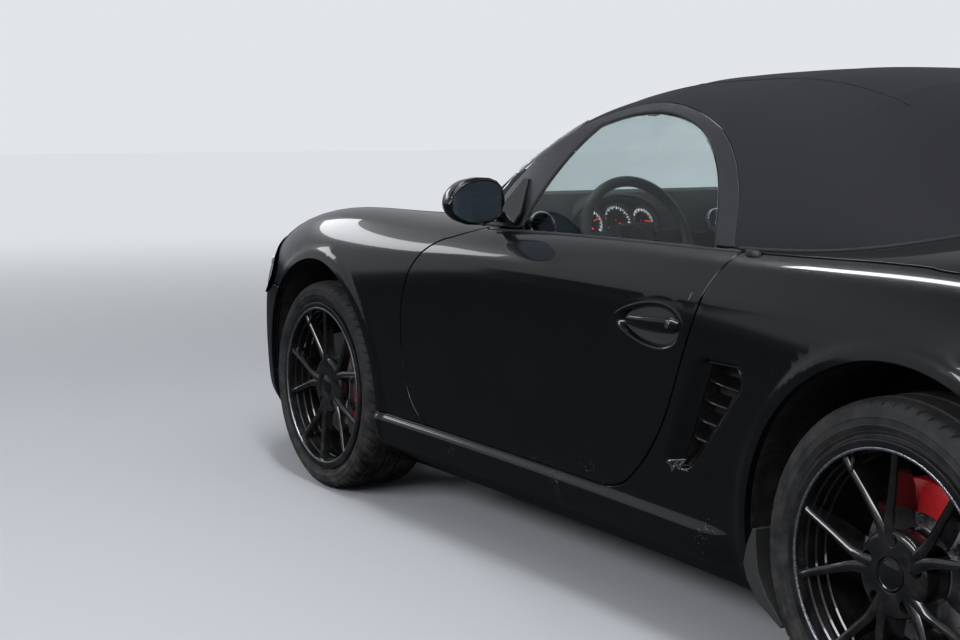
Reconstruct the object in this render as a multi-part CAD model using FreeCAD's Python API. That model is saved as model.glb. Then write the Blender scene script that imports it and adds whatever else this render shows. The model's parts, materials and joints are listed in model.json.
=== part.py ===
import FreeCAD, Part
import math
import os

# Open two-seat car with a closed fabric roof, in millimetres.
# +X points forward, +Y to the left, +Z up, and the origin lies on the ground
# under the middle of the car.

# Overall sizes
LENGTH = 4342.0
NOSE_X = LENGTH / 2
TAIL_X = -LENGTH / 2
WHEELBASE = 2415.0
FRONT_AXLE_X = 1288.0
REAR_AXLE_X = FRONT_AXLE_X - WHEELBASE
UNDERSIDE_Z = 140.0

# Clearances
MOVING_GAP = 5.0
SEAM = 0.3

# Wheels
FRONT_TRACK = 1486.0
REAR_TRACK = 1528.0
FRONT_TYRE_R = 323.5
REAR_TYRE_R = 334.0
FRONT_TYRE_W = 235.0
REAR_TYRE_W = 265.0
RIM_LIP_R = 258.0
RIM_SEAT_R = 241.0
HUB_BOLT_CIRCLE = 130.0
HUB_BOLTS = 5
FRONT_ARCH_R = 392.0
REAR_ARCH_R = 402.0
FRONT_WELL_Y = 440.0
REAR_WELL_Y = 600.0
KINGPIN_Y = 683.0

FRONT_HUB_Y = 800.0
REAR_HUB_Y = 807.0
FRONT_DISC_R = 159.0
REAR_DISC_R = 149.5
FRONT_DISC_T = 28.0
REAR_DISC_T = 24.0
SPINDLE_R = 25.0
SPINDLE_BORE_R = 25.05

# Cabin
CABIN_HALF_W = 715.0
CABIN_FRONT_X = 600.0
CABIN_REAR_X = -640.0
FLOOR_TOP_Z = 175.0
FIREWALL_FRONT_X = 720.0
COWL_Z = 780.0
SILL_TOP_Z = 312.0
SILL_REAR_X = -735.0
SILL_FRONT_X = 900.0
DOOR_INNER_Y = 728.0
DOOR_STEP_Y = 833.0
DOOR_STEP_IN = 25.0
DOOR_HINGE_X = 650.0
DOOR_HINGE_Y = 864.0
DOOR_HINGES_Z = (545.0, 680.0)
DOOR_ARM = 107.0
DOOR_NOSE_X = 690.0
DOOR_NOSE_Y = 768.0
DOOR_RAIL_Y = 779.0
DOOR_RAIL_DROP = 24.0
HINGE_EYE_R = 6.5
HINGE_PIN_R = 3.0
HINGE_BORE_R = 3.05
ROOF_CLEAR = 7.0
DOOR_TOP_FRONT_X = 382.0
DOOR_TOP_REAR_X = -594.0

# Lids
LID_T = 25.0
LID_ROOM = LID_T + MOVING_GAP
BONNET_HINGE_X = 742.0
BONNET_HINGE_Z = 886.0
BOOT_HINGE_X = -1290.0
BOOT_HINGE_Z = 975.0
BONNET_HINGES_Y = (-380.0, 380.0)
BOOT_HINGES_Y = (-330.0, 330.0)
BONNET_LUG = (118.0, -10.0)
BOOT_LUG = (88.0, 6.0)
BOOT_CHAMFER = ((-1385.0, 990.0), (-1357.0, 1014.0))
LUG_W = 12.0
LUG_T = 14.0
LID_OPENS = 60.0
LID_EYE_R = 7.0
LID_PIN_R = 3.0
LID_BORE_R = 3.05

# Nose and tail
BUMPER_BACK_X = NOSE_X - 481
NOSE_SPLIT_X = NOSE_X - 141
NOSE_SEAM = ((1850.0, 420.0), (2050.0, 600.0))
BUMPER_TOP_Z = 605.0
TAIL_FRONT_X = TAIL_X + 471
TAIL_SPLIT_X = TAIL_X + 111
TAIL_TOP_Z = 625.0
TAIL_FLOOR_Z = 400.0
ENGINE_FRONT_X = -720.0
ENGINE_BAY_REAR_X = -1420.0
DECK_Z = 820.0
DECK_REAR_X = -1440.0

# Towing eye socket and seat of the rear number plate
TOW_EYE_X = 2030.0
TOW_EYE_Y = -480.0
TOW_EYE_Z = 430.0
TOW_EYE_R = 9.0
PLATE_SEAT_X = TAIL_X + 24
PLATE_HALF_W = 265.0
PLATE_LOW_Z = 450.0
PLATE_HIGH_Z = 570.0

# Side intakes, tailpipe, mirrors and steering wheel
VENT_SEAT_Y = 800.0
VENT_RIM = 12.0
VENT_SLATS_Z = (607.0, 567.0, 525.0, 487.0)
TAILPIPE_Z = 262.0
TAILPIPE_R = 52.0
MIRROR_CENTRE = (365.0, 900.0, 950.0)
MIRROR_HALF_W = 86.0
MIRROR_HALF_H = 63.0
MIRROR_DEPTH = 114.0
MIRROR_ROUND = 46.0
STEERING_X = 330.0
STEERING_Y = 370.0
STEERING_Z = 828.0
STEERING_R = 185.0
STEERING_TILT = 20.0
KINGPIN_R = 11.0

# Body stations: x, half width, height of the widest line, then y and z of the
# shoulder, the crown and the top edge, y and z between edge and middle, and
# the height of the middle.
BODY = [
    (NOSE_X, 60, 430, 58, 470, 50, 498, 40, 514, 22, 520, 521),
    (NOSE_X, 310, 430, 303, 484, 280, 520, 235, 538, 130, 546, 548),
    (2138, 500, 434, 492, 512, 462, 562, 395, 590, 235, 598, 601),
    (2062, 640, 442, 632, 546, 598, 618, 512, 654, 330, 656, 658),
    (1940, 748, 464, 741, 594, 696, 696, 596, 741, 398, 702, 694),
    (1700, 846, 520, 841, 665, 782, 782, 650, 832, 430, 762, 738),
    (1450, 886, 560, 876, 712, 808, 832, 660, 886, 445, 805, 778),
    (1200, 892, 560, 884, 728, 816, 846, 680, 896, 455, 822, 808),
    (900, 884, 560, 884, 740, 836, 836, 715, 894, 480, 860, 856),
    (620, 874, 560, 878, 748, 852, 822, 765, 894, 510, 892, 894),
    (250, 868, 560, 876, 756, 864, 822, 800, 899, 540, 902, 904),
    (-200, 870, 560, 878, 756, 866, 826, 802, 912, 545, 910, 912),
    (-600, 884, 560, 886, 752, 866, 832, 802, 912, 545, 932, 938),
    (-900, 904, 560, 900, 748, 868, 842, 798, 922, 535, 975, 990),
    (-1200, 913, 560, 906, 742, 866, 852, 792, 933, 520, 1003, 1020),
    (-1500, 897, 555, 888, 728, 845, 838, 765, 915, 505, 985, 1003),
    (-1780, 846, 550, 838, 700, 790, 798, 706, 868, 470, 928, 943),
    (-1960, 780, 540, 772, 676, 726, 762, 650, 818, 450, 864, 879),
    (-2085, 660, 522, 652, 628, 616, 700, 552, 752, 380, 792, 804),
    (-2150, 500, 500, 492, 575, 462, 632, 408, 676, 270, 710, 722),
    (TAIL_X, 300, 480, 294, 530, 274, 575, 236, 606, 150, 628, 634),
    (TAIL_X, 60, 470, 58, 505, 50, 535, 40, 556, 22, 566, 568),
]

# Roof stations, windscreen included: x, then y and z of the foot, the lower
# side, the upper side, the edge and the middle of each half, and the height
# on the centre line.
ROOF = [
    (960, 700, 690, 640, 740, 540, 770, 440, 790, 240, 815, 820),
    (800, 755, 740, 705, 810, 620, 850, 500, 880, 280, 915, 930),
    (620, 795, 800, 745, 880, 680, 930, 560, 965, 330, 1015, 1045),
    (440, 800, 850, 745, 950, 700, 1035, 570, 1085, 350, 1130, 1158),
    (300, 800, 862, 740, 975, 672, 1105, 560, 1180, 350, 1205, 1222),
    (80, 800, 868, 735, 990, 640, 1160, 560, 1222, 360, 1262, 1268),
    (-150, 800, 872, 735, 990, 632, 1180, 560, 1243, 370, 1287, 1291),
    (-400, 800, 878, 738, 990, 650, 1160, 570, 1247, 380, 1295, 1298),
    (-600, 800, 885, 750, 990, 680, 1120, 590, 1225, 380, 1285, 1292),
    (-800, 790, 890, 755, 970, 690, 1060, 580, 1160, 370, 1235, 1250),
    (-960, 765, 895, 730, 945, 665, 1000, 550, 1060, 350, 1140, 1170),
    (-1110, 700, 900, 660, 940, 590, 970, 480, 1000, 300, 1040, 1060),
    (-1220, 610, 900, 560, 925, 490, 945, 390, 962, 230, 972, 975),
]
ROOF_T = 14.0
ROOF_FOOT_Z = 600.0


def vec(x, y, z):
    return FreeCAD.Vector(x, y, z)


def box(x0, x1, y0, y1, z0, z1):
    return Part.makeBox(x1 - x0, y1 - y0, z1 - z0, vec(x0, y0, z0))


def cylinder(point, axis, radius, height):
    return Part.makeCylinder(radius, height, vec(*point), vec(*axis))


def mirrored(shape):
    return shape.mirror(vec(0, 0, 0), vec(0, 1, 0))


def both_sides(shape):
    return Part.makeCompound([shape, mirrored(shape)])


def main_solid(shape):
    return max(shape.Solids, key=lambda solid: solid.Volume)


def path(points, place):
    """Closed wire through corners and three-point arcs."""
    edges = []
    start = points[0]
    last = start
    for item in list(points[1:]) + [start]:
        if len(item) == 4:
            end = (item[2], item[3])
            middle = place(item[0], item[1])
            arc = Part.Arc(place(*last), middle, place(*end))
            edges.append(arc.toShape())
        else:
            end = item
            if math.hypot(end[0] - last[0], end[1] - last[1]) < 1e-6:
                continue
            edges.append(Part.makeLine(place(*last), place(*end)))
        last = end
    return Part.Wire(edges)


def arc_centre(a, b, c):
    """Centre of the circle through three points."""
    d = 2 * (a[0] * (b[1] - c[1]) + b[0] * (c[1] - a[1])
             + c[0] * (a[1] - b[1]))
    aa = a[0] ** 2 + a[1] ** 2
    bb = b[0] ** 2 + b[1] ** 2
    cc = c[0] ** 2 + c[1] ** 2
    return ((aa * (b[1] - c[1]) + bb * (c[1] - a[1]) + cc * (a[1] - b[1])) / d,
            (aa * (c[0] - b[0]) + bb * (a[0] - c[0]) + cc * (b[0] - a[0])) / d)


def unit(x, y):
    length = math.hypot(x, y)
    return (x / length, y / length)


def shrunk(points, amount):
    """The same corners and arcs with every side moved inwards."""
    items = list(points)
    if len(items[-1]) == 4 and items[-1][2:] == items[0][-2:]:
        items[0] = items.pop()
    else:
        items[0] = items[0][-2:]
    count = len(items)
    ends = [item[-2:] for item in items]
    area = sum(ends[i - 1][0] * ends[i][1] - ends[i][0] * ends[i - 1][1]
               for i in range(count))
    sign = 1.0 if area > 0 else -1.0
    sides = []
    for i in range(count):
        start, end = ends[i - 1], ends[i]
        if len(items[i]) == 2:
            way = unit(end[0] - start[0], end[1] - start[1])
            sides.append((way, None, None, way))
            continue
        middle = items[i][:2]
        centre = arc_centre(start, middle, end)
        turn = ((middle[0] - start[0]) * (end[1] - middle[1])
                - (middle[1] - start[1]) * (end[0] - middle[0]))
        turn = 1.0 if turn > 0 else -1.0
        ways = [unit(-turn * (p[1] - centre[1]), turn * (p[0] - centre[0]))
                for p in (start, middle, end)]
        sides.append((ways[0], middle, ways[1], ways[2]))
    moved_ends = []
    for i in range(count):
        before = sides[i][3]
        after = sides[(i + 1) % count][0]
        n1 = (-sign * before[1], sign * before[0])
        n2 = (-sign * after[1], sign * after[0])
        scale = amount / (1.0 + n1[0] * n2[0] + n1[1] * n2[1])
        moved_ends.append((ends[i][0] + scale * (n1[0] + n2[0]),
                           ends[i][1] + scale * (n1[1] + n2[1])))
    result = [moved_ends[-1]]
    for i in range(count):
        if sides[i][1] is None:
            result.append(moved_ends[i])
        else:
            way = sides[i][2]
            result.append((sides[i][1][0] - sign * amount * way[1],
                           sides[i][1][1] + sign * amount * way[0])
                          + moved_ends[i])
    return result


def side_outline(points):
    return path(points, lambda a, b: vec(a, 0, b))


def plan_outline(points):
    return path(points, lambda a, b: vec(a, b, 0))


def rear_outline(points):
    return path(points, lambda a, b: vec(0, a, b))


def prism(wire, axis, low, high):
    face = Part.Face(wire)
    base = vec(*[low * part for part in axis])
    face.translate(base)
    return face.extrude(vec(*[(high - low) * part for part in axis]))


def knots_of(count):
    inner = count - 3
    return list(range(inner + 1)), [4] + [1] * (inner - 1) + [4]


def skin_solid(rows):
    """Solid under a cubic surface whose first and last columns are level."""
    surface = Part.BSplineSurface()
    u_knots, u_mults = knots_of(len(rows))
    v_knots, v_mults = knots_of(len(rows[0]))
    surface.buildFromPolesMultsKnots(
        rows, u_mults, v_mults, u_knots, v_knots, False, False, 3, 3)
    skin = surface.toShape()
    left = surface.vIso(0).toShape()
    right = surface.vIso(v_knots[-1]).toShape()
    front = surface.uIso(0).toShape()
    rear = surface.uIso(u_knots[-1]).toShape()
    front_line = Part.makeLine(rows[0][0], rows[0][-1])
    rear_line = Part.makeLine(rows[-1][0], rows[-1][-1])
    bottom = Part.Face(Part.Wire([left, rear_line, right, front_line]))
    cap_front = Part.Face(Part.Wire([front, front_line]))
    cap_rear = Part.Face(Part.Wire([rear, rear_line]))
    shell = Part.Shell([skin, bottom, cap_front, cap_rear])
    shell.sewShape()
    solid = Part.Solid(Part.Shell(shell.Faces))
    if solid.Volume < 0:
        solid.reverse()
    return solid


def body_row(station):
    x, w, zw, ys, zs, yc, zc, yt, zt, ym, zm, z0 = station
    half = [
        (0.78 * w, UNDERSIDE_Z),
        (0.965 * w, UNDERSIDE_Z + 16),
        (0.99 * w, UNDERSIDE_Z + 0.47 * (zw - UNDERSIDE_Z)),
        (w, zw), (ys, zs), (yc, zc), (yt, zt), (ym, zm), (0, z0),
    ]
    row = [vec(x, y, z) for y, z in half]
    row += [vec(x, -y, z) for y, z in half[-2::-1]]
    return row


def roof_row(station, inset):
    x, ya, za, yb, zb, yc, zc, yd, zd, ye, ze, z0 = station
    half = [
        (ya + 10 - inset, ROOF_FOOT_Z),
        (ya + 6 - inset, 0.5 * (ROOF_FOOT_Z + za)),
        (ya - inset, za),
        (yb - inset, zb - 0.25 * inset),
        (yc - 0.85 * inset, zc - 0.5 * inset),
        (yd - 0.6 * inset, zd - 0.8 * inset),
        (ye - 0.3 * inset, ze - inset),
        (0, z0 - inset),
    ]
    row = [vec(x, y, z) for y, z in half]
    row += [vec(x, -y, z) for y, z in half[-2::-1]]
    return row


# Door opening as seen from the side: corners, and arcs given by a point on
# the way and their end.
DOOR_OUTLINE = [
    (382, 960), (382, 887), (554, 838), (689, 761, 733, 679),
    (749, 564, 731, 453), (694, 362, 622, SILL_TOP_Z),
    (-176, SILL_TOP_Z), (-235, 320, -283, 339), (-402, 457, -470, 583),
    (-535, 745, -594, 900), (-612, 960),
]
ARCH_OUTER = [
    (480, 830), (480, 880), (374, 1038, 246, 1147), (-40, 1206, -297, 1162),
    (-470, 1050, -552, 890), (-556, 830),
]
ARCH_INNER = [
    (296, 830), (290, 880), (240, 1020, 158, 1147), (-20, 1184, -226, 1161),
    (-400, 1052, -486, 890), (-492, 830),
]
VENT_OUTLINE = [
    (-515, 662), (-637, 660), (-684, 652, -669, 599), (-558, 454),
    (-520, 414, -421, 410), (-406, 421),
]
BONNET_OUTLINE = [
    (760, 560), (1350, 545, 1850, 420), (2055, 0, 1850, -420),
    (1350, -545, 760, -560), (925, 0, 760, 560),
]
BOOT_OUTLINE = [
    (-1400, 530), (-1700, 515, -1990, 425), (-2050, 0, -1990, -425),
    (-1700, -515, -1400, -530), (-1352, 0, -1400, 530),
]
HEADER_LINE = [
    (250, 700), (300, 0, 250, -700), (1200, -700), (1200, 700),
]
SCREEN_OUTLINE = [
    (292, 570), (345, 0, 292, -570), (575, -735), (980, 0, 575, 735),
]
REAR_WINDOW = [
    (310, 1186), (432, 1130, 380, 1050), (0, 1034, -380, 1050),
    (-432, 1130, -310, 1186), (0, 1198, 310, 1186),
]
HEADLAMP = [
    (560, 640), (600, 560, 700, 560), (820, 600, 800, 700),
    (700, 740, 600, 700), (570, 680, 560, 640),
]
TAIL_LAMP = [
    (430, 700), (600, 640, 760, 660), (790, 720, 740, 770),
    (600, 780, 440, 740), (425, 720, 430, 700),
]


def moved(shape, x, y, z):
    copy = shape.copy()
    copy.translate(vec(x, y, z))
    return copy


def standing(piece):
    """The piece cut off just above the body and clear of the doors."""
    return main_solid(piece.cut(body_raised).cut(door_room))


def hinge_lug(x, y, z, way, lug, foot):
    """Swan-neck arm of a lid that turns about its eye without meeting the edge."""
    radius, top = lug
    outer = radius + LUG_W
    low = top - LID_OPENS - 12
    root = low + 9

    def at(reach, degrees):
        angle = math.radians(degrees)
        return (x + way * reach * math.cos(angle), z + reach * math.sin(angle))

    arm = prism(side_outline([
        at(outer, low), at(outer, 0.5 * (low + top)) + at(outer, top),
        at(radius, top), at(radius, 0.5 * (root + top)) + at(radius, root),
        (x + way * 5, z), (x - way * 5, z)]),
        (0, 1, 0), y - LUG_T / 2, y + LUG_T / 2)
    eye = cylinder((x, y - LUG_T / 2, z), (0, 1, 0), LID_EYE_R, LUG_T)
    near, far, foot_low, foot_high = foot
    block = box(min(near, far), max(near, far), y - LUG_T / 2, y + LUG_T / 2,
                foot_low, foot_high)
    bore = cylinder((x, y - LUG_T, z), (0, 1, 0), LID_BORE_R, 2 * LUG_T)
    return eye.fuse([arm, block]).cut(bore)


def lug_slot(x, y, z, way, lug):
    """Room that a lid's arm turns in."""
    reach = lug[0] + LUG_W + MOVING_GAP
    half = LUG_T / 2 + MOVING_GAP
    room = cylinder((x, y - half, z), (0, 1, 0), reach, 2 * half)
    ends = (x - way * 13, x + way * reach)
    return room.common(box(min(ends), max(ends), y - half, y + half,
                           z - reach, z + reach))


def hinge_ears(x, y, z, depth):
    """Two ears and a pin that hold the eye of a lid."""
    ears = []
    for side in (-11.5, 11.5):
        ear = cylinder((x, y + side - 4, z), (0, 1, 0), LID_EYE_R, 8)
        ears.append(ear)
        ears.append(box(x - LID_EYE_R, x + LID_EYE_R, y + side - 4,
                        y + side + 4, z - depth, z))
    pin = cylinder((x, y - 15, z), (0, 1, 0), LID_PIN_R, 30)
    return pin.fuse(ears)


def export(name, shape):
    shape.exportStep("parts/%s.step" % name)
    bounds = shape.BoundBox
    print("%-18s solids %d valid %s  %5.1f dm3  z %.0f..%.0f" % (
        name, len(shape.Solids), shape.isValid(), shape.Volume / 1e6,
        bounds.ZMin, bounds.ZMax))


os.makedirs("parts", exist_ok=True)

body = skin_solid([body_row(station) for station in BODY])
roof_outer = skin_solid([roof_row(station, 0.0) for station in ROOF])
roof_inner = skin_solid([roof_row(station, ROOF_T) for station in ROOF])
body_raised = moved(body, 0, 0, SEAM)

# Openings shared by the panels around them
door_hole = prism(side_outline(DOOR_OUTLINE), (0, 1, 0), CABIN_HALF_W, 1000)
lid_floor = moved(body, 0, 0, -LID_ROOM)
bonnet_hole = prism(plan_outline(BONNET_OUTLINE), (0, 0, 1), 500, 1200).cut(lid_floor)
boot_hole = prism(plan_outline(BOOT_OUTLINE), (0, 0, 1), 500, 1200).cut(lid_floor)
front_well = cylinder((FRONT_AXLE_X, FRONT_WELL_Y, FRONT_TYRE_R), (0, 1, 0),
                      FRONT_ARCH_R, 600)
rear_well = cylinder((REAR_AXLE_X, REAR_WELL_Y, REAR_TYRE_R), (0, 1, 0),
                     REAR_ARCH_R, 600)
sill_block = box(SILL_REAR_X, SILL_FRONT_X, CABIN_HALF_W, 1000, 100,
                 SILL_TOP_Z)

# Lamps
lamp_back = moved(body, -45, 0, -20)
headlamp_hole = prism(rear_outline(HEADLAMP), (1, 0, 0), 1600, 2300).cut(lamp_back)
lamp_wire = rear_outline(shrunk(HEADLAMP, SEAM))
headlamp = prism(lamp_wire, (1, 0, 0), 1600, 2300).common(body)
headlamp = main_solid(headlamp.cut(moved(lamp_back, SEAM, 0, SEAM)))
tail_back = moved(body, 45, 0, -12)
tail_hole = prism(rear_outline(TAIL_LAMP), (1, 0, 0), -2300, -1600).cut(tail_back)
tail_wire = rear_outline(shrunk(TAIL_LAMP, SEAM))
tail_lamp = prism(tail_wire, (1, 0, 0), -2300, -1600)
tail_lamp = tail_lamp.common(body).cut(moved(tail_back, -SEAM, 0, SEAM))
tail_lamp = main_solid(tail_lamp)
export("headlamps", both_sides(headlamp))
export("tail_lamps", both_sides(tail_lamp))

# Front end
bumper_side = prism(side_outline([
    (FRONT_AXLE_X, 100), (2300, 100), (2300, 800), (NOSE_SPLIT_X, 800),
    (NOSE_SPLIT_X, BUMPER_TOP_Z), (FRONT_AXLE_X, BUMPER_TOP_Z)]),
    (0, 1, 0), FRONT_WELL_Y, 1100)
bumper_corner = prism(plan_outline([
    NOSE_SEAM[0], NOSE_SEAM[1], (2300, NOSE_SEAM[1][1]), (2300, 0),
    (NOSE_SEAM[0][0], 0)]), (0, 0, 1), 100, 900)
bumper_side = bumper_side.fuse(bumper_corner)
bumper_space = bumper_side.fuse([
    mirrored(bumper_side),
    box(BUMPER_BACK_X, 2300, -FRONT_WELL_Y, FRONT_WELL_Y, 100, 900)])
centre_grille = box(NOSE_X - 91, NOSE_X - 79, -330, 330, 190, 300)
side_grille = box(NOSE_X - 211, NOSE_X - 199, 430, 690, 200, 330)
centre_mouth = box(NOSE_X - 91, 2300, -330, 330, 190, 300)
side_mouth = box(NOSE_X - 211, 2300, 430, 690, 200, 330)
grille_holes = [centre_mouth, side_mouth, mirrored(side_mouth)]
both_wells = [front_well, mirrored(front_well)]
bumper = body.common(bumper_space).cut(
    [bonnet_hole, headlamp_hole, mirrored(headlamp_hole)]
    + grille_holes + both_wells)
bumper = bumper.cut([
    box(1740, 1980, -380, 380, 300, 560),
    cylinder((TOW_EYE_X, TOW_EYE_Y, TOW_EYE_Z), (1, 0, 0), TOW_EYE_R, 300)])
export("front_bumper", main_solid(bumper))
grilles = [centre_grille, side_grille, mirrored(side_grille)]
export("front_grilles", Part.makeCompound(grilles))

fender_space = box(FIREWALL_FRONT_X, NOSE_SPLIT_X, FRONT_WELL_Y, 1000, 100,
                   1100)
fender_space = fender_space.fuse(
    box(0, FIREWALL_FRONT_X, CABIN_HALF_W, 1000, SILL_TOP_Z, 1100))
fender = body.common(fender_space).cut(
    [bumper_side, sill_block, door_hole, front_well, bonnet_hole,
     headlamp_hole])
fender = main_solid(fender)
for z in DOOR_HINGES_Z:
    arm = box(DOOR_HINGE_X - 6, DOOR_HINGE_X + 6, DOOR_HINGE_Y - DOOR_ARM,
              DOOR_HINGE_Y, z - 12, z + 12)
    leg = box(DOOR_HINGE_X - 6, 760, DOOR_HINGE_Y - DOOR_ARM,
              DOOR_HINGE_Y - DOOR_ARM + 15, z - 12, z + 12)
    eye = cylinder((DOOR_HINGE_X, DOOR_HINGE_Y, z - 12), (0, 0, 1),
                   HINGE_EYE_R, 24)
    hole = cylinder((DOOR_HINGE_X, DOOR_HINGE_Y, z - 13), (0, 0, 1),
                    HINGE_BORE_R, 26)
    fender = fender.fuse([arm, leg, eye]).cut(hole)
fender = main_solid(fender)
export("front_fenders", both_sides(fender))

cowl_space = box(CABIN_FRONT_X, FIREWALL_FRONT_X, -CABIN_HALF_W,
                 CABIN_HALF_W, COWL_Z, 1100)
cowl_space = cowl_space.fuse(box(FIREWALL_FRONT_X, 960, -FRONT_WELL_Y,
                                 FRONT_WELL_Y, COWL_Z, 1100))
bonnet_slots = [
    lug_slot(BONNET_HINGE_X, y, BONNET_HINGE_Z, 1, BONNET_LUG)
    for y in BONNET_HINGES_Y]
cowl = main_solid(body.common(cowl_space).cut([bonnet_hole] + bonnet_slots))
for y in BONNET_HINGES_Y:
    cowl = cowl.fuse(hinge_ears(BONNET_HINGE_X, y, BONNET_HINGE_Z, 30))
cowl = main_solid(cowl)
export("cowl", cowl)
tub = box(CABIN_FRONT_X, FIREWALL_FRONT_X, -CABIN_HALF_W, CABIN_HALF_W, 100,
          1100)
tub = tub.fuse(box(FIREWALL_FRONT_X, BUMPER_BACK_X, -FRONT_WELL_Y,
                   FRONT_WELL_Y, 100, 1100))
tub = body.common(tub).cut([
    cowl_space, bonnet_hole, box(990, BUMPER_BACK_X - 50, -400, 400, 330, 1100)]
    + bonnet_slots)
export("front_tub", main_solid(tub))

bonnet_wire = plan_outline(shrunk(BONNET_OUTLINE, MOVING_GAP))
bonnet = prism(bonnet_wire, (0, 0, 1), 500, 1200)
bonnet = main_solid(bonnet.common(body).cut(moved(body, 0, 0, -LID_T)))
for y in BONNET_HINGES_Y:
    bonnet = bonnet.fuse(hinge_lug(BONNET_HINGE_X, y, BONNET_HINGE_Z, 1,
                                     BONNET_LUG, (862, 905, 838, 850)))
bonnet = main_solid(bonnet)
export("bonnet", bonnet)

# Floor and sides
export("floor_pan", box(CABIN_REAR_X, CABIN_FRONT_X, -CABIN_HALF_W,
                        CABIN_HALF_W, UNDERSIDE_Z, FLOOR_TOP_Z))
sill = main_solid(body.common(sill_block).cut([front_well, rear_well]))
export("sills", both_sides(sill))

# Doors
door_wire = side_outline(shrunk(DOOR_OUTLINE, MOVING_GAP))
door = prism(door_wire, (0, 1, 0), DOOR_INNER_Y, 1000)
step_wire = side_outline(shrunk(DOOR_OUTLINE, MOVING_GAP + DOOR_STEP_IN))
step = prism(step_wire, (0, 1, 0), DOOR_INNER_Y - 1, DOOR_STEP_Y)
step = step.fuse(box(0, 800, DOOR_INNER_Y - 1, DOOR_STEP_Y, 300, 1000))
step = step.cut(box(DOOR_NOSE_X, 801, DOOR_INNER_Y - 2, DOOR_NOSE_Y, 299, 1001))
step_cut = box(-700, 800, DOOR_INNER_Y - 1, DOOR_STEP_Y, 300, 1000).cut(step)
rail_room = box(-700, 600, DOOR_INNER_Y - 1, DOOR_RAIL_Y, 700, 1000)
rail_room = rail_room.cut(moved(body, 0, 0, -DOOR_RAIL_DROP))
door = body.common(door).cut([step_cut, rail_room])
for z in DOOR_HINGES_Z:
    pocket = box(DOOR_HINGE_X - 14, 800, DOOR_INNER_Y - 5,
                 DOOR_HINGE_Y + HINGE_EYE_R + 2, z - 20, z + 20)
    pin = cylinder((DOOR_HINGE_X, DOOR_HINGE_Y, z - 25), (0, 0, 1),
                   HINGE_PIN_R, 50)
    door = door.cut(pocket).fuse(pin)
door = main_solid(door)
export("door_left", door)
export("door_right", mirrored(door))

# Roof, screens and side windows
shell = roof_outer.cut(roof_inner)
door_room = moved(body, 0, 0, ROOF_CLEAR).common(
    box(DOOR_TOP_REAR_X - ROOF_CLEAR, DOOR_TOP_FRONT_X + ROOF_CLEAR, -1000,
        1000, 0, 1200))
arch_block = prism(side_outline(ARCH_OUTER), (0, 1, 0), 400, 1000)
arch_hole = prism(side_outline(ARCH_INNER), (0, 1, 0), 400, 1000)
arch_blocks = [arch_block, mirrored(arch_block)]
header = prism(plan_outline(HEADER_LINE), (0, 0, 1), 700, 1500)
screen_hole = prism(plan_outline(SCREEN_OUTLINE), (0, 0, 1), 700, 1500)
rear_hole = prism(rear_outline(REAR_WINDOW), (1, 0, 0), -1300, -560)
arch_wire = side_outline(shrunk(ARCH_OUTER, SEAM))
arch = shell.common(prism(arch_wire, (0, 1, 0), 400, 1000).cut(arch_hole))
arch = standing(main_solid(arch))
export("side_arches", both_sides(arch))
soft_top = main_solid(shell.cut([header, rear_hole] + arch_blocks))
soft_top = standing(soft_top)
export("soft_top", soft_top)
frame = shell.common(header).cut([screen_hole] + arch_blocks)
frame = standing(main_solid(frame))
export("windscreen_frame", frame)
screen_wire = plan_outline(shrunk(SCREEN_OUTLINE, SEAM))
screen = shell.common(prism(screen_wire, (0, 0, 1), 700, 1500))
screen = standing(main_solid(screen.cut(moved(roof_inner, 0, 0, 6))))
export("windscreen_glass", screen)
rear_wire = rear_outline(shrunk(REAR_WINDOW, SEAM))
pane = shell.common(prism(rear_wire, (1, 0, 0), -1300, -560))
export("rear_window", main_solid(pane))

glass_wire = side_outline(shrunk(ARCH_INNER, ROOF_CLEAR))
glass = prism(glass_wire, (0, 1, 0), 400, 1000)
glass = main_solid(glass.common(shell)).cut(body_raised)
glass = main_solid(glass.cut(moved(roof_inner, 0, 8, 2)))
export("door_glass_left", glass)
export("door_glass_right", mirrored(glass))

# Side intakes
vent_hole = prism(side_outline(VENT_OUTLINE), (0, 1, 0), VENT_SEAT_Y, 1000)
vent_wire = side_outline(shrunk(VENT_OUTLINE, SEAM))
vent = prism(vent_wire, (0, 1, 0), VENT_SEAT_Y, 1000).common(body)
vent_mouth = side_outline(shrunk(VENT_OUTLINE, VENT_RIM))
vent = vent.cut(prism(vent_mouth, (0, 1, 0), VENT_SEAT_Y, 1000))
for z in VENT_SLATS_Z:
    middle_x = -557 + (607 - z) * 0.52
    slat = box(middle_x - 75, middle_x + 75, VENT_SEAT_Y, VENT_SEAT_Y + 52,
               z - 5, z + 5)
    vent = vent.fuse(slat.common(prism(vent_wire, (0, 1, 0), 700, 1000)))
vent = main_solid(vent)
export("side_intakes", both_sides(vent))

# Rear end
tail_side = prism(side_outline([
    (REAR_AXLE_X, 100), (-2300, 100), (-2300, 1100), (TAIL_SPLIT_X, 1100),
    (TAIL_SPLIT_X, TAIL_TOP_Z), (REAR_AXLE_X, TAIL_TOP_Z)]),
    (0, 1, 0), REAR_WELL_Y, 1100)
tail_middle = prism(side_outline([
    (TAIL_FRONT_X, 100), (-2300, 100), (-2300, 1100), (TAIL_SPLIT_X, 1100),
    (TAIL_SPLIT_X, TAIL_FLOOR_Z), (TAIL_FRONT_X, TAIL_FLOOR_Z)]),
    (0, 1, 0), -REAR_WELL_Y, REAR_WELL_Y)
tail_space = tail_side.fuse([mirrored(tail_side), tail_middle])
rear_wells = [rear_well, mirrored(rear_well)]
tail_holes = [tail_hole, mirrored(tail_hole)]
pipe_hole = cylinder((-2300, 0, TAILPIPE_Z), (1, 0, 0), TAILPIPE_R + 12, 500)
silencer_room = box(TAIL_FRONT_X - 320, TAIL_FRONT_X, -430, 430, 100,
                    TAIL_FLOOR_Z)
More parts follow.
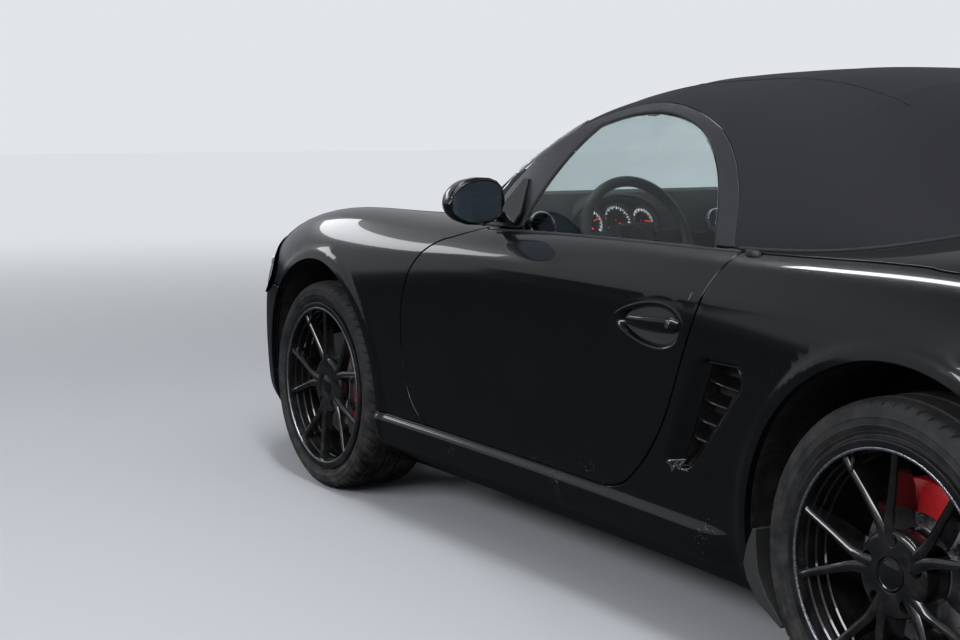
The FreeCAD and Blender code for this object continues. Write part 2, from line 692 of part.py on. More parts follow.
plate_seat = box(TAIL_X - 50, PLATE_SEAT_X, -PLATE_HALF_W, PLATE_HALF_W,
                 PLATE_LOW_Z, PLATE_HIGH_Z)
tail = body.common(tail_space).cut(
    [boot_hole, pipe_hole, silencer_room, plate_seat] + rear_wells
    + tail_holes)
export("rear_bumper", main_solid(tail))

quarter_space = box(TAIL_SPLIT_X, CABIN_REAR_X, REAR_WELL_Y, 1000, 100, 1100)
quarter_space = quarter_space.fuse(
    box(CABIN_REAR_X, 0, CABIN_HALF_W, 1000, SILL_TOP_Z, 1100))
quarter = body.common(quarter_space).cut([
    sill_block, door_hole, rear_well, tail_space, boot_hole, vent_hole,
    tail_hole])
quarter = main_solid(quarter)
export("rear_quarters", both_sides(quarter))

rear_tub = body.common(box(TAIL_SPLIT_X, CABIN_REAR_X, -REAR_WELL_Y,
                           REAR_WELL_Y, 100, 1100))
deck_space = box(DECK_REAR_X, CABIN_REAR_X, -REAR_WELL_Y, REAR_WELL_Y,
                 DECK_Z, 1100)
engine_bay = box(ENGINE_BAY_REAR_X, ENGINE_FRONT_X, -560, 560, 50, DECK_Z)
boot_room = box(-2000, -1480, -500, 500, 420, 1100).common(lid_floor)
rear_tub = rear_tub.cut([tail_space, deck_space, engine_bay, boot_room,
                         boot_hole] + tail_holes)
export("rear_tub", main_solid(rear_tub))
boot_slots = [
    lug_slot(BOOT_HINGE_X, y, BOOT_HINGE_Z, -1, BOOT_LUG).common(
        moved(body, 0, 0, -4)) for y in BOOT_HINGES_Y]
deck = main_solid(body.common(deck_space).cut([boot_hole] + boot_slots))
for y in BOOT_HINGES_Y:
    deck = deck.fuse(hinge_ears(BOOT_HINGE_X, y, BOOT_HINGE_Z, 30))
deck = main_solid(deck)
export("rear_deck", deck)
boot_wire = plan_outline(shrunk(BOOT_OUTLINE, MOVING_GAP))
boot_lid = prism(boot_wire, (0, 0, 1), 500, 1200)
boot_lid = main_solid(boot_lid.common(body).cut(moved(body, 0, 0, -LID_T)))
# The underside of the front edge is chamfered, so that it swings past the deck.
(low_x, low_z), (edge_x, edge_z) = BOOT_CHAMFER
steep = (edge_z - low_z) / (edge_x - low_x)
beyond_x = edge_x + 30
chamfer = [(low_x, low_z), (beyond_x, low_z + steep * (beyond_x - low_x)),
           (beyond_x, 900), (low_x, 900)]
boot_lid = main_solid(boot_lid.cut(prism(side_outline(chamfer), (0, 1, 0), -600, 600)))
for y in BOOT_HINGES_Y:
    boot_lid = boot_lid.fuse(hinge_lug(BOOT_HINGE_X, y, BOOT_HINGE_Z, -1,
                                         BOOT_LUG, (-1380, -1425, 966, 976)))
boot_lid = main_solid(boot_lid)
export("boot_lid", boot_lid)

# Engine and exhaust
engine = box(-1340, ENGINE_FRONT_X, -290, 290, 200, 640)
engine = engine.fuse(box(ENGINE_BAY_REAR_X + 5, -1340, -130, 130, 230, 470))
export("engine", engine)
silencer = box(TAIL_FRONT_X - 290, TAIL_FRONT_X - 30, -400, 400, 200,
               TAIL_FLOOR_Z)
pipes = cylinder((TAIL_X + 8, 0, TAILPIPE_Z), (1, 0, 0), TAILPIPE_R,
                 LENGTH / 2 + TAIL_FRONT_X - 290 + 10)
bore = cylinder((TAIL_X + 7, 0, TAILPIPE_Z), (1, 0, 0), TAILPIPE_R - 4, 120)
export("exhaust", main_solid(silencer.fuse(pipes).cut(bore)))

# Cabin
dash = prism(side_outline([
    (CABIN_FRONT_X, 610), (CABIN_FRONT_X, 930), (560, 955), (500, 950),
    (455, 900), (430, 840), (400, 760), (430, 660), (500, 610)]),
    (0, 1, 0), -700, 700)
dash = dash.common(moved(roof_inner, 0, 0, -12))
dash = dash.cut(body_raised.common(box(CABIN_FRONT_X - 1, 1000, -800, 800,
                                       700, 1100)))
wheel_tilt = math.radians(STEERING_TILT)
wheel_way = (-math.cos(wheel_tilt), 0.0, math.sin(wheel_tilt))
wheel_centre = (STEERING_X, STEERING_Y, STEERING_Z)
column_end = tuple(wheel_centre[i] - wheel_way[i] * 43 for i in range(3))
column = cylinder(column_end, tuple(-part for part in wheel_way), 32, 190)
dash = main_solid(dash.fuse(column))
export("dashboard", dash)
wheel = Part.makeTorus(STEERING_R - 15, 15, vec(*wheel_centre),
                       vec(*wheel_way))
hub_start = tuple(wheel_centre[i] - wheel_way[i] * 42 for i in range(3))
wheel_hub = cylinder(hub_start, wheel_way, 62, 45)
spokes = []
for angle in (0, 180, 270):
    spoke = box(40, STEERING_R - 10, -14, 14, -8, 4)
    spoke.rotate(vec(0, 0, 0), vec(0, 0, 1), angle)
    spokes.append(spoke)
turn = FreeCAD.Rotation(vec(0, 0, 1), vec(*wheel_way))
across = turn.multVec(vec(1, 0, 0))
roll = math.degrees(math.atan2(across.z, across.y))
for spoke in spokes:
    spoke.Placement = FreeCAD.Placement(vec(*wheel_centre), turn).multiply(
        FreeCAD.Placement(vec(0, 0, 0), FreeCAD.Rotation(
            vec(0, 0, 1), -roll)).multiply(spoke.Placement))
wheel = main_solid(wheel.fuse([wheel_hub] + spokes))
export("steering_wheel", wheel)

seat = box(-330, 190, 135, 615, FLOOR_TOP_Z, 380)
back = prism(side_outline([
    (-330, FLOOR_TOP_Z), (-200, FLOOR_TOP_Z), (-170, 400), (-340, 800),
    (-380, 1010), (-480, 1010), (-500, 860), (-420, 500)]),
    (0, 1, 0), 150, 600)
seat = main_solid(seat.fuse(back))
export("seats", both_sides(seat))
console = prism(side_outline([
    (-600, FLOOR_TOP_Z), (380, FLOOR_TOP_Z), (395, 600), (300, 520),
    (100, 430), (-560, 430)]), (0, 1, 0), -100, 100)
export("centre_console", console)

# Mirrors
mirror_back_x = MIRROR_CENTRE[0] - 0.5 * MIRROR_DEPTH
mirror_body = box(mirror_back_x, mirror_back_x + MIRROR_DEPTH,
                  MIRROR_CENTRE[1] - MIRROR_HALF_W, MIRROR_CENTRE[1] + MIRROR_HALF_W,
                  MIRROR_CENTRE[2] - MIRROR_HALF_H, MIRROR_CENTRE[2] + MIRROR_HALF_H)
round_edges = [edge for edge in mirror_body.Edges
               if edge.BoundBox.XMax > mirror_back_x + 1]
mirror_body = mirror_body.makeFillet(MIRROR_ROUND, round_edges)
foot = prism(side_outline([
    (335, 860), (378, 860), (385, 935), (350, 950)]), (0, 1, 0), 804, 860)
foot = foot.cut(body_raised)
mirror_piece = main_solid(mirror_body.fuse(foot))
export("mirror_left", mirror_piece)
export("mirror_right", mirrored(mirror_piece))


def ring_profile(points, centre, y_middle):
    """Body of revolution about the wheel's axis: (radius, offset) corners."""
    wire = path(points, lambda r, w: vec(centre[0], y_middle + w,
                                         centre[1] + r))
    return Part.Face(wire).revolve(
        vec(centre[0], 0, centre[1]), vec(0, 1, 0), 360)


def wheel_set(name, axle, track, tyre_r, tyre_w, rim_w, hub_y, disc_r,
              disc_t, caliper_angle):
    """Tyre, rim, brake disc and caliper of the left wheel on one axle."""
    middle = track / 2
    half = tyre_w / 2
    lip = rim_w / 2 + 13
    bead = rim_w / 2 - 2
    tyre = ring_profile([
        (RIM_SEAT_R + SEAM, -bead), (RIM_LIP_R + 3, -bead),
        (0.5 * (RIM_SEAT_R + tyre_r) + 6, -half),
        (tyre_r - 22, -half + 6), (tyre_r - 6, -half + 20),
        (tyre_r, -half + 45), (tyre_r, half - 45), (tyre_r - 6, half - 20),
        (tyre_r - 22, half - 6), (0.5 * (RIM_SEAT_R + tyre_r) + 6, half),
        (RIM_LIP_R + 3, bead), (RIM_SEAT_R + SEAM, bead)], axle, middle)
    barrel = ring_profile([
        (RIM_SEAT_R, -bead - 1), (RIM_LIP_R, -bead - 1.5),
        (RIM_LIP_R, -lip), (RIM_LIP_R - 22, -lip + 2), (224, -bead + 20),
        (224, bead - 20), (RIM_LIP_R - 18, lip - 4), (RIM_LIP_R, lip),
        (RIM_LIP_R, bead + 1.5), (RIM_SEAT_R, bead + 1)], axle, middle)
    face = lip - 6
    hub = hub_y - middle
    dish = ring_profile([
        (1, hub), (80, hub), (150, hub + 10), (228, face - 28),
        (236, face - 16), (236, face), (150, face - 10), (70, face - 14),
        (1, face - 16)], axle, middle)
    blades = []
    for fork in range(5):
        for side in (-1, 1):
            points = [(34, side * 4 - 15), (34, side * 4 + 15),
                      (95, side * 10 + 11), (242, side * 74 + 9),
                      (242, side * 74 - 9), (95, side * 10 - 11)]
            blade = prism(path(points, lambda a, b: vec(a, 0, b)),
                          (0, 1, 0), middle - 120, middle + 120)
            blade.rotate(vec(0, 0, 0), vec(0, 1, 0), -(75 + 72 * fork))
            blade.translate(vec(axle[0], 0, axle[1]))
            blades.append(blade)
    blades.append(cylinder((axle[0], middle - 120, axle[1]), (0, 1, 0), 82,
                           240))
    spokes = dish.common(blades[0].fuse(blades[1:]))
    rim = barrel.fuse(spokes)
    holes = []
    for bolt in range(HUB_BOLTS):
        angle = math.radians(90 + 360 / HUB_BOLTS * bolt)
        point = (axle[0] + HUB_BOLT_CIRCLE / 2 * math.cos(angle), hub_y - 20,
                 axle[1] + HUB_BOLT_CIRCLE / 2 * math.sin(angle))
        holes.append(cylinder(point, (0, 1, 0), 7.5, 80))
    holes.append(cylinder((axle[0], hub_y - 20, axle[1]), (0, 1, 0), 30, 26))
    rim = main_solid(rim.cut(holes))
    disc = ring_profile([
        (SPINDLE_BORE_R, hub - 62), (60, hub - 62), (60, hub - 48),
        (74, hub - 48), (74, hub - 20 - disc_t),
        (disc_r, hub - 20 - disc_t), (disc_r, hub - 20), (86, hub - 20),
        (86, hub), (29.5, hub), (29.5, hub + 5), (SPINDLE_BORE_R, hub + 5)],
        axle, middle)
    disc = disc.cut(holes[:-1])
    inner = hub - 20 - disc_t / 2
    caliper = ring_profile([
        (96, inner - 48), (disc_r + 26, inner - 48), (disc_r + 26, inner + 30),
        (110, inner + 30), (110, inner + disc_t / 2 + 2),
        (disc_r + 5, inner + disc_t / 2 + 2),
        (disc_r + 5, inner - disc_t / 2 - 2), (96, inner - disc_t / 2 - 2)],
        axle, middle)
    sector = prism(path([(0, 0), (400, -150), (400, 150)],
                        lambda a, b: vec(a, 0, b)), (0, 1, 0), 0, 1000)
    sector.rotate(vec(0, 0, 0), vec(0, 1, 0), -caliper_angle)
    sector.translate(vec(axle[0], 0, axle[1]))
    caliper = main_solid(caliper.common(sector))
    export("%s_tyre_left" % name, tyre)
    export("%s_tyre_right" % name, mirrored(tyre))
    export("%s_rim_left" % name, rim)
    export("%s_rim_right" % name, mirrored(rim))
    export("%s_disc_left" % name, disc)
    export("%s_disc_right" % name, mirrored(disc))
    return caliper, middle + inner - 48


front_axle = (FRONT_AXLE_X, FRONT_TYRE_R)
rear_axle = (REAR_AXLE_X, REAR_TYRE_R)
front_caliper, front_seat = wheel_set(
    "front", front_axle, FRONT_TRACK, FRONT_TYRE_R, FRONT_TYRE_W, 203.2,
    FRONT_HUB_Y, FRONT_DISC_R, FRONT_DISC_T, 180)
rear_caliper, rear_seat = wheel_set(
    "rear", rear_axle, REAR_TRACK, REAR_TYRE_R, REAR_TYRE_W, 241.3,
    REAR_HUB_Y, REAR_DISC_R, REAR_DISC_T, 100)
export("front_caliper_left", front_caliper)
export("front_caliper_right", mirrored(front_caliper))
export("rear_calipers", both_sides(rear_caliper))


def carrier(axle, hub_y, seat_y, caliper_angle, spindle_end):
    """Hub carrier with its spindle and the caliper's bracket."""
    plate = cylinder((axle[0], seat_y - 40, axle[1]), (0, 1, 0), 70, 40)
    spindle = cylinder((axle[0], seat_y - 5, axle[1]), (0, 1, 0), SPINDLE_R,
                       spindle_end - seat_y + 5)
    bracket = prism(path([(0, -55), (150, -70), (150, 70), (0, 55)],
                         lambda a, b: vec(a, 0, b)), (0, 1, 0),
                    seat_y - 22, seat_y)
    bracket.rotate(vec(0, 0, 0), vec(0, 1, 0), -caliper_angle)
    bracket.translate(vec(axle[0], 0, axle[1]))
    return plate.fuse([spindle, bracket])


knuckle = carrier(front_axle, FRONT_HUB_Y, front_seat, 180,
                  FRONT_HUB_Y - 2)
kingpin = cylinder((FRONT_AXLE_X, KINGPIN_Y, 176), (0, 0, 1), KINGPIN_R, 90)
post = box(FRONT_AXLE_X - 20, FRONT_AXLE_X + 20, KINGPIN_Y - 20,
           KINGPIN_Y + 14, 222, 300)
link = box(FRONT_AXLE_X - 22, FRONT_AXLE_X + 22, 572, front_seat - 30,
           FRONT_TYRE_R - 20, FRONT_TYRE_R + 20)
strut = cylinder((FRONT_AXLE_X, 595, FRONT_TYRE_R - 20), (0, 0, 1), 22, 340)
knuckle = main_solid(knuckle.fuse([kingpin, post, link, strut]))
export("knuckle_left", knuckle)
export("knuckle_right", mirrored(knuckle))
arm = prism(plan_outline([
    (FRONT_AXLE_X - 150, FRONT_WELL_Y), (FRONT_AXLE_X + 150, FRONT_WELL_Y),
    (FRONT_AXLE_X + 24, KINGPIN_Y + 20), (FRONT_AXLE_X - 24, KINGPIN_Y + 20)]),
    (0, 0, 1), 190, 221)
arm = arm.cut([
    cylinder((FRONT_AXLE_X, KINGPIN_Y, 100), (0, 0, 1), KINGPIN_R + 0.05, 300),
    prism(plan_outline([(FRONT_AXLE_X - 90, FRONT_WELL_Y + 25),
                        (FRONT_AXLE_X + 90, FRONT_WELL_Y + 25),
                        (FRONT_AXLE_X, KINGPIN_Y - 60)]),
          (0, 0, 1), 100, 300)])
export("front_axle", both_sides(main_solid(arm)))
upright = carrier(rear_axle, REAR_HUB_Y, rear_seat, 100, REAR_HUB_Y - 2)
links = [
    box(REAR_AXLE_X - 160, REAR_AXLE_X - 120, REAR_WELL_Y, 640, 215, 245),
    box(REAR_AXLE_X - 160, REAR_AXLE_X + 60, 625, 640, 215, 245),
    box(REAR_AXLE_X - 30, REAR_AXLE_X + 30, REAR_WELL_Y, rear_seat - 20,
        REAR_TYRE_R - 120, REAR_TYRE_R - 60)]
shaft = cylinder((REAR_AXLE_X, REAR_WELL_Y, REAR_TYRE_R), (0, 1, 0), 28,
                 rear_seat - 30 - REAR_WELL_Y)
upright = main_solid(upright.fuse([links[2], shaft]))
export("rear_axle", both_sides(upright))
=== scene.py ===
import json
import logging
import math
from collections.abc import Callable, Iterable, Sequence
from dataclasses import dataclass, field
from enum import Enum

import bmesh
import bpy
import numpy as np
from mathutils import Matrix, Vector
from mathutils.geometry import delaunay_2d_cdt
from mathutils.kdtree import KDTree

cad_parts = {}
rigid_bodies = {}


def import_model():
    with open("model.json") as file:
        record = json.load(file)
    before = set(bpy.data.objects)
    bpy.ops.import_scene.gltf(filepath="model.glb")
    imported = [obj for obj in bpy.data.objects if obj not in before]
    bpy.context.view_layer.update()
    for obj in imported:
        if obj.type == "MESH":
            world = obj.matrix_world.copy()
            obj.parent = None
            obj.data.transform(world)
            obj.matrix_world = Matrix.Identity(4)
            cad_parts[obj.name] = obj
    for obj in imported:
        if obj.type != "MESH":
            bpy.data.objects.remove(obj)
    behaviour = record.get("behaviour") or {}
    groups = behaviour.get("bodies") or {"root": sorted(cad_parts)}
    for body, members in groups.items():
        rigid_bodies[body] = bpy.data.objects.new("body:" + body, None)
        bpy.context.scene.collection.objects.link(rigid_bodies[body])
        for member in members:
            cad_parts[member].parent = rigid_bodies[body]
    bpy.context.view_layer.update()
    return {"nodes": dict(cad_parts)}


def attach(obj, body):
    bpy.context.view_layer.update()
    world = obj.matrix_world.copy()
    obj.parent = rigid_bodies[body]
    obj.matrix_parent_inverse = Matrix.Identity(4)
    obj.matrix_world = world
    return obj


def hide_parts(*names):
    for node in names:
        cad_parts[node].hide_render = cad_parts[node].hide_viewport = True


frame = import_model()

log = logging.getLogger("convertible")

MM = 0.001

# Sizes that the solids share, in millimetres
NOSE_X = 2171.0
TAIL_X = -2171.0
UNDERSIDE_Z = 140.0
FRONT_AXLE = (1288.0, 323.5)
REAR_AXLE = (-1127.0, 334.0)
FRONT_ARCH_R = 392.0
REAR_ARCH_R = 402.0
SILL_TOP_Z = 312.0
SILL_SPAN = (-735.0, 900.0)
BUMPER_TOP_Z = 605.0
NOSE_SPLIT_X = 2030.0
TAIL_TOP_Z = 625.0
TAIL_SPLIT_X = -2060.0
BELT_Y = 796.0
PANEL_DEPTH = 13.0
ROOF_FOOT_Z = 600.0

# Body stations: x, half width, height of the widest line, then y and z of the
# shoulder, the crown and the top edge, y and z between edge and middle, and
# the height of the middle.
BODY = [
    (NOSE_X, 60, 430, 58, 470, 50, 498, 40, 514, 22, 520, 521),
    (NOSE_X, 310, 430, 303, 484, 280, 520, 235, 538, 130, 546, 548),
    (2138, 500, 434, 492, 512, 462, 562, 395, 590, 235, 598, 601),
    (2062, 640, 442, 632, 546, 598, 618, 512, 654, 330, 656, 658),
    (1940, 748, 464, 741, 594, 696, 696, 596, 741, 398, 702, 694),
    (1700, 846, 520, 841, 665, 782, 782, 650, 832, 430, 762, 738),
    (1450, 886, 560, 876, 712, 808, 832, 660, 886, 445, 805, 778),
    (1200, 892, 560, 884, 728, 816, 846, 680, 896, 455, 822, 808),
    (900, 884, 560, 884, 740, 836, 836, 715, 894, 480, 860, 856),
    (620, 874, 560, 878, 748, 852, 822, 765, 894, 510, 892, 894),
    (250, 868, 560, 876, 756, 864, 822, 800, 899, 540, 902, 904),
    (-200, 870, 560, 878, 756, 866, 826, 802, 912, 545, 910, 912),
    (-600, 884, 560, 886, 752, 866, 832, 802, 912, 545, 932, 938),
    (-900, 904, 560, 900, 748, 868, 842, 798, 922, 535, 975, 990),
    (-1200, 913, 560, 906, 742, 866, 852, 792, 933, 520, 1003, 1020),
    (-1500, 897, 555, 888, 728, 845, 838, 765, 915, 505, 985, 1003),
    (-1780, 846, 550, 838, 700, 790, 798, 706, 868, 470, 928, 943),
    (-1960, 780, 540, 772, 676, 726, 762, 650, 818, 450, 864, 879),
    (-2085, 660, 522, 652, 628, 616, 700, 552, 752, 380, 792, 804),
    (-2150, 500, 500, 492, 575, 462, 632, 408, 676, 270, 710, 722),
    (TAIL_X, 300, 480, 294, 530, 274, 575, 236, 606, 150, 628, 634),
    (TAIL_X, 60, 470, 58, 505, 50, 535, 40, 556, 22, 566, 568),
]

# Roof stations: x, then y and z of the foot, the lower side, the upper side,
# the edge and the middle of each half, and the height on the centre line.
ROOF = [
    (960, 700, 690, 640, 740, 540, 770, 440, 790, 240, 815, 820),
    (800, 755, 740, 705, 810, 620, 850, 500, 880, 280, 915, 930),
    (620, 795, 800, 745, 880, 680, 930, 560, 965, 330, 1015, 1045),
    (440, 800, 850, 745, 950, 700, 1035, 570, 1085, 350, 1130, 1158),
    (300, 800, 862, 740, 975, 672, 1105, 560, 1180, 350, 1205, 1222),
    (80, 800, 868, 735, 990, 640, 1160, 560, 1222, 360, 1262, 1268),
    (-150, 800, 872, 735, 990, 632, 1180, 560, 1243, 370, 1287, 1291),
    (-400, 800, 878, 738, 990, 650, 1160, 570, 1247, 380, 1295, 1298),
    (-600, 800, 885, 750, 990, 680, 1120, 590, 1225, 380, 1285, 1292),
    (-800, 790, 890, 755, 970, 690, 1060, 580, 1160, 370, 1235, 1250),
    (-960, 765, 895, 730, 945, 665, 1000, 550, 1060, 350, 1140, 1170),
    (-1110, 700, 900, 660, 940, 590, 970, 480, 1000, 300, 1040, 1060),
    (-1220, 610, 900, 560, 925, 490, 945, 390, 962, 230, 972, 975),
]

Pair = tuple[float, float]
Triple = tuple[float, float, float]


def smooth(value: np.ndarray, start: float, end: float) -> np.ndarray:
    """Smooth step.

    Args:
        value: What is measured.
        start: Where the step leaves 0.
        end: Where it reaches 1, which may lie below start.

    Returns:
        The height of the step, from 0 to 1.
    """
    share = np.clip((value - start) / (end - start), 0.0, 1.0)
    return share * share * (3.0 - 2.0 * share)


def round_angles(count: int) -> np.ndarray:
    """Angles that part a full turn into equal steps.

    Args:
        count: How many steps the turn has.

    Returns:
        The angles in radians, from 0 on.
    """
    return np.arange(count) * 2 * math.pi / count


def unit_rows(rows: np.ndarray) -> np.ndarray:
    """The rows scaled to length 1."""
    return rows / np.maximum(np.linalg.norm(rows, axis=-1, keepdims=True), 1e-12)


class Outline:
    """Closed line of corners, and of arcs given by a point on the way and their end."""

    def __init__(self, *items: tuple[float, ...]) -> None:
        """Keeps the corners.

        Args:
            items: (a, b) for a corner, or (a on the way, b on the way, a, b) for an arc.
        """
        self.items = items

    def points(self, step: float = 9.0) -> np.ndarray:
        """Points along the line.

        Args:
            step: The longest distance between two points.

        Returns:
            One row for each point, and the first isn't repeated.
        """
        found: list[np.ndarray] = []
        last = np.array(self.items[0][-2:], float)
        for item in [*self.items[1:], self.items[0][-2:]]:
            end = np.array(item[-2:], float)
            if len(item) == 4:
                stretch = self.arc(last, np.array(item[:2], float), end, step)
            else:
                count = max(1, math.ceil(np.linalg.norm(end - last) / step))
                share = np.arange(count)[:, None] / count
                stretch = last + (end - last) * share
            if np.linalg.norm(end - last) > 1e-6:
                found.append(stretch)
            last = end
        return np.concatenate(found)

    @staticmethod
    def arc(start: np.ndarray, way: np.ndarray, end: np.ndarray, step: float) -> np.ndarray:
        """Points on the arc through three points, without its end."""
        matrix = 2 * np.array([way - start, end - start])
        right = np.array([way @ way - start @ start, end @ end - start @ start])
        centre = np.linalg.solve(matrix, right)
        radius = np.linalg.norm(start - centre)
        angles = [math.atan2(*(p - centre)[::-1]) for p in (start, way, end)]
        turn = (angles[2] - angles[0]) % (2 * math.pi)
        if (angles[1] - angles[0]) % (2 * math.pi) > turn:
            turn -= 2 * math.pi
        count = max(3, math.ceil(abs(turn) * radius / step))
        angle = angles[0] + turn * np.arange(count) / count
        return centre + radius * np.stack([np.cos(angle), np.sin(angle)], 1)

    def holds(self, a: np.ndarray, b: np.ndarray) -> np.ndarray:
        """Which of the points (a, b) lie inside."""
        loop = self.points()
        after = np.roll(loop, -1, 0)
        odd = np.zeros(len(a), bool)
        for (x0, y0), (x1, y1) in zip(loop, after):
            if y0 != y1:
                crosses = ((y0 > b) != (y1 > b))
                odd ^= crosses & (a < (x1 - x0) * (b - y0) / (y1 - y0) + x0)
        return odd


def circle(a: float, b: float, radius: float) -> Outline:
    """A full circle as an outline."""
    return Outline((a + radius, b), (a, b + radius, a - radius, b),
                   (a, b - radius, a + radius, b))


# Outlines of the openings, by corners and arcs as in the solids
DOOR = Outline((382, 960), (382, 887), (554, 838), (689, 761, 733, 679),
               (749, 564, 731, 453), (694, 362, 622, SILL_TOP_Z), (-176, SILL_TOP_Z),
               (-235, 320, -283, 339), (-402, 457, -470, 583), (-535, 745, -594, 900),
               (-612, 960))
ARCH_OUTER = Outline((480, 830), (480, 880), (374, 1038, 246, 1147),
                     (-40, 1206, -297, 1162), (-470, 1050, -552, 890), (-556, 830))
ARCH_INNER = Outline((296, 830), (290, 880), (240, 1020, 158, 1147),
                     (-20, 1184, -226, 1161), (-400, 1052, -486, 890), (-492, 830))
INTAKE = Outline((-529, 662), (-545, 666, -563, 667), (-680, 668), (-699, 663, -707, 646),
                 (-707, 625, -698, 610), (-628, 528), (-552, 444), (-520, 420, -480, 414),
                 (-450, 413, -431, 421))
VENT = Outline((-580, 655), (-587, 665, -598, 666), (-680, 668), (-699, 663, -707, 646),
               (-707, 625, -698, 610), (-628, 528), (-552, 444), (-536, 426, -514, 421),
               (-496, 420, -487, 434))
BONNET = Outline((760, 560), (1350, 545, 1850, 420), (2055, 0, 1850, -420),
                 (1350, -545, 760, -560), (925, 0, 760, 560))
BOOT = Outline((-1400, 530), (-1700, 515, -1990, 425), (-2050, 0, -1990, -425),
               (-1700, -515, -1400, -530), (-1352, 0, -1400, 530))
HEADER = Outline((250, 700), (300, 0, 250, -700), (1200, -700), (1200, 700))
SCREEN = Outline((292, 570), (345, 0, 292, -570), (575, -735), (980, 0, 575, 735))
REAR_WINDOW = Outline((300, 1187), (404, 1172, 454, 1124), (448, 1074, 392, 1049),
                      (0, 1034, -392, 1049), (-448, 1074, -454, 1124),
                      (-404, 1172, -300, 1187), (0, 1194, 300, 1187))
HEADLAMP = Outline((560, 640), (600, 560, 700, 560), (820, 600, 800, 700),
                   (700, 740, 600, 700), (570, 680, 560, 640))
TAIL_LAMP = Outline((430, 700), (600, 640, 760, 660), (790, 720, 740, 770),
                    (600, 780, 440, 740), (425, 720, 430, 700))
FUEL_FLAP = circle(905, 712, 84)


def body_poles(station: Sequence[float]) -> np.ndarray:
    """Poles of one body station, from the left sill over the top to the right sill."""
    x, w, zw, ys, zs, yc, zc, yt, zt, ym, zm, z0 = station
    low = UNDERSIDE_Z
    half = [(0.78 * w, low), (0.965 * w, low + 16), (0.99 * w, low + 0.47 * (zw - low)),
            (w, zw), (ys, zs), (yc, zc), (yt, zt), (ym, zm), (0, z0)]
    return np.array([(x, y, z) for y, z in half] + [(x, -y, z) for y, z in half[-2::-1]])


def roof_poles(station: Sequence[float]) -> np.ndarray:
    """Poles of one roof station, from the left foot over the top to the right foot."""
    x, ya, za, yb, zb, yc, zc, yd, zd, ye, ze, z0 = station
    half = [(ya + 10, ROOF_FOOT_Z), (ya + 6, 0.5 * (ROOF_FOOT_Z + za)), (ya, za),
            (yb, zb), (yc, zc), (yd, zd), (ye, ze), (0, z0)]
    return np.array([(x, y, z) for y, z in half] + [(x, -y, z) for y, z in half[-2::-1]])


def cubic_weights(values: np.ndarray, count: int) -> np.ndarray:
    """Weights of the poles of a clamped cubic spline with knots 1 apart.

    Args:
        values: Places along the spline, from 0 to count - 3.
        count: The number of poles.

    Returns:
        One row of weights for each value.
    """
    last = count - 3
    knots = np.concatenate([[0.0] * 3, np.arange(last + 1.0), [float(last)] * 3])
    at = np.clip(values, 0.0, last - 1e-9)[:, None]
    weights = ((at >= knots[:-1]) & (at < knots[1:])).astype(float)
    for degree in (1, 2, 3):
        n = len(knots) - 1 - degree
        rise = knots[degree:degree + n] - knots[:n]
        fall = knots[degree + 1:degree + 1 + n] - knots[1:n + 1]
        up = np.where(rise > 0, (at - knots[:n]) / np.where(rise > 0, rise, 1), 0)
        down = np.where(fall > 0, (knots[degree + 1:degree + 1 + n] - at)
                        / np.where(fall > 0, fall, 1), 0)
        weights = up * weights[:, :n] + down * weights[:, 1:n + 1]
    return weights


Relief = Callable[[np.ndarray], np.ndarray]


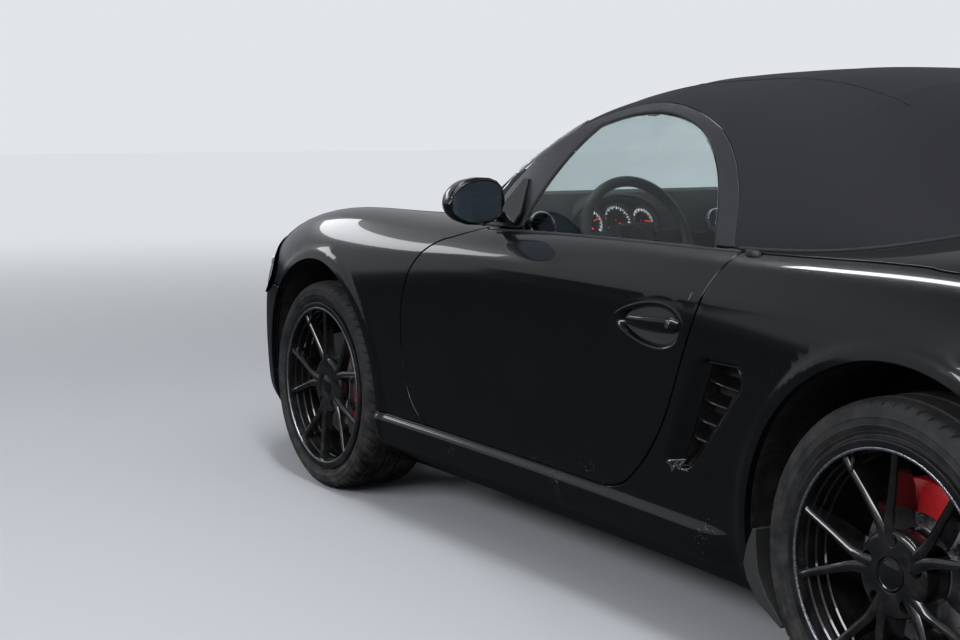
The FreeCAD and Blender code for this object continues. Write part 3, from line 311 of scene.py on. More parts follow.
class Skin:
    """Cubic surface over a table of stations, with a fine relief along its normal.

    s runs along the stations, t from the left edge to the centre line at mid_t.
    """

    FINE = 40
    NUDGE = 2e-3

    def __init__(self, poles: Iterable[np.ndarray], relief: Relief, capped: bool) -> None:
        """Keeps the poles and works out the tables for finding a place again.

        Args:
            poles: One array of poles for each station.
            relief: The height over the plain surface at each of its points.
            capped: True where flat caps close both ends. There s runs on by 1, and the
                end section shrinks to the centre line.
        """
        self.poles = np.array(list(poles))
        self.relief = relief
        rows, columns = self.poles.shape[:2]
        self.last_s = float(rows - 3)
        self.mid_t = (columns - 3) / 2
        self.s_low = -1.0 if capped else 0.0
        self.s_high = self.last_s + (1.0 if capped else 0.0)
        count = round(self.FINE * (self.s_high - self.s_low))
        self.s_fine = np.linspace(self.s_low, self.s_high, count + 1)
        self.t_fine = np.linspace(0, self.mid_t, self.FINE * (columns - 3) // 2 + 1)
        self.x_fine = cubic_weights(self.s_fine, rows) @ self.poles[:, 0, 0]
        sections = self.sections(self.s_fine)
        steps = np.linalg.norm(np.diff(sections, axis=0), axis=2)
        self.along = np.concatenate([[0], np.cumsum(np.quantile(steps, 0.75, axis=1))])
        middle = sections[len(sections) // 2]
        girth = np.linalg.norm(np.diff(middle, axis=0), axis=1)
        self.around = np.concatenate([[0], np.cumsum(girth)])

    def sections(self, s: np.ndarray) -> np.ndarray:
        """The left half of the section at each s, as rows of points over t_fine."""
        over = cubic_weights(self.t_fine, self.poles.shape[1])
        lines = np.einsum("ni,ijk->njk", cubic_weights(s, self.poles.shape[0]), self.poles)
        lines[:, :, 1] *= self.shrink(s)[:, None]
        return np.einsum("njk,tj->ntk", lines, over)

    def shrink(self, s: np.ndarray) -> np.ndarray:
        """How wide the section is, as a share, which falls to 0 over a cap."""
        past = np.maximum(-s, s - self.last_s)
        return 1.0 - np.clip(past, 0.0, 1.0)

    def plain(self, s: np.ndarray, t: np.ndarray) -> np.ndarray:
        """Points of the surface without its relief."""
        lines = np.einsum("ni,ijk->njk", cubic_weights(s, self.poles.shape[0]), self.poles)
        lines[:, :, 1] *= self.shrink(s)[:, None]
        return np.einsum("njk,nj->nk", lines, cubic_weights(t, self.poles.shape[1]))

    def tilt(self, s: np.ndarray, t: np.ndarray, surface: Callable) -> np.ndarray:
        """Unit normals that point outwards, from differences of nearby points."""
        e = self.NUDGE
        s0, s1 = (np.clip(s + way, self.s_low, self.s_high) for way in (-e, e))
        t0, t1 = (np.clip(t + way, 0, 2 * self.mid_t) for way in (-e, e))
        along = surface(s1, t) - surface(s0, t)
        over = surface(s, t1) - surface(s, t0)
        found = np.cross(along, over)
        flat = np.linalg.norm(found, axis=1) < 1e-6
        found[flat] = np.stack([np.where(s < 0.5 * self.last_s, 1.0, -1.0), 0 * s, 0 * s],
                               1)[flat]
        return unit_rows(found)

    def points(self, s: np.ndarray, t: np.ndarray) -> np.ndarray:
        """Points of the surface with its relief."""
        plain = self.plain(s, t)
        return plain + self.relief(plain)[:, None] * self.tilt(s, t, self.plain)

    def normals(self, s: np.ndarray, t: np.ndarray) -> np.ndarray:
        """Unit normals of the surface with its relief."""
        return self.tilt(s, t, self.points)

    def s_at(self, x: np.ndarray) -> np.ndarray:
        """The s at which the stations have that x."""
        return np.interp(-np.asarray(x, float), -self.x_fine, self.s_fine)

    def side_line(self, xz: np.ndarray) -> np.ndarray:
        """(s, t) of points given in the side view, the lowest where there are two."""
        s = self.s_at(xz[:, 0])
        heights = self.sections(s)[:, :, 2]
        return np.stack([s, self.first_crossing(heights - xz[:, 1:])], 1)

    def top_line(self, xy: np.ndarray) -> np.ndarray:
        """(s, t) of points given in the plan view, on the upper side."""
        s = self.s_at(xy[:, 0])
        widths = self.sections(s)[:, ::-1, 1]
        return np.stack([s, self.mid_t - self.first_crossing(widths - xy[:, 1:])], 1)

    def first_crossing(self, rising: np.ndarray) -> np.ndarray:
        """The t from the row's start at which each row first passes 0."""
        at = np.maximum(np.argmax(rising >= 0, axis=1), 1)
        at = np.where((rising >= 0).any(1), at, rising.shape[1] - 1)
        rows = np.arange(len(rising))
        low, high = rising[rows, at - 1], rising[rows, at]
        share = np.clip(-low / np.where(high - low == 0, 1, high - low), 0, 1)
        return (at - 1 + share) * self.t_fine[1]

    def end_line(self, yz: np.ndarray, front: bool, beyond: float = 1300.0) -> np.ndarray:
        """(s, t) of points given in the view from one end.

        Args:
            yz: The points.
            front: True for the nose and False for the tail.
            beyond: How far from the middle the search starts.

        Returns:
            The places on the surface.
        """
        chosen = np.abs(self.x_fine) > beyond
        chosen &= (self.x_fine > 0) == front
        s_low = self.s_fine[chosen][::4]
        grid = self.sections(s_low)[:, ::2]
        flat = grid.reshape(-1, 3)
        near = np.argmin(((flat[None, :, 1:] - yz[:, None]) ** 2).sum(2), axis=1)
        place = np.stack([s_low[near // grid.shape[1]],
                          self.t_fine[::2][near % grid.shape[1]]], 1)
        e = self.NUDGE
        for _ in range(8):
            here = self.plain(*place.T)[:, 1:]
            by_s = (self.plain(place[:, 0] + e, place[:, 1])[:, 1:] - here) / e
            by_t = (self.plain(place[:, 0], place[:, 1] + e)[:, 1:] - here) / e
            slope = np.stack([by_s, by_t], 2) + 1e-9 * np.eye(2)
            step = np.linalg.solve(slope, (yz - here)[:, :, None])[:, :, 0]
            place = place + np.clip(step, -0.3, 0.3)
            place[:, 0] = np.clip(place[:, 0], self.s_low, self.s_high)
            place[:, 1] = np.clip(place[:, 1], 0, self.mid_t)
        return place

    def flat(self, place: np.ndarray) -> np.ndarray:
        """(s, t) as lengths along and around, in metres."""
        return np.stack([np.interp(place[:, 0], self.s_fine, self.along),
                         np.interp(place[:, 1], self.t_fine, self.around)], 1) * MM

    def unflat(self, lengths: np.ndarray) -> np.ndarray:
        """Lengths along and around, in metres, back to (s, t)."""
        return np.stack([np.interp(lengths[:, 0] / MM, self.along, self.s_fine),
                         np.interp(lengths[:, 1] / MM, self.around, self.t_fine)], 1)


@dataclass
class Patchwork:
    """The left half of a skin cut into triangles along named lines."""

    skin: Skin
    lines: list[np.ndarray]
    step: float = 17.0
    keep_off: float = 5.5
    place: np.ndarray = field(init=False)
    corners: np.ndarray = field(init=False)
    points: np.ndarray = field(init=False)
    normals: np.ndarray = field(init=False)

    def __post_init__(self) -> None:
        """Triangulates between a grid of points and the lines."""
        flat = [self.skin.flat(line) for line in self.lines]
        size = np.array([self.skin.along[-1], self.skin.around[-1]]) * MM
        counts = np.ceil(size / (self.step * MM)).astype(int)
        axes = [np.linspace(0, size[k], counts[k] + 1) for k in (0, 1)]
        grid = np.stack(np.meshgrid(*axes, indexing="ij"), 2).reshape(-1, 2)
        on_rim = ((grid <= 1e-9) | (grid >= size - 1e-9)).any(1)
        dense = np.concatenate([self.filled(line) for line in flat])
        tree = KDTree(len(dense))
        for index, point in enumerate(dense):
            tree.insert((*point, 0), index)
        tree.balance()
        far = np.array([tree.find((*point, 0))[2] > self.keep_off * MM for point in grid])
        vertices = [Vector(point) for point in grid[far | on_rim]]
        edges: list[tuple[int, int]] = []
        for line in flat:
            first = len(vertices)
            vertices += [Vector(point) for point in line]
            edges += [(i, i + 1) for i in range(first, len(vertices) - 1)]
        made = delaunay_2d_cdt(vertices, edges, [], 0, 1e-6)
        flat_points = np.clip(np.array([tuple(p) for p in made[0]]), 0, size)
        self.place = self.skin.unflat(flat_points)
        self.corners = np.array([tuple(face) for face in made[2]])
        self.points = self.skin.points(*self.place.T)
        self.normals = self.skin.normals(*self.place.T)
        self.points[self.place[:, 1] >= self.skin.mid_t - 1e-6, 1] = 0.0
        self.turn_outwards()

    def filled(self, line: np.ndarray) -> np.ndarray:
        """The line with points close enough together to measure distances to."""
        share = np.linspace(0, 1, 5)[:-1, None, None]
        return np.concatenate([(line[:-1] + (line[1:] - line[:-1]) * share)
                               .reshape(-1, 2), line[-1:]])

    def turn_outwards(self) -> None:
        """Turns each triangle so that its corners run anticlockwise seen from outside."""
        a, b, c = (self.points[self.corners[:, k]] for k in (0, 1, 2))
        face = np.cross(b - a, c - a)
        wrong = (face * self.normals[self.corners].sum(1)).sum(1) < 0
        self.corners[wrong] = self.corners[wrong][:, ::-1]
        area = np.linalg.norm(face, axis=1)
        self.corners = self.corners[area > 1e-3]

    def centres(self) -> np.ndarray:
        """The middle of each triangle on the plain surface."""
        middle = self.place[self.corners].mean(1)
        return self.skin.plain(*middle.T)


@dataclass(frozen=True)
class Hem:
    """How a panel's edge is turned in: half the gap, the fold's radius and its depth."""

    gap: float = 2.0
    radius: float = 2.2
    depth: float = PANEL_DEPTH
    folds: int = 3
    closed: bool = False


@dataclass
class Surface:
    """A mesh in the making: points and normals in millimetres, and faces."""

    points: np.ndarray
    normals: np.ndarray
    faces: list[tuple[int, ...]]

    @classmethod
    def cut(cls, work: Patchwork, chosen: np.ndarray) -> "Surface":
        """The chosen triangles of a patchwork, with the points that they use."""
        used, faces = np.unique(work.corners[chosen], return_inverse=True)
        return cls(work.points[used].copy(), work.normals[used].copy(),
                   [tuple(face) for face in faces.reshape(-1, 3)])

    def loops(self) -> list[list[int]]:
        """The closed lines of edges that only one face uses, with the faces on their left."""
        edges = {(a, b) for face in self.faces for a, b in zip(face, face[1:] + face[:1])}
        after: dict[int, list[int]] = {}
        for a, b in edges:
            if (b, a) not in edges:
                after.setdefault(a, []).append(b)
        found = []
        for start in sorted(after):
            while after.get(start):
                loop = [start]
                here = after[start].pop()
                while here != start and after.get(here):
                    loop.append(here)
                    here = after[here].pop()
                if here == start and len(loop) > 2:
                    found.append(loop)
                elif here != start:
                    log.warning("an open rim of %d points near %s", len(loop),
                                self.points[here].round())
        return found

    def hem(self, hem: Hem, arches: bool = True) -> "Surface":
        """Draws the rim in by half a gap and folds it inwards.

        Args:
            hem: The gap and the fold.
            arches: True where rims along a wheel arch stay at their place and fold deeper.

        Returns:
            This surface, with the fold added.
        """
        points, normals, faces = [self.points], [self.normals], list(self.faces)
        count = len(self.points)
        ends: dict[int, int] = {}
        for loop in self.loops():
            ring = np.array(loop)
            at, up = self.points[ring], self.normals[ring]
            inward, middle = self.inward(at, up)
            gap = np.full(len(ring), hem.gap)
            depth = np.full(len(ring), hem.depth)
            if arches:
                rim = on_arch(at) | (at[:, 2] < UNDERSIDE_Z + 1)
                gap[rim], depth[rim] = 0.2, 24.0
            gap, depth = gap[:, None], depth[:, None]
            on_middle = (np.abs(at[:, 1]) < 1e-6) & middle
            rows = [at + inward * (gap + hem.radius)]
            slopes = [up]
            for fold in range(1, hem.folds + 1):
                angle = 0.5 * math.pi * fold / hem.folds
                rows.append(at + inward * (gap + hem.radius * (1 - math.sin(angle)))
                            - up * hem.radius * (1 - math.cos(angle)))
                slopes.append(unit_rows(up * math.cos(angle) - inward * math.sin(angle)))
            rows.append(at + inward * gap - up * depth)
            slopes.append(unit_rows(-inward))
            self.points[ring[~on_middle]] = rows[0][~on_middle]
            base = count
            rings = [ring]
            for row, slope in zip(rows[1:], slopes[1:]):
                row[np.abs(at[:, 1]) < 1e-6, 1] = 0.0
                points.append(row)
                normals.append(slope)
                rings.append(np.arange(base, base + len(ring)))
                base += len(ring)
            count = base
            after = np.roll(np.arange(len(ring)), -1)
            flat = (np.abs(at[:, 1]) < 1e-6) & (np.abs(at[after, 1]) < 1e-6)
            for upper, lower in zip(rings[:-1], rings[1:]):
                for i in np.nonzero(~flat)[0]:
                    j = after[i]
                    faces.append((upper[j], upper[i], lower[i], lower[j]))
            ends.update(zip(ring.tolist(), rings[-1].tolist()))
        points[0], normals[0] = self.points, self.normals
        made = Surface(np.concatenate(points), np.concatenate(normals), faces)
        if hem.closed:
            made.close(len(self.points), len(self.faces), hem, ends)
        return made

    def close(self, count: int, faces: int, hem: Hem, ends: dict[int, int]) -> None:
        """Adds the inner face, sewn to the ends of the fold.

        Args:
            count: How many points the outer face has.
            faces: How many faces it has.
            hem: The fold.
            ends: Which end of the fold belongs to which point of the rim.
        """
        inner = self.points[:count] - self.normals[:count] * hem.depth
        inner[np.abs(self.points[:count, 1]) < 1e-6, 1] = 0.0
        first = len(self.points)
        self.points = np.concatenate([self.points, inner])
        self.normals = np.concatenate([self.normals, -self.normals[:count]])
        self.faces += [tuple(first + i for i in face[::-1]) for face in self.faces[:faces]]
        rim = {(a, b) for a, b in self.rim_edges(faces)}
        for a, b in sorted(rim):
            if a in ends and b in ends:
                on_middle = abs(self.points[a, 1]) < 1e-6 and abs(self.points[b, 1]) < 1e-6
                if not on_middle:
                    self.faces.append((ends[b], ends[a], first + a, first + b))

    def rim_edges(self, faces: int) -> list[tuple[int, int]]:
        """Edges that only one of the first faces uses."""
        edges = {(a, b) for face in self.faces[:faces]
                 for a, b in zip(face, face[1:] + face[:1])}
        return sorted(edge for edge in edges if edge[::-1] not in edges)

    @staticmethod
    def inward(at: np.ndarray, up: np.ndarray) -> tuple[np.ndarray, np.ndarray]:
        """Directions in the surface that lead away from its rim.

        Args:
            at: The rim's points in order.
            up: The normals there.

        Returns:
            The directions, as long as a mitred corner needs, and which points end a
            stretch along the centre line.
        """
        ahead = unit_rows(np.roll(at, -1, 0) - at)
        back = np.roll(ahead, 1, 0)
        first, second = np.cross(up, back), np.cross(up, ahead)
        centre = np.abs(at[:, 1]) < 1e-6
        flat_ahead = centre & np.roll(centre, -1)
        flat_back = centre & np.roll(centre, 1)
        first = np.where((flat_back & ~flat_ahead)[:, None], second, first)
        second = np.where((flat_ahead & ~flat_back)[:, None], first, second)
        way = (first + second) / np.maximum(1 + (first * second).sum(1), 0.35)[:, None]
        way[centre, 1] = 0.0
        return way, flat_ahead & flat_back

    def mirrored(self) -> "Surface":
        """The same surface on the other side of the car."""
        flip = np.array([1.0, -1.0, 1.0])
        return Surface(self.points * flip, self.normals * flip,
                       [face[::-1] for face in self.faces])

    def whole(self) -> "Surface":
        """This half and its mirror image, sewn along the centre line."""
        other = self.mirrored()
        count = len(self.points)
        index = np.arange(count) + count
        centre = np.abs(self.points[:, 1]) < 1e-6
        index[centre] = np.arange(count)[centre]
        self.normals[centre, 1] = 0.0
        faces = self.faces + [tuple(int(index[i]) for i in face) for face in other.faces]
        return Surface(np.concatenate([self.points, other.points]),
                       np.concatenate([unit_rows(self.normals), other.normals]), faces)

    def piece(self, name: str, material: bpy.types.Material) -> bpy.types.Object:
        """Makes the surface a Blender object in metres.

        Args:
            name: The piece's name.
            material: What it is made of.

        Returns:
            The new object.
        """
        used = np.unique(np.concatenate([np.array(face) for face in self.faces]))
        index = np.full(len(self.points), -1)
        index[used] = np.arange(len(used))
        mesh = bpy.data.meshes.new(name)
        mesh.from_pydata((self.points[used] * MM).tolist(), [],
                         [tuple(int(index[i]) for i in face) for face in self.faces])
        mesh.shade_smooth()
        mesh.normals_split_custom_set_from_vertices(self.normals[used].tolist())
        mesh.materials.append(material)
        made = bpy.data.objects.new(name, mesh)
        bpy.context.scene.collection.objects.link(made)
        return made


def on_arch(points: np.ndarray) -> np.ndarray:
    """Which points lie on the rim of a wheel arch."""
    found = np.zeros(len(points), bool)
    for (x, z), radius in ((FRONT_AXLE, FRONT_ARCH_R), (REAR_AXLE, REAR_ARCH_R)):
        away = np.hypot(points[:, 0] - x, points[:, 2] - z)
        found |= (np.abs(away - radius) < 3.0) & (points[:, 2] > UNDERSIDE_Z + 1)
    return found


class NodeTree:
    """A short way to write nodes and links."""

    def __init__(self, tree: bpy.types.NodeTree) -> None:
        """Keeps the tree that the nodes go into."""
        self.tree = tree

    def add(self, kind: str, inputs: dict | None = None, **settings: object) -> bpy.types.Node:
        """Adds a node.

        Args:
            kind: Its type, without the word ShaderNode.
            inputs: A value or another node's output for each named or numbered input.
            settings: Values of the node's own properties.

        Returns:
            The node.
        """
        node = self.tree.nodes.new("ShaderNode" + kind)
        for key, value in settings.items():
            setattr(node, key, value)
        for key, value in (inputs or {}).items():
            if isinstance(value, bpy.types.NodeSocket):
                self.tree.links.new(value, node.inputs[key])
            else:
                node.inputs[key].default_value = value
        return node

    def maths(self, operation: str, *values: object) -> bpy.types.NodeSocket:
        """The result of a Math node."""
        made = self.add("Math", dict(enumerate(values)), operation=operation)
        return made.outputs[0]

    def ramp(self, value: bpy.types.NodeSocket, low: float, high: float) -> bpy.types.NodeSocket:
        """0 where the value is at low, 1 where it is at high, smooth between."""
        made = self.add("MapRange", {"Value": value, "From Min": low, "From Max": high},
                        interpolation_type="SMOOTHSTEP")
        return made.outputs[0]

    def mix(self, share: object, first: object, second: object) -> bpy.types.NodeSocket:
        """A colour between two colours."""
        made = self.add("Mix", data_type="RGBA")
        for index, value in ((0, share), (6, first), (7, second)):
            if isinstance(value, bpy.types.NodeSocket):
                self.tree.links.new(value, made.inputs[index])
            else:
                made.inputs[index].default_value = value
        return made.outputs[2]


class Effects:
    """Node groups that several materials share, each built once."""

    made: dict[str, bpy.types.NodeTree] = {}

    @classmethod
    def group(cls, name: str, inputs: dict[str, tuple[str, float]],
              outputs: dict[str, str]) -> tuple[NodeTree, dict, dict]:
        """Starts a group.

        Args:
            name: Its name.
            inputs: The kind and first value of each input.
            outputs: The kind of each output.

        Returns:
            Its tree, the sockets that bring its inputs, and those that take its outputs.
        """
        tree = bpy.data.node_groups.new(name, "ShaderNodeTree")
        for key, (kind, value) in inputs.items():
            socket = tree.interface.new_socket(name=key, in_out="INPUT",
                                               socket_type="NodeSocket" + kind)
            if kind == "Float":
                socket.default_value = value
        for key, kind in outputs.items():
            tree.interface.new_socket(name=key, in_out="OUTPUT",
                                      socket_type="NodeSocket" + kind)
        start, end = tree.nodes.new("NodeGroupInput"), tree.nodes.new("NodeGroupOutput")
        cls.made[name] = tree
        return NodeTree(tree), dict(start.outputs.items()), dict(end.inputs.items())

    @classmethod
    def get(cls, name: str) -> bpy.types.NodeTree:
        """The group of that name, built if it isn't there yet."""
        if name not in cls.made:
            getattr(cls, name)()
        return cls.made[name]

    @classmethod
    def mottle(cls) -> None:
        """Slow and fine changes of tone, from 0 to 1."""
        tree, given, taken = cls.group(
            "mottle", {"Scale": ("Float", 6.0)}, {"Tone": "Float", "Speck": "Float"})
        where = tree.add("TexCoord").outputs["Object"]
        slow = tree.add("TexNoise", {"Vector": where, "Scale": given["Scale"],
                                     "Detail": 4.0, "Roughness": 0.55})
        fine_scale = tree.maths("MULTIPLY", given["Scale"], 34.0)
        fine = tree.add("TexNoise", {"Vector": where, "Scale": fine_scale, "Detail": 2.0})
        tree.tree.links.new(tree.ramp(slow.outputs[0], 0.3, 0.7), taken["Tone"])
        tree.tree.links.new(tree.ramp(fine.outputs[0], 0.35, 0.65), taken["Speck"])

    @classmethod
    def road_dust(cls) -> None:
        """A mask of dust that thickens towards the ground, and of stone chips."""
        tree, given, taken = cls.group(
            "road_dust", {"Top": ("Float", 0.5)}, {"Dust": "Float", "Chips": "Float"})
        where = tree.add("TexCoord").outputs["Object"]
        height = tree.add("SeparateXYZ", {0: where}).outputs["Z"]
        low = tree.maths("SUBTRACT", 1.0, tree.maths("DIVIDE", height, given["Top"]))
        low = tree.maths("MAXIMUM", low, 0.0)
        noise = tree.add("TexNoise", {"Vector": where, "Scale": 22.0, "Detail": 6.0,
                                      "Roughness": 0.7})
        dust = tree.maths("MULTIPLY", low, tree.ramp(noise.outputs[0], 0.35, 0.75))
        cells = tree.add("TexVoronoi", {"Vector": where, "Scale": 150.0,
                                        "Randomness": 1.0})
        size = tree.add("TexNoise", {"Vector": where, "Scale": 9.0, "Detail": 3.0})
        dots = tree.maths("LESS_THAN", cells.outputs["Distance"],
                          tree.maths("MULTIPLY", tree.ramp(size.outputs[0], 0.5, 0.75), 0.3))
        tree.tree.links.new(dust, taken["Dust"])
        tree.tree.links.new(tree.maths("MULTIPLY", dots, tree.ramp(low, 0.0, 0.3)),
                            taken["Chips"])

    @classmethod
    def moulded(cls) -> None:
        """Height of the fine grain of moulded plastic and rubber."""
        tree, given, taken = cls.group("moulded", {"Scale": ("Float", 900.0)},
                                       {"Height": "Float"})
        where = tree.add("TexCoord").outputs["Object"]
        cells = tree.add("TexVoronoi", {"Vector": where, "Scale": given["Scale"]})
        noise = tree.add("TexNoise", {"Vector": where, "Scale": given["Scale"],
                                      "Detail": 3.0})
        tree.tree.links.new(tree.maths("ADD", cells.outputs["Distance"],
                                       noise.outputs[0]), taken["Height"])

    @classmethod
    def hide(cls) -> None:
        """Height and creases of leather grain."""
        tree, given, taken = cls.group("hide", {"Scale": ("Float", 420.0)},
                                       {"Height": "Float", "Crease": "Float"})
        where = tree.add("TexCoord").outputs["Object"]
        warp = tree.add("TexNoise", {"Vector": where, "Scale": 60.0, "Detail": 3.0})
        moved = tree.add("VectorMath", {0: where, 1: tree.add(
            "VectorMath", {0: warp.outputs["Color"], 1: (0.004,) * 3},
            operation="MULTIPLY").outputs[0]}, operation="ADD").outputs[0]
        cells = tree.add("TexVoronoi", {"Vector": moved, "Scale": given["Scale"]},
                         feature="DISTANCE_TO_EDGE")
        edge = tree.ramp(cells.outputs[0], 0.0, 0.12)
        tree.tree.links.new(edge, taken["Height"])
        tree.tree.links.new(tree.maths("SUBTRACT", 1.0, edge), taken["Crease"])

    @classmethod
    def weave(cls) -> None:
        """Height and thread pattern of canvas."""
        tree, given, taken = cls.group("weave", {"Pitch": ("Float", 0.0016)},
                                       {"Height": "Float", "Thread": "Float"})
        where = tree.add("TexCoord").outputs["Object"]
        parts = tree.add("SeparateXYZ", {0: where})
        turns = tree.maths("DIVIDE", 2 * math.pi, given["Pitch"])
        waves = []
        for along in (("X", "Z"), ("Y", "Z")):
            lengths = tree.maths("ADD", parts.outputs[along[0]],
                                 tree.maths("MULTIPLY", parts.outputs[along[1]], 0.62))
            waves.append(tree.maths("SINE", tree.maths("MULTIPLY", lengths, turns)))
        product = tree.maths("MULTIPLY", *waves)
        tree.tree.links.new(tree.maths("MULTIPLY_ADD", product, 0.5, 0.5),
                            taken["Height"])
        fuzz = tree.add("TexNoise", {"Vector": where, "Scale": 900.0, "Detail": 2.0})
        tree.tree.links.new(fuzz.outputs[0], taken["Thread"])


@dataclass(frozen=True)
class Finish:
    """What a surface is made of. Lengths are in metres."""

    name: str
    colour: Triple
    roughness: float = 0.5
    metallic: float = 0.0
    coat: float = 0.0
    coat_roughness: float = 0.03
    sheen: float = 0.0
    specular: float = 0.5
    transmission: float = 0.0
    ior: float = 1.5
    mottle_scale: float = 6.0
    mottle: float = 0.25
    rough_spread: float = 0.12
    dust: float = 0.0
    dust_top: float = 0.55
    chips: float = 0.0
    bump: float = 0.0
    relief: str = "moulded"
    relief_scale: float = 900.0
    glow: float = 0.0

    def material(self) -> bpy.types.Material:
        """The material, built at its first use."""
        found = bpy.data.materials.get(self.name)
        return found if found else self.build()

    def build(self) -> bpy.types.Material:
        """Builds the material's nodes."""
        made = bpy.data.materials.new(self.name)
        made.use_nodes = True
        made.node_tree.nodes.clear()
        tree = NodeTree(made.node_tree)
        shader = tree.add("BsdfPrincipled", {
            "Metallic": self.metallic, "Coat Weight": self.coat,
            "Coat Roughness": self.coat_roughness, "Sheen Weight": self.sheen,
            "Specular IOR Level": self.specular, "IOR": self.ior,
            "Transmission Weight": self.transmission})
        colour, rough = self.tones(tree)
        tree.tree.links.new(colour, shader.inputs["Base Color"])
        tree.tree.links.new(rough, shader.inputs["Roughness"])
        if self.bump > 0:
            tree.tree.links.new(self.normal(tree), shader.inputs["Normal"])
        if self.glow > 0:
            tree.tree.links.new(colour, shader.inputs["Emission Color"])
            shader.inputs["Emission Strength"].default_value = self.glow
        end = tree.add("OutputMaterial", {"Surface": shader.outputs[0]})
        end.is_active_output = True
        return made

    def tones(self, tree: NodeTree) -> tuple[bpy.types.NodeSocket, bpy.types.NodeSocket]:
        """Colour and roughness with mottling, dust and chips."""
        spots = tree.add("Group", node_tree=Effects.get("mottle"))
        spots.inputs["Scale"].default_value = self.mottle_scale
        dark = tuple(part * (1 - self.mottle) for part in self.colour)
        light = tuple(min(part * (1 + self.mottle), 1.0) for part in self.colour)
        colour = tree.mix(spots.outputs["Tone"], (*dark, 1), (*light, 1))
        rough = tree.maths("MULTIPLY_ADD", spots.outputs["Speck"], self.rough_spread,
                           self.roughness)
        if self.dust > 0 or self.chips > 0:
            road = tree.add("Group", node_tree=Effects.get("road_dust"))
            road.inputs["Top"].default_value = self.dust_top
            share = tree.maths("MULTIPLY", road.outputs["Dust"], self.dust)
            colour = tree.mix(share, colour, (0.16, 0.15, 0.14, 1))
            rough = tree.maths("MULTIPLY_ADD", share, 0.5, rough)
            if self.chips > 0:
                spots = tree.maths("MULTIPLY", road.outputs["Chips"], self.chips)
                colour = tree.mix(spots, colour, (0.4, 0.41, 0.42, 1))
        return colour, rough

    def normal(self, tree: NodeTree) -> bpy.types.NodeSocket:
        """The normal with the surface's relief."""
        group = tree.add("Group", node_tree=Effects.get(self.relief))
        group.inputs[0].default_value = self.relief_scale
        made = tree.add("Bump", {"Strength": self.bump, "Distance": 0.001,
                                 "Height": group.outputs["Height"]})
        return made.outputs[0]


BLACK_PAINT = Finish("black_paint", (0.0042, 0.0046, 0.0056), 0.22, coat=1.0,
                     coat_roughness=0.012, mottle=0.08, rough_spread=0.02, dust=0.05,
                     dust_top=0.42, chips=0.3, specular=0.2)
SATIN_TRIM = Finish("satin_trim", (0.045, 0.047, 0.052), 0.36, metallic=0.65, mottle=0.1,
                    bump=0.04)
ROOF_CLOTH = Finish("roof_cloth", (0.006, 0.0062, 0.0068), 0.88, sheen=0.12, mottle=0.22,
                    mottle_scale=9, bump=0.55, relief="weave", relief_scale=0.0017,
                    specular=0.22)
CLEAR_GLASS = Finish("clear_glass", (0.78, 0.85, 0.85), 0.0, transmission=1.0, ior=1.25,
                     mottle=0.02, rough_spread=0.01)
LAMP_GLASS = Finish("lamp_glass", (0.93, 0.95, 0.97), 0.0, transmission=1.0, ior=1.35,
                    mottle=0.01, rough_spread=0.01)
RED_LENS = Finish("red_lens", (0.32, 0.006, 0.008), 0.06, coat=1.0, mottle=0.1,
                  transmission=0.55, rough_spread=0.04)
LINER = Finish("wheel_liner", (0.012, 0.012, 0.0125), 0.8, bump=0.4, dust=0.5,
               dust_top=0.9)
BLACK_PLASTIC = Finish("black_plastic", (0.012, 0.0125, 0.013), 0.52, bump=0.25)
GLOSS_PLASTIC = Finish("gloss_plastic", (0.008, 0.008, 0.009), 0.12, coat=0.6,
                       mottle=0.1, rough_spread=0.05)
RUBBER_SEAL = Finish("rubber_seal", (0.01, 0.01, 0.0105), 0.6, bump=0.15)


def dress(body: str, slot: str | None, *pieces: bpy.types.Object) -> None:
    """Lets pieces ride on a body."""
    for piece in pieces:
        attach(piece, body)
        log.info("%s rides on %s", piece.name, body)


class Panel(Enum):
    """The panels that the body's skin is cut into."""

    OPEN = 0
    FRONT_BUMPER = 1
    FENDER = 2
    FUEL_FLAP = 3
    BONNET = 4
    COWL = 5
    DOOR = 6
    SILL = 8
    QUARTER = 9
    REAR_BUMPER = 10
    BOOT = 11
    DECK = 12
    HEADLAMP = 13
    TAIL_LAMP = 14


CENTRE_GRILLE = Outline((0, 190), (318, 190), (330, 202), (330, 288), (318, 300), (0, 300))
SIDE_GRILLE = Outline((440, 200), (680, 208), (690, 220), (684, 318), (672, 330),
                      (444, 326), (432, 312), (430, 212))
DECK_PLAN = Outline((-600, 0), (-600, 797), (-1120, 797), (-1330, 735, -1400, 530),
                    (-1370, 300, -1352, 0))
NOSE_SEAM = ((1850.0, 420.0), (2050.0, 600.0))
BOOT_CORNER = (-1990.0, 425.0)

# The side intake's front edge, from its foot to its top, as x and z
INTAKE_FRONT = ((-431.0, 421.0), (-529.0, 662.0))

# The slots in the cowl that the front lid's hinges pass through
HINGE_Y = 380.0
SLOT_HALF_W = 14.0
SLOT_X = (700.0, 856.0)
SEAL_GAP = 24.0

# How far the scratches stand over the paint
SCRATCH_LIFT = 0.12


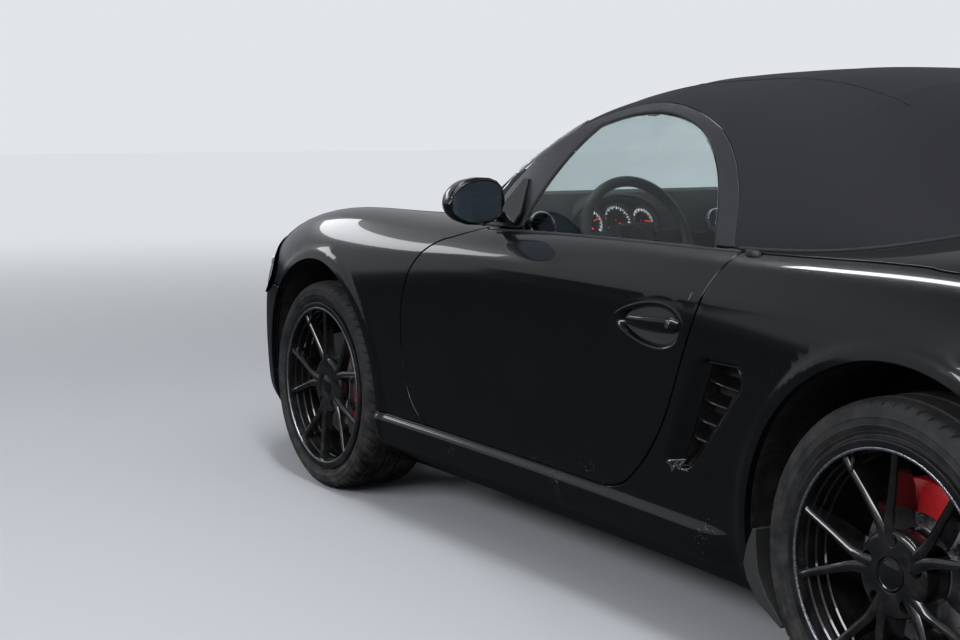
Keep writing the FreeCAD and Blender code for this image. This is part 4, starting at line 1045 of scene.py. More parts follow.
@dataclass
class BodyShell:
    """The painted panels, cut from one skin, and the structure behind them."""

    flare: float = 6.0
    flare_band: tuple[float, float] = (14.0, 48.0)
    sill_out: float = 17.0
    crease: float = 2.0
    crease_z: float = 795.0
    bowl: tuple[float, float, float, float, float] = (-373.0, 716.0, 119.0, 47.0, 25.0)
    bowl_taper: float = 0.3
    duct_depth: float = 52.0
    bowl_depth: float = 28.0
    pipe: tuple[float, float] = (262.0, 64.0)
    step: float = 17.0

    def relief(self, p: np.ndarray) -> np.ndarray:
        """Height of the skin's fine forms over the plain surface, in millimetres."""
        x, y, z = p.T
        side = smooth(np.abs(y), 560, 700)
        rise = np.zeros(len(p))
        for (ax, az), radius in ((FRONT_AXLE, FRONT_ARCH_R), (REAR_AXLE, REAR_ARCH_R)):
            away = np.hypot(x - ax, z - az) - radius
            rise += self.flare * (1 - smooth(away, *self.flare_band)) * side
        along = smooth(x, -720, -540) * smooth(x, 930, 870)
        rise += self.sill_out * smooth(z, 313, 293) * along * smooth(z, 170, 240)
        rise += (self.crease * np.exp(-((z - self.crease_z) / 11) ** 2)
                 * smooth(x, -1050, -700) * smooth(x, 640, 300) * smooth(np.abs(y), 820, 850))
        cx, cz, half_w, half_h, depth = self.bowl
        a = (x - cx) / half_w
        b = (z - cz) / (half_h * np.maximum(1 - self.bowl_taper * a, 0.3))
        ring = np.sqrt(a * a + b * b)
        door = smooth(np.abs(y), 700, 800)
        rise -= depth * smooth(ring, 1.0, 0.66) * door
        rise += 1.5 * np.exp(-((ring - 1.05) / 0.035) ** 2) * door
        rise -= self.duct(x, z) * door
        return rise

    def duct(self, x: np.ndarray, z: np.ndarray) -> np.ndarray:
        """How deep the side intake's scoop lies at points of the side view."""
        inside = INTAKE.holds(x, z)
        found = np.zeros(len(x))
        if inside.any():
            points = np.stack([x[inside], z[inside]], 1)
            line = INTAKE.points(5.0)
            at_front = np.abs(self.front_edge(line)) < 2.0
            to_rest = self.distance(points, line[~at_front])
            to_front = np.maximum(self.front_edge(points), 0.0)
            found[inside] = (self.bowl_depth * smooth(to_rest, 0.0, 16.0)
                             * smooth(to_front, 0.0, 54.0))
        return found

    @staticmethod
    def front_edge(points: np.ndarray) -> np.ndarray:
        """How far points lie behind the intake's front edge."""
        a, b = np.array(INTAKE_FRONT)
        way = (b - a) / np.linalg.norm(b - a)
        off = points - a
        return way[0] * off[:, 1] - way[1] * off[:, 0]

    @staticmethod
    def distance(points: np.ndarray, line: np.ndarray) -> np.ndarray:
        """The distance of each point from the nearest point of a line."""
        tree = KDTree(len(line))
        for index, point in enumerate(line):
            tree.insert((*point, 0), index)
        tree.balance()
        return np.array([tree.find((*point, 0))[2] for point in points])

    def build(self) -> None:
        """Makes every panel and the structure behind it."""
        self.skin = Skin(map(body_poles, BODY), self.relief, True)
        self.work = Patchwork(self.skin, self.lines(), self.step)
        self.labels = self.label(self.work.centres())
        paint = BLACK_PAINT.material()
        for panel, name, body, node in (
                (Panel.FRONT_BUMPER, "front_bumper_skin", "body", "front_bumper"),
                (Panel.BONNET, "bonnet_skin", "bonnet", "bonnet"),
                (Panel.BOOT, "boot_lid_skin", "boot_lid", "boot_lid"),
                (Panel.REAR_BUMPER, "rear_bumper_skin", "body", "rear_bumper"),
                (Panel.DECK, "rear_deck_skin", "body", "rear_deck")):
            piece = self.cut(panel).hem(Hem()).whole().piece(name, paint)
            dress(body, "paint", piece)
            self.core(node, node + "_frame", body, "paint")
        cowl = self.cut(Panel.COWL).hem(Hem()).whole()
        dress("body", "black_plastic", cowl.piece("cowl_cover", BLACK_PLASTIC.material()))
        self.core("cowl", "cowl_frame", "body", "black_plastic")
        self.pair(Panel.FENDER, "front_fender", "body", "body")
        self.pair(Panel.QUARTER, "rear_quarter", "body", "body")
        self.pair(Panel.DOOR, "door", "door_left", "door_right")
        for node in ("front_fenders", "sills", "rear_quarters"):
            self.core(node, node + "_frame", "body", "paint")
        for side in ("left", "right"):
            self.core("door_" + side, f"door_{side}_frame", "door_" + side, "dash")

    def pair(self, panel: Panel, name: str, left: str, right: str,
             hem: Hem = Hem()) -> None:
        """Makes a panel of the left side and its mirror image.

        Args:
            panel: The panel.
            name: Its name, without its side.
            left: The body that the left one rides on.
            right: The body that the right one rides on.
            hem: How its edge is turned in.
        """
        for side, body in (("left", left), ("right", right)):
            chosen = {panel}
            if panel is Panel.FENDER and side == "left":
                chosen.add(Panel.FUEL_FLAP)
            if panel is Panel.QUARTER:
                chosen.add(Panel.SILL)
            made = self.cut(*chosen).hem(hem)
            if side == "right":
                made = made.mirrored()
            dress(body, "paint", made.piece(f"{name}_{side}_skin", BLACK_PAINT.material()))
        if panel is Panel.FENDER:
            flap = self.cut(Panel.FUEL_FLAP).hem(Hem(1.2, 1.2)).mirrored()
            dress("body", "paint", flap.piece("fuel_flap", BLACK_PAINT.material()))

    def cut(self, *panels: Panel) -> Surface:
        """The triangles of one or more panels."""
        values = [panel.value for panel in panels]
        return Surface.cut(self.work, np.isin(self.labels, values))

    def lines(self) -> list[np.ndarray]:
        """The lines that the skin is cut along, as (s, t)."""
        skin = self.skin
        found = [self.closed(skin.side_line(shape.points(step)))
                 for shape, step in ((VENT, 5.0), (FUEL_FLAP, 9.0))]
        rim = INTAKE.points(6.0)
        apart = self.distance(rim, VENT.points(2.0)) > 3.5
        found += self.runs(skin.side_line(rim), apart)
        ahead = np.roll(rim, -1, 0) - np.roll(rim, 1, 0)
        inward = unit_rows(np.stack([-ahead[:, 1], ahead[:, 0]], 1))
        for inset in (5.0, 10.0, 16.0):
            ring = rim + inward * inset
            kept = self.distance(ring, INTAKE.points(1.0)) > inset - 0.4
            kept &= ~VENT.holds(*ring.T)
            kept &= self.distance(ring, VENT.points(2.0)) > 3.5
            found += self.runs(skin.side_line(ring), kept)
        a, b = np.array(INTAKE_FRONT)
        way = (b - a) / np.linalg.norm(b - a)
        back = np.array([-way[1], way[0]])
        for away in np.arange(7.0, 60.0, 7.0):
            row = a + way * np.arange(-60.0, 320.0, 7.0)[:, None] + back * away
            kept = INTAKE.holds(*row.T) & ~VENT.holds(*row.T)
            kept &= self.distance(row, INTAKE.points(2.0)) > 18.0
            kept &= self.distance(row, VENT.points(2.0)) > 3.5
            if kept.sum() > 2:
                found += self.runs(skin.side_line(row), kept)
        cx, cz, half_w, half_h, _ = self.bowl
        angle = round_angles(72)
        for share in (0.64, 0.74, 0.84, 0.92, 1.0, 1.05, 1.1, 1.15, 1.22, 1.32):
            a = share * np.cos(angle)
            ring = np.stack([cx + half_w * a, cz + half_h * (1 - self.bowl_taper * a)
                             * share * np.sin(angle)], 1)
            found.append(self.closed(skin.side_line(ring)))
        side = DOOR.points()
        side = side[(side[:, 1] < 887.5) | (side[:, 0] < 0)]
        side = side[side[:, 1] < 901]
        found.append(skin.side_line(side))
        low_y, high_y = BELT_Y, 812.0
        for x, z in ((382.0, 887.0), (-596.0, 900.0)):
            across = np.stack([np.full(9, x), np.linspace(low_y, high_y + 6, 9)], 1)
            last = skin.side_line(np.array([[x, z]]))
            found.append(np.concatenate([skin.top_line(across), last]))
        slot_y = (HINGE_Y - SLOT_HALF_W, HINGE_Y + SLOT_HALF_W)
        slot = [(SLOT_X[0], slot_y[0]), (SLOT_X[0], slot_y[1]), (SLOT_X[1], slot_y[1]),
                (SLOT_X[1], slot_y[0])]
        found.append(self.closed(skin.top_line(Outline(*slot).points(12.0))))
        belt = np.stack([np.linspace(382, -596, 100), np.full(100, BELT_Y)], 1)
        found.append(skin.top_line(belt))
        for (ax, az), radius in ((FRONT_AXLE, FRONT_ARCH_R), (REAR_AXLE, REAR_ARCH_R)):
            low = math.asin((az - UNDERSIDE_Z) / radius)
            angle = np.linspace(-low, math.pi + low, 170)
            rim = np.stack([ax + radius * np.cos(angle), az + radius * np.sin(angle)], 1)
            for grow in (1.0, 1.035, 1.08):
                ring = (rim - (ax, az)) * grow + (ax, az)
                found.append(skin.side_line(ring[ring[:, 1] > UNDERSIDE_Z]))
        for z, x0, x1 in ((SILL_TOP_Z, *SILL_SPAN), (304.0, *SILL_SPAN), (296.0, *SILL_SPAN),
                          (BUMPER_TOP_Z, 1552, 2060), (TAIL_TOP_Z, -2110, -1395)):
            row = np.stack([np.linspace(x0, x1, 150), np.full(150, z)], 1)
            found.append(skin.side_line(row))
        for shape in (BONNET, BOOT, DECK_PLAN):
            plan = shape.points()
            found += self.runs(skin.top_line(np.abs(plan)*[0, 1] + plan*[1, 0]),
                               plan[:, 1] >= -1e-6)
        seam = np.linspace(*NOSE_SEAM, 24)
        found.append(skin.top_line(seam))
        end = (TAIL_SPLIT_X - 4, BOOT_CORNER[1])
        found.append(skin.top_line(np.linspace(BOOT_CORNER, end, 12)))
        ring = np.linspace(0, skin.mid_t, 130)
        place = skin.s_at(np.full(130, TAIL_SPLIT_X))
        found.append(np.stack([place, ring], 1))
        for front, shapes in ((True, (HEADLAMP, CENTRE_GRILLE, SIDE_GRILLE)),
                              (False, (TAIL_LAMP,))):
            for shape in shapes:
                found.append(self.closed(skin.end_line(shape.points(8.0), front)))
        angle = np.linspace(-0.5, 0.5, 40) * math.pi
        ring = np.stack([np.cos(angle), np.sin(angle)], 1) * self.pipe[1]
        found.append(skin.end_line(ring + (0, self.pipe[0]), False))
        return found

    @staticmethod
    def closed(line: np.ndarray) -> np.ndarray:
        """The line with its first point repeated at its end."""
        return np.concatenate([line, line[:1]])

    @staticmethod
    def runs(line: np.ndarray, kept: np.ndarray) -> list[np.ndarray]:
        """The stretches of a closed line whose points are kept."""
        start = int(np.argmin(kept))
        line, kept = np.roll(line, -start, 0), np.roll(kept, -start)
        found, last = [], []
        for point, keep in zip(line, kept):
            if keep:
                last.append(point)
            elif last:
                found.append(np.array(last))
                last = []
        return found + ([np.array(last)] if last else [])

    def label(self, p: np.ndarray) -> np.ndarray:
        """The panel of each point of the plain skin, as the panel's value."""
        x, y, z = p.T
        found = np.full(len(p), Panel.OPEN.value)
        split = (x - NOSE_SEAM[0][0]) / (NOSE_SEAM[1][0] - NOSE_SEAM[0][0])
        seam_y = NOSE_SEAM[0][1] + split * (NOSE_SEAM[1][1] - NOSE_SEAM[0][1])
        nose = ((z < BUMPER_TOP_Z) & (x > FRONT_AXLE[0])) | ((split > 0) & (y < seam_y))
        nose |= x > NOSE_SPLIT_X
        tail = ((z < TAIL_TOP_Z) & (x < REAR_AXLE[0])) | (x < TAIL_SPLIT_X)
        tail |= (x < BOOT_CORNER[0]) & (y < BOOT_CORNER[1])
        front = (x > 600) & ((y > 640) | (x > 760))
        quarter = (x < -600) | ((x < 0) & ~DOOR.holds(x, z))
        rules = (
            (Panel.FENDER, (x > 0) & (y > 715)),
            (Panel.FENDER, front),
            (Panel.COWL, (x > 600) & (x < 960) & (y < 640)),
            (Panel.QUARTER, quarter & (y > 715)),
            (Panel.QUARTER, x < -1350),
            (Panel.FRONT_BUMPER, nose),
            (Panel.REAR_BUMPER, tail),
            (Panel.DECK, DECK_PLAN.holds(x, y)),
            (Panel.SILL, (z < SILL_TOP_Z) & (x > SILL_SPAN[0]) & (x < SILL_SPAN[1])),
            (Panel.FUEL_FLAP, FUEL_FLAP.holds(x, z) & (y > 700)),
            (Panel.DOOR, DOOR.holds(x, z) & (y > BELT_Y)),
            (Panel.OPEN, (x > -596) & (x < 382) & (y < BELT_Y) & (z > 700)),
            (Panel.OPEN, (np.abs(y - HINGE_Y) < SLOT_HALF_W) & (x > SLOT_X[0])
             & (x < SLOT_X[1]) & (z > 600)),
            (Panel.OPEN, VENT.holds(x, z) & (y > 700)),
            (Panel.BONNET, BONNET.holds(x, y) & (z > 500)),
            (Panel.BOOT, BOOT.holds(x, y) & (z > 500)),
            (Panel.HEADLAMP, HEADLAMP.holds(y, z) & (x > 1600)),
            (Panel.TAIL_LAMP, TAIL_LAMP.holds(y, z) & (x < -1600)),
            (Panel.OPEN, CENTRE_GRILLE.holds(y, z) & (x > 1800)),
            (Panel.OPEN, SIDE_GRILLE.holds(y, z) & (x > 1800)),
            (Panel.OPEN, (np.hypot(y, z - self.pipe[0]) < self.pipe[1]) & (x < -1800)),
            (Panel.OPEN, (np.hypot(x - FRONT_AXLE[0], z - FRONT_AXLE[1]) < FRONT_ARCH_R)
             & (y > 440)),
            (Panel.OPEN, (np.hypot(x - REAR_AXLE[0], z - REAR_AXLE[1]) < REAR_ARCH_R)
             & (y > 440)),
        )
        for panel, where in rules:
            found[where] = panel.value
        return found

    def nearest(self) -> KDTree:
        """A search tree over points of the plain skin, built once."""
        if not hasattr(self, "tree"):
            self.samples = self.skin.sections(self.skin.s_fine[::2])[:, ::2]
            shape = self.samples.shape[:2]
            s, t = np.meshgrid(self.skin.s_fine[::2], self.skin.t_fine[::2], indexing="ij")
            self.slopes = self.skin.tilt(s.ravel(), t.ravel(), self.skin.plain)
            self.samples = self.samples.reshape(-1, 3)
            self.tree = KDTree(shape[0] * shape[1])
            for index, point in enumerate(self.samples):
                self.tree.insert(point, index)
            self.tree.balance()
        return self.tree

    def core(self, node: str, name: str, body: str, slot: str,
             depth: float = 12.0) -> bpy.types.Object:
        """A copy of a solid whose outer side is set back behind the panels.

        Args:
            node: The solid.
            name: The copy's name.
            body: What it rides on.
            slot: Its slot in the record.
            depth: How far its outer side goes back.

        Returns:
            The new piece, which replaces the solid.
        """
        tree = self.nearest()
        mesh = frame["nodes"][node].data.copy()
        mesh.materials.clear()
        work = bmesh.new()
        work.from_mesh(mesh)
        bmesh.ops.remove_doubles(work, verts=work.verts, dist=2e-5)
        for vertex in work.verts:
            point = np.array(vertex.co) / MM
            flip = -1.0 if point[1] < 0 else 1.0
            point[1] = abs(point[1])
            _, index, away = tree.find(point)
            slope = self.slopes[index]
            off = abs((point - self.samples[index]) @ slope)
            if away < 26 and off < 1.5 + away * away / 400:
                vertex.co -= Vector((slope[0], slope[1] * flip, slope[2])) * depth * MM
        work.to_mesh(mesh)
        work.free()
        mesh.shade_flat()
        finish = LINER if slot != "dash" else BLACK_PLASTIC
        mesh.materials.append(finish.material())
        made = bpy.data.objects.new(name, mesh)
        bpy.context.scene.collection.objects.link(made)
        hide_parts(node)
        dress(body, slot, made)
        return made


class Maker:
    """Makes plain bodies out of points, rings and solids. Lengths are in millimetres."""

    @staticmethod
    def mesh(name: str, points: Sequence, faces: Sequence, finish: Finish,
             angle: float = 32.0) -> bpy.types.Object:
        """Makes an object of points and faces whose normals point outwards.

        Args:
            name: Its name.
            points: Its points.
            faces: Its faces, as indices of points.
            finish: What it is made of.
            angle: Edges that turn more than this, in degrees, stay sharp.

        Returns:
            The new object, at the origin.
        """
        mesh = bpy.data.meshes.new(name)
        mesh.from_pydata((np.asarray(points, float) * MM).tolist(), [],
                         [tuple(int(i) for i in face) for face in faces])
        work = bmesh.new()
        work.from_mesh(mesh)
        bmesh.ops.remove_doubles(work, verts=work.verts, dist=2e-6)
        bmesh.ops.recalc_face_normals(work, faces=work.faces)
        work.to_mesh(mesh)
        work.free()
        mesh.shade_smooth()
        mesh.set_sharp_from_angle(angle=math.radians(angle))
        mesh.materials.append(finish.material())
        made = bpy.data.objects.new(name, mesh)
        bpy.context.scene.collection.objects.link(made)
        return made

    @classmethod
    def loft(cls, name: str, rings: np.ndarray, finish: Finish, closed: bool = False,
             caps: bool = True, angle: float = 32.0) -> bpy.types.Object:
        """A skin through rings with the same number of points.

        Args:
            name: Its name.
            rings: The rings in order, as an array of points.
            finish: What it is made of.
            closed: True where the last ring joins the first.
            caps: True where the end rings are filled.
            angle: Edges that turn more than this, in degrees, stay sharp.

        Returns:
            The new object.
        """
        rows, count = rings.shape[:2]
        faces = []
        for row in range(rows if closed else rows - 1):
            here, there = row * count, (row + 1) % rows * count
            for i in range(count):
                j = (i + 1) % count
                faces.append((here + i, here + j, there + j, there + i))
        if caps and not closed:
            faces.append(tuple(range(count))[::-1])
            faces.append(tuple(range((rows - 1) * count, rows * count)))
        return cls.mesh(name, rings.reshape(-1, 3), faces, finish, angle)

    @classmethod
    def tube(cls, name: str, line: np.ndarray, radius: object, finish: Finish,
             cyclic: bool = False, sides: int = 10) -> bpy.types.Object:
        """A round rod along a line.

        Args:
            name: Its name.
            line: The points of its middle.
            radius: Its radius, or one for each point.
            finish: What it is made of.
            cyclic: True where the line closes.
            sides: How many sides its section has.

        Returns:
            The new object.
        """
        line = np.asarray(line, float)
        ahead = np.roll(line, -1, 0) - np.roll(line, 1, 0)
        if not cyclic:
            ahead[0], ahead[-1] = line[1] - line[0], line[-1] - line[-2]
        ahead = unit_rows(ahead)
        side = np.cross(ahead[0], (0.31, 0.47, 0.83))
        rings = []
        radii = np.broadcast_to(np.asarray(radius, float), len(line))
        angle = round_angles(sides)
        for point, way, size in zip(line, ahead, radii):
            side = side - way * (side @ way)
            side = side / np.linalg.norm(side)
            over = np.cross(way, side)
            rings.append(point + size * (np.cos(angle)[:, None] * side
                                         + np.sin(angle)[:, None] * over))
        return cls.loft(name, np.array(rings), finish, cyclic, True, 60.0)

    @classmethod
    def turned(cls, name: str, profile: Sequence[Pair], centre: Triple, finish: Finish,
               steps: int = 96, angle: float = 32.0) -> bpy.types.Object:
        """A body of revolution about a line along Y.

        Args:
            name: Its name.
            profile: The closed section, as radius and offset along Y.
            centre: The point that the offsets and radii are measured from.
            finish: What it is made of.
            steps: How many sides it has.
            angle: Edges that turn more than this, in degrees, stay sharp.

        Returns:
            The new object.
        """
        rows = np.array(profile, float)
        turn = round_angles(steps)
        rings = np.stack([
            centre[0] + np.cos(turn)[:, None] * rows[:, 0],
            np.broadcast_to(centre[1] + rows[:, 1], (steps, len(rows))),
            centre[2] + np.sin(turn)[:, None] * rows[:, 0]], 2)
        return cls.loft(name, rings, finish, closed=True, angle=angle)

    @classmethod
    def plate(cls, name: str, loops: Sequence[np.ndarray], low: float, high: float,
              place: Callable[[np.ndarray, float], np.ndarray], finish: Finish,
              angle: float = 32.0) -> bpy.types.Object:
        """A flat plate with holes.

        Args:
            name: Its name.
            loops: The outer line and then the lines of the holes.
            low: The height of its one side.
            high: The height of the other.
            place: Turns rows of (a, b) and a height into points.
            finish: What it is made of.
            angle: Edges that turn more than this, in degrees, stay sharp.

        Returns:
            The new object.
        """
        flat = [Vector(point) for loop in loops for point in loop]
        edges, first = [], 0
        for loop in loops:
            count = len(loop)
            edges += [(first + i, first + (i + 1) % count) for i in range(count)]
            first += count
        made = delaunay_2d_cdt(flat, edges, [], 0, 1e-7)
        points = np.array([tuple(point) for point in made[0]])
        corners = np.array([tuple(face) for face in made[2]])
        middle = points[corners].mean(1)
        kept = cls.inside(loops[0], middle)
        for hole in loops[1:]:
            kept &= ~cls.inside(hole, middle)
        corners = corners[kept]
        edges_used = {(a, b) for face in corners.tolist()
                      for a, b in zip(face, face[1:] + face[:1])}
        count = len(points)
        faces = [tuple(face) for face in corners.tolist()]
        faces += [tuple(count + i for i in face[::-1]) for face in corners.tolist()]
        faces += [(a, a + count, b + count, b) for a, b in sorted(edges_used)
                  if (b, a) not in edges_used]
        both = np.concatenate([place(points, low), place(points, high)])
        return cls.mesh(name, both, faces, finish, angle)

    @staticmethod
    def inside(loop: np.ndarray, points: np.ndarray) -> np.ndarray:
        """Which points lie inside a closed line."""
        found = np.zeros(len(points), bool)
        for (x0, y0), (x1, y1) in zip(loop, np.roll(loop, -1, 0)):
            if y0 != y1:
                crosses = (y0 > points[:, 1]) != (y1 > points[:, 1])
                found ^= crosses & (points[:, 0]
                                    < (x1 - x0) * (points[:, 1] - y0) / (y1 - y0) + x0)
        return found

    @classmethod
    def block(cls, name: str, low: Triple, high: Triple, finish: Finish,
              bevel: float = 2.0, segments: int = 3) -> bpy.types.Object:
        """A box with rounded edges.

        Args:
            name: Its name.
            low: Its lowest corner.
            high: Its highest corner.
            finish: What it is made of.
            bevel: The radius of its edges.
            segments: How finely they are rounded.

        Returns:
            The new object.
        """
        bpy.ops.object.select_all(action="DESELECT")
        middle = [(a + b) / 2 * MM for a, b in zip(low, high)]
        bpy.ops.mesh.primitive_cube_add(size=1.0, location=middle)
        made = bpy.context.object
        made.scale = [(b - a) * MM for a, b in zip(low, high)]
        return cls.settle(made, name, finish, bevel, segments)

    @classmethod
    def rod(cls, name: str, start: Triple, end: Triple, radius: float, finish: Finish,
            bevel: float = 0.0, sides: int = 32, tip: float | None = None,
            ) -> bpy.types.Object:
        """A round bar, or a cone where the tip's radius differs.

        Args:
            name: Its name.
            start: The middle of its one end.
            end: The middle of the other.
            radius: Its radius at the start.
            finish: What it is made of.
            bevel: The radius of its edges.
            sides: How many sides it has.
            tip: Its radius at the end, where that differs.

        Returns:
            The new object.
        """
        bpy.ops.object.select_all(action="DESELECT")
        a, b = Vector(start) * MM, Vector(end) * MM
        turn = (b - a).to_track_quat("Z", "Y").to_euler()
        bpy.ops.mesh.primitive_cone_add(
            vertices=sides, radius1=radius * MM, radius2=(tip or radius) * MM,
            depth=(b - a).length, location=(a + b) / 2, rotation=turn)
        return cls.settle(bpy.context.object, name, finish, bevel, 2)

    @classmethod
    def settle(cls, made: bpy.types.Object, name: str, finish: Finish, bevel: float,
               segments: int) -> bpy.types.Object:
        """Applies an object's place, rounds its edges and gives it its material."""
        bpy.ops.object.transform_apply(location=True, rotation=True, scale=True)
        made.name = name
        made.data.name = name
        if bevel > 0:
            cls.bevelled(made, bevel, segments)
        made.data.shade_smooth()
        made.data.set_sharp_from_angle(angle=math.radians(32))
        made.data.materials.clear()
        made.data.materials.append(finish.material())
        return made

    @staticmethod
    def bevelled(made: bpy.types.Object, width: float, segments: int = 2,
                 angle: float = 30.0) -> None:
        """Rounds an object's edges with a Bevel modifier and applies it."""
        bevel = made.modifiers.new("bevel", "BEVEL")
        bevel.width = width * MM
        bevel.segments = segments
        bevel.limit_method = "ANGLE"
        bevel.angle_limit = math.radians(angle)
        bevel.harden_normals = False
        bpy.context.view_layer.objects.active = made
        made.select_set(True)
        bpy.ops.object.modifier_apply(modifier=bevel.name)
        made.select_set(False)

    @staticmethod
    def drilled(made: bpy.types.Object, tools: Sequence[bpy.types.Object]) -> None:
        """Takes the tools' room out of an object and removes the tools."""
        for tool in tools:
            cut = made.modifiers.new("cut", "BOOLEAN")
            cut.operation = "DIFFERENCE"
            cut.solver = "EXACT"
            cut.object = tool
            bpy.context.view_layer.objects.active = made
            made.select_set(True)
            bpy.ops.object.modifier_apply(modifier=cut.name)
            made.select_set(False)
            bpy.data.objects.remove(tool, do_unlink=True)
        made.data.set_sharp_from_angle(angle=math.radians(32))

    @classmethod
    def copy(cls, node: str, name: str, finish: Finish, bevel: float = 0.0,
             ) -> bpy.types.Object:
        """A copy of a solid with its loose triangles merged, which replaces it.

        Args:
            node: The solid.
            name: The copy's name.
            finish: What it is made of.
            bevel: The radius of its edges.

        Returns:
            The new object.
        """
        mesh = frame["nodes"][node].data.copy()
        mesh.materials.clear()
        work = bmesh.new()
        work.from_mesh(mesh)
        bmesh.ops.remove_doubles(work, verts=work.verts, dist=2e-5)
        bmesh.ops.dissolve_limit(work, angle_limit=math.radians(0.6), verts=work.verts,
                                 edges=work.edges)
        work.to_mesh(mesh)
        work.free()
        made = bpy.data.objects.new(name, mesh)
        bpy.context.scene.collection.objects.link(made)
        if bevel > 0:
            cls.bevelled(made, bevel, 2, 40.0)
        made.data.shade_smooth()
        made.data.set_sharp_from_angle(angle=math.radians(30))
        made.data.materials.append(finish.material())
        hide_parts(node)
        return made

    @staticmethod
    def joined(name: str, *pieces: bpy.types.Object) -> bpy.types.Object:
        """One object out of several that share a material."""
        bpy.ops.object.select_all(action="DESELECT")
        for piece in pieces:
            piece.select_set(True)
        bpy.context.view_layer.objects.active = pieces[0]
        if len(pieces) > 1:
            bpy.ops.object.join()
        made = bpy.context.object
        made.name = name
        made.data.name = name
        made.select_set(False)
        return made

    @staticmethod
    def mirrored(piece: bpy.types.Object, name: str) -> bpy.types.Object:
        """The same piece on the other side of the car."""
        mesh = piece.data.copy()
        mesh.name = name
        mesh.transform(Matrix.Diagonal((1, -1, 1, 1)))
        mesh.flip_normals()
        made = bpy.data.objects.new(name, mesh)
        bpy.context.scene.collection.objects.link(made)
        return made


RIM_PAINT = Finish("rim_paint", (0.0065, 0.0067, 0.0075), 0.16, coat=0.9, mottle=0.1,
                   rough_spread=0.06, dust=0.22, dust_top=0.75)
RING_SILVER = Finish("ring_silver", (0.62, 0.65, 0.7), 0.24, metallic=1.0, mottle=0.06)
BOLT_GREY = Finish("bolt_grey", (0.34, 0.33, 0.32), 0.42, metallic=0.9, mottle=0.2)
TYRE_RUBBER = Finish("tyre_rubber", (0.018, 0.0185, 0.0195), 0.68, mottle=0.3,
                     mottle_scale=11, bump=0.2, relief_scale=700, dust=0.4, dust_top=0.9,
                     specular=0.4)
DISC_IRON = Finish("disc_iron", (0.36, 0.36, 0.37), 0.34, metallic=1.0, mottle=0.14,
                   rough_spread=0.16)
CALIPER_RED = Finish("caliper_red", (0.5, 0.012, 0.016), 0.26, coat=0.7, mottle=0.12,
                     dust=0.25, dust_top=0.8)
CAST_IRON = Finish("cast_iron", (0.09, 0.09, 0.093), 0.6, metallic=0.6, bump=0.5,
                   dust=0.4, dust_top=0.8)


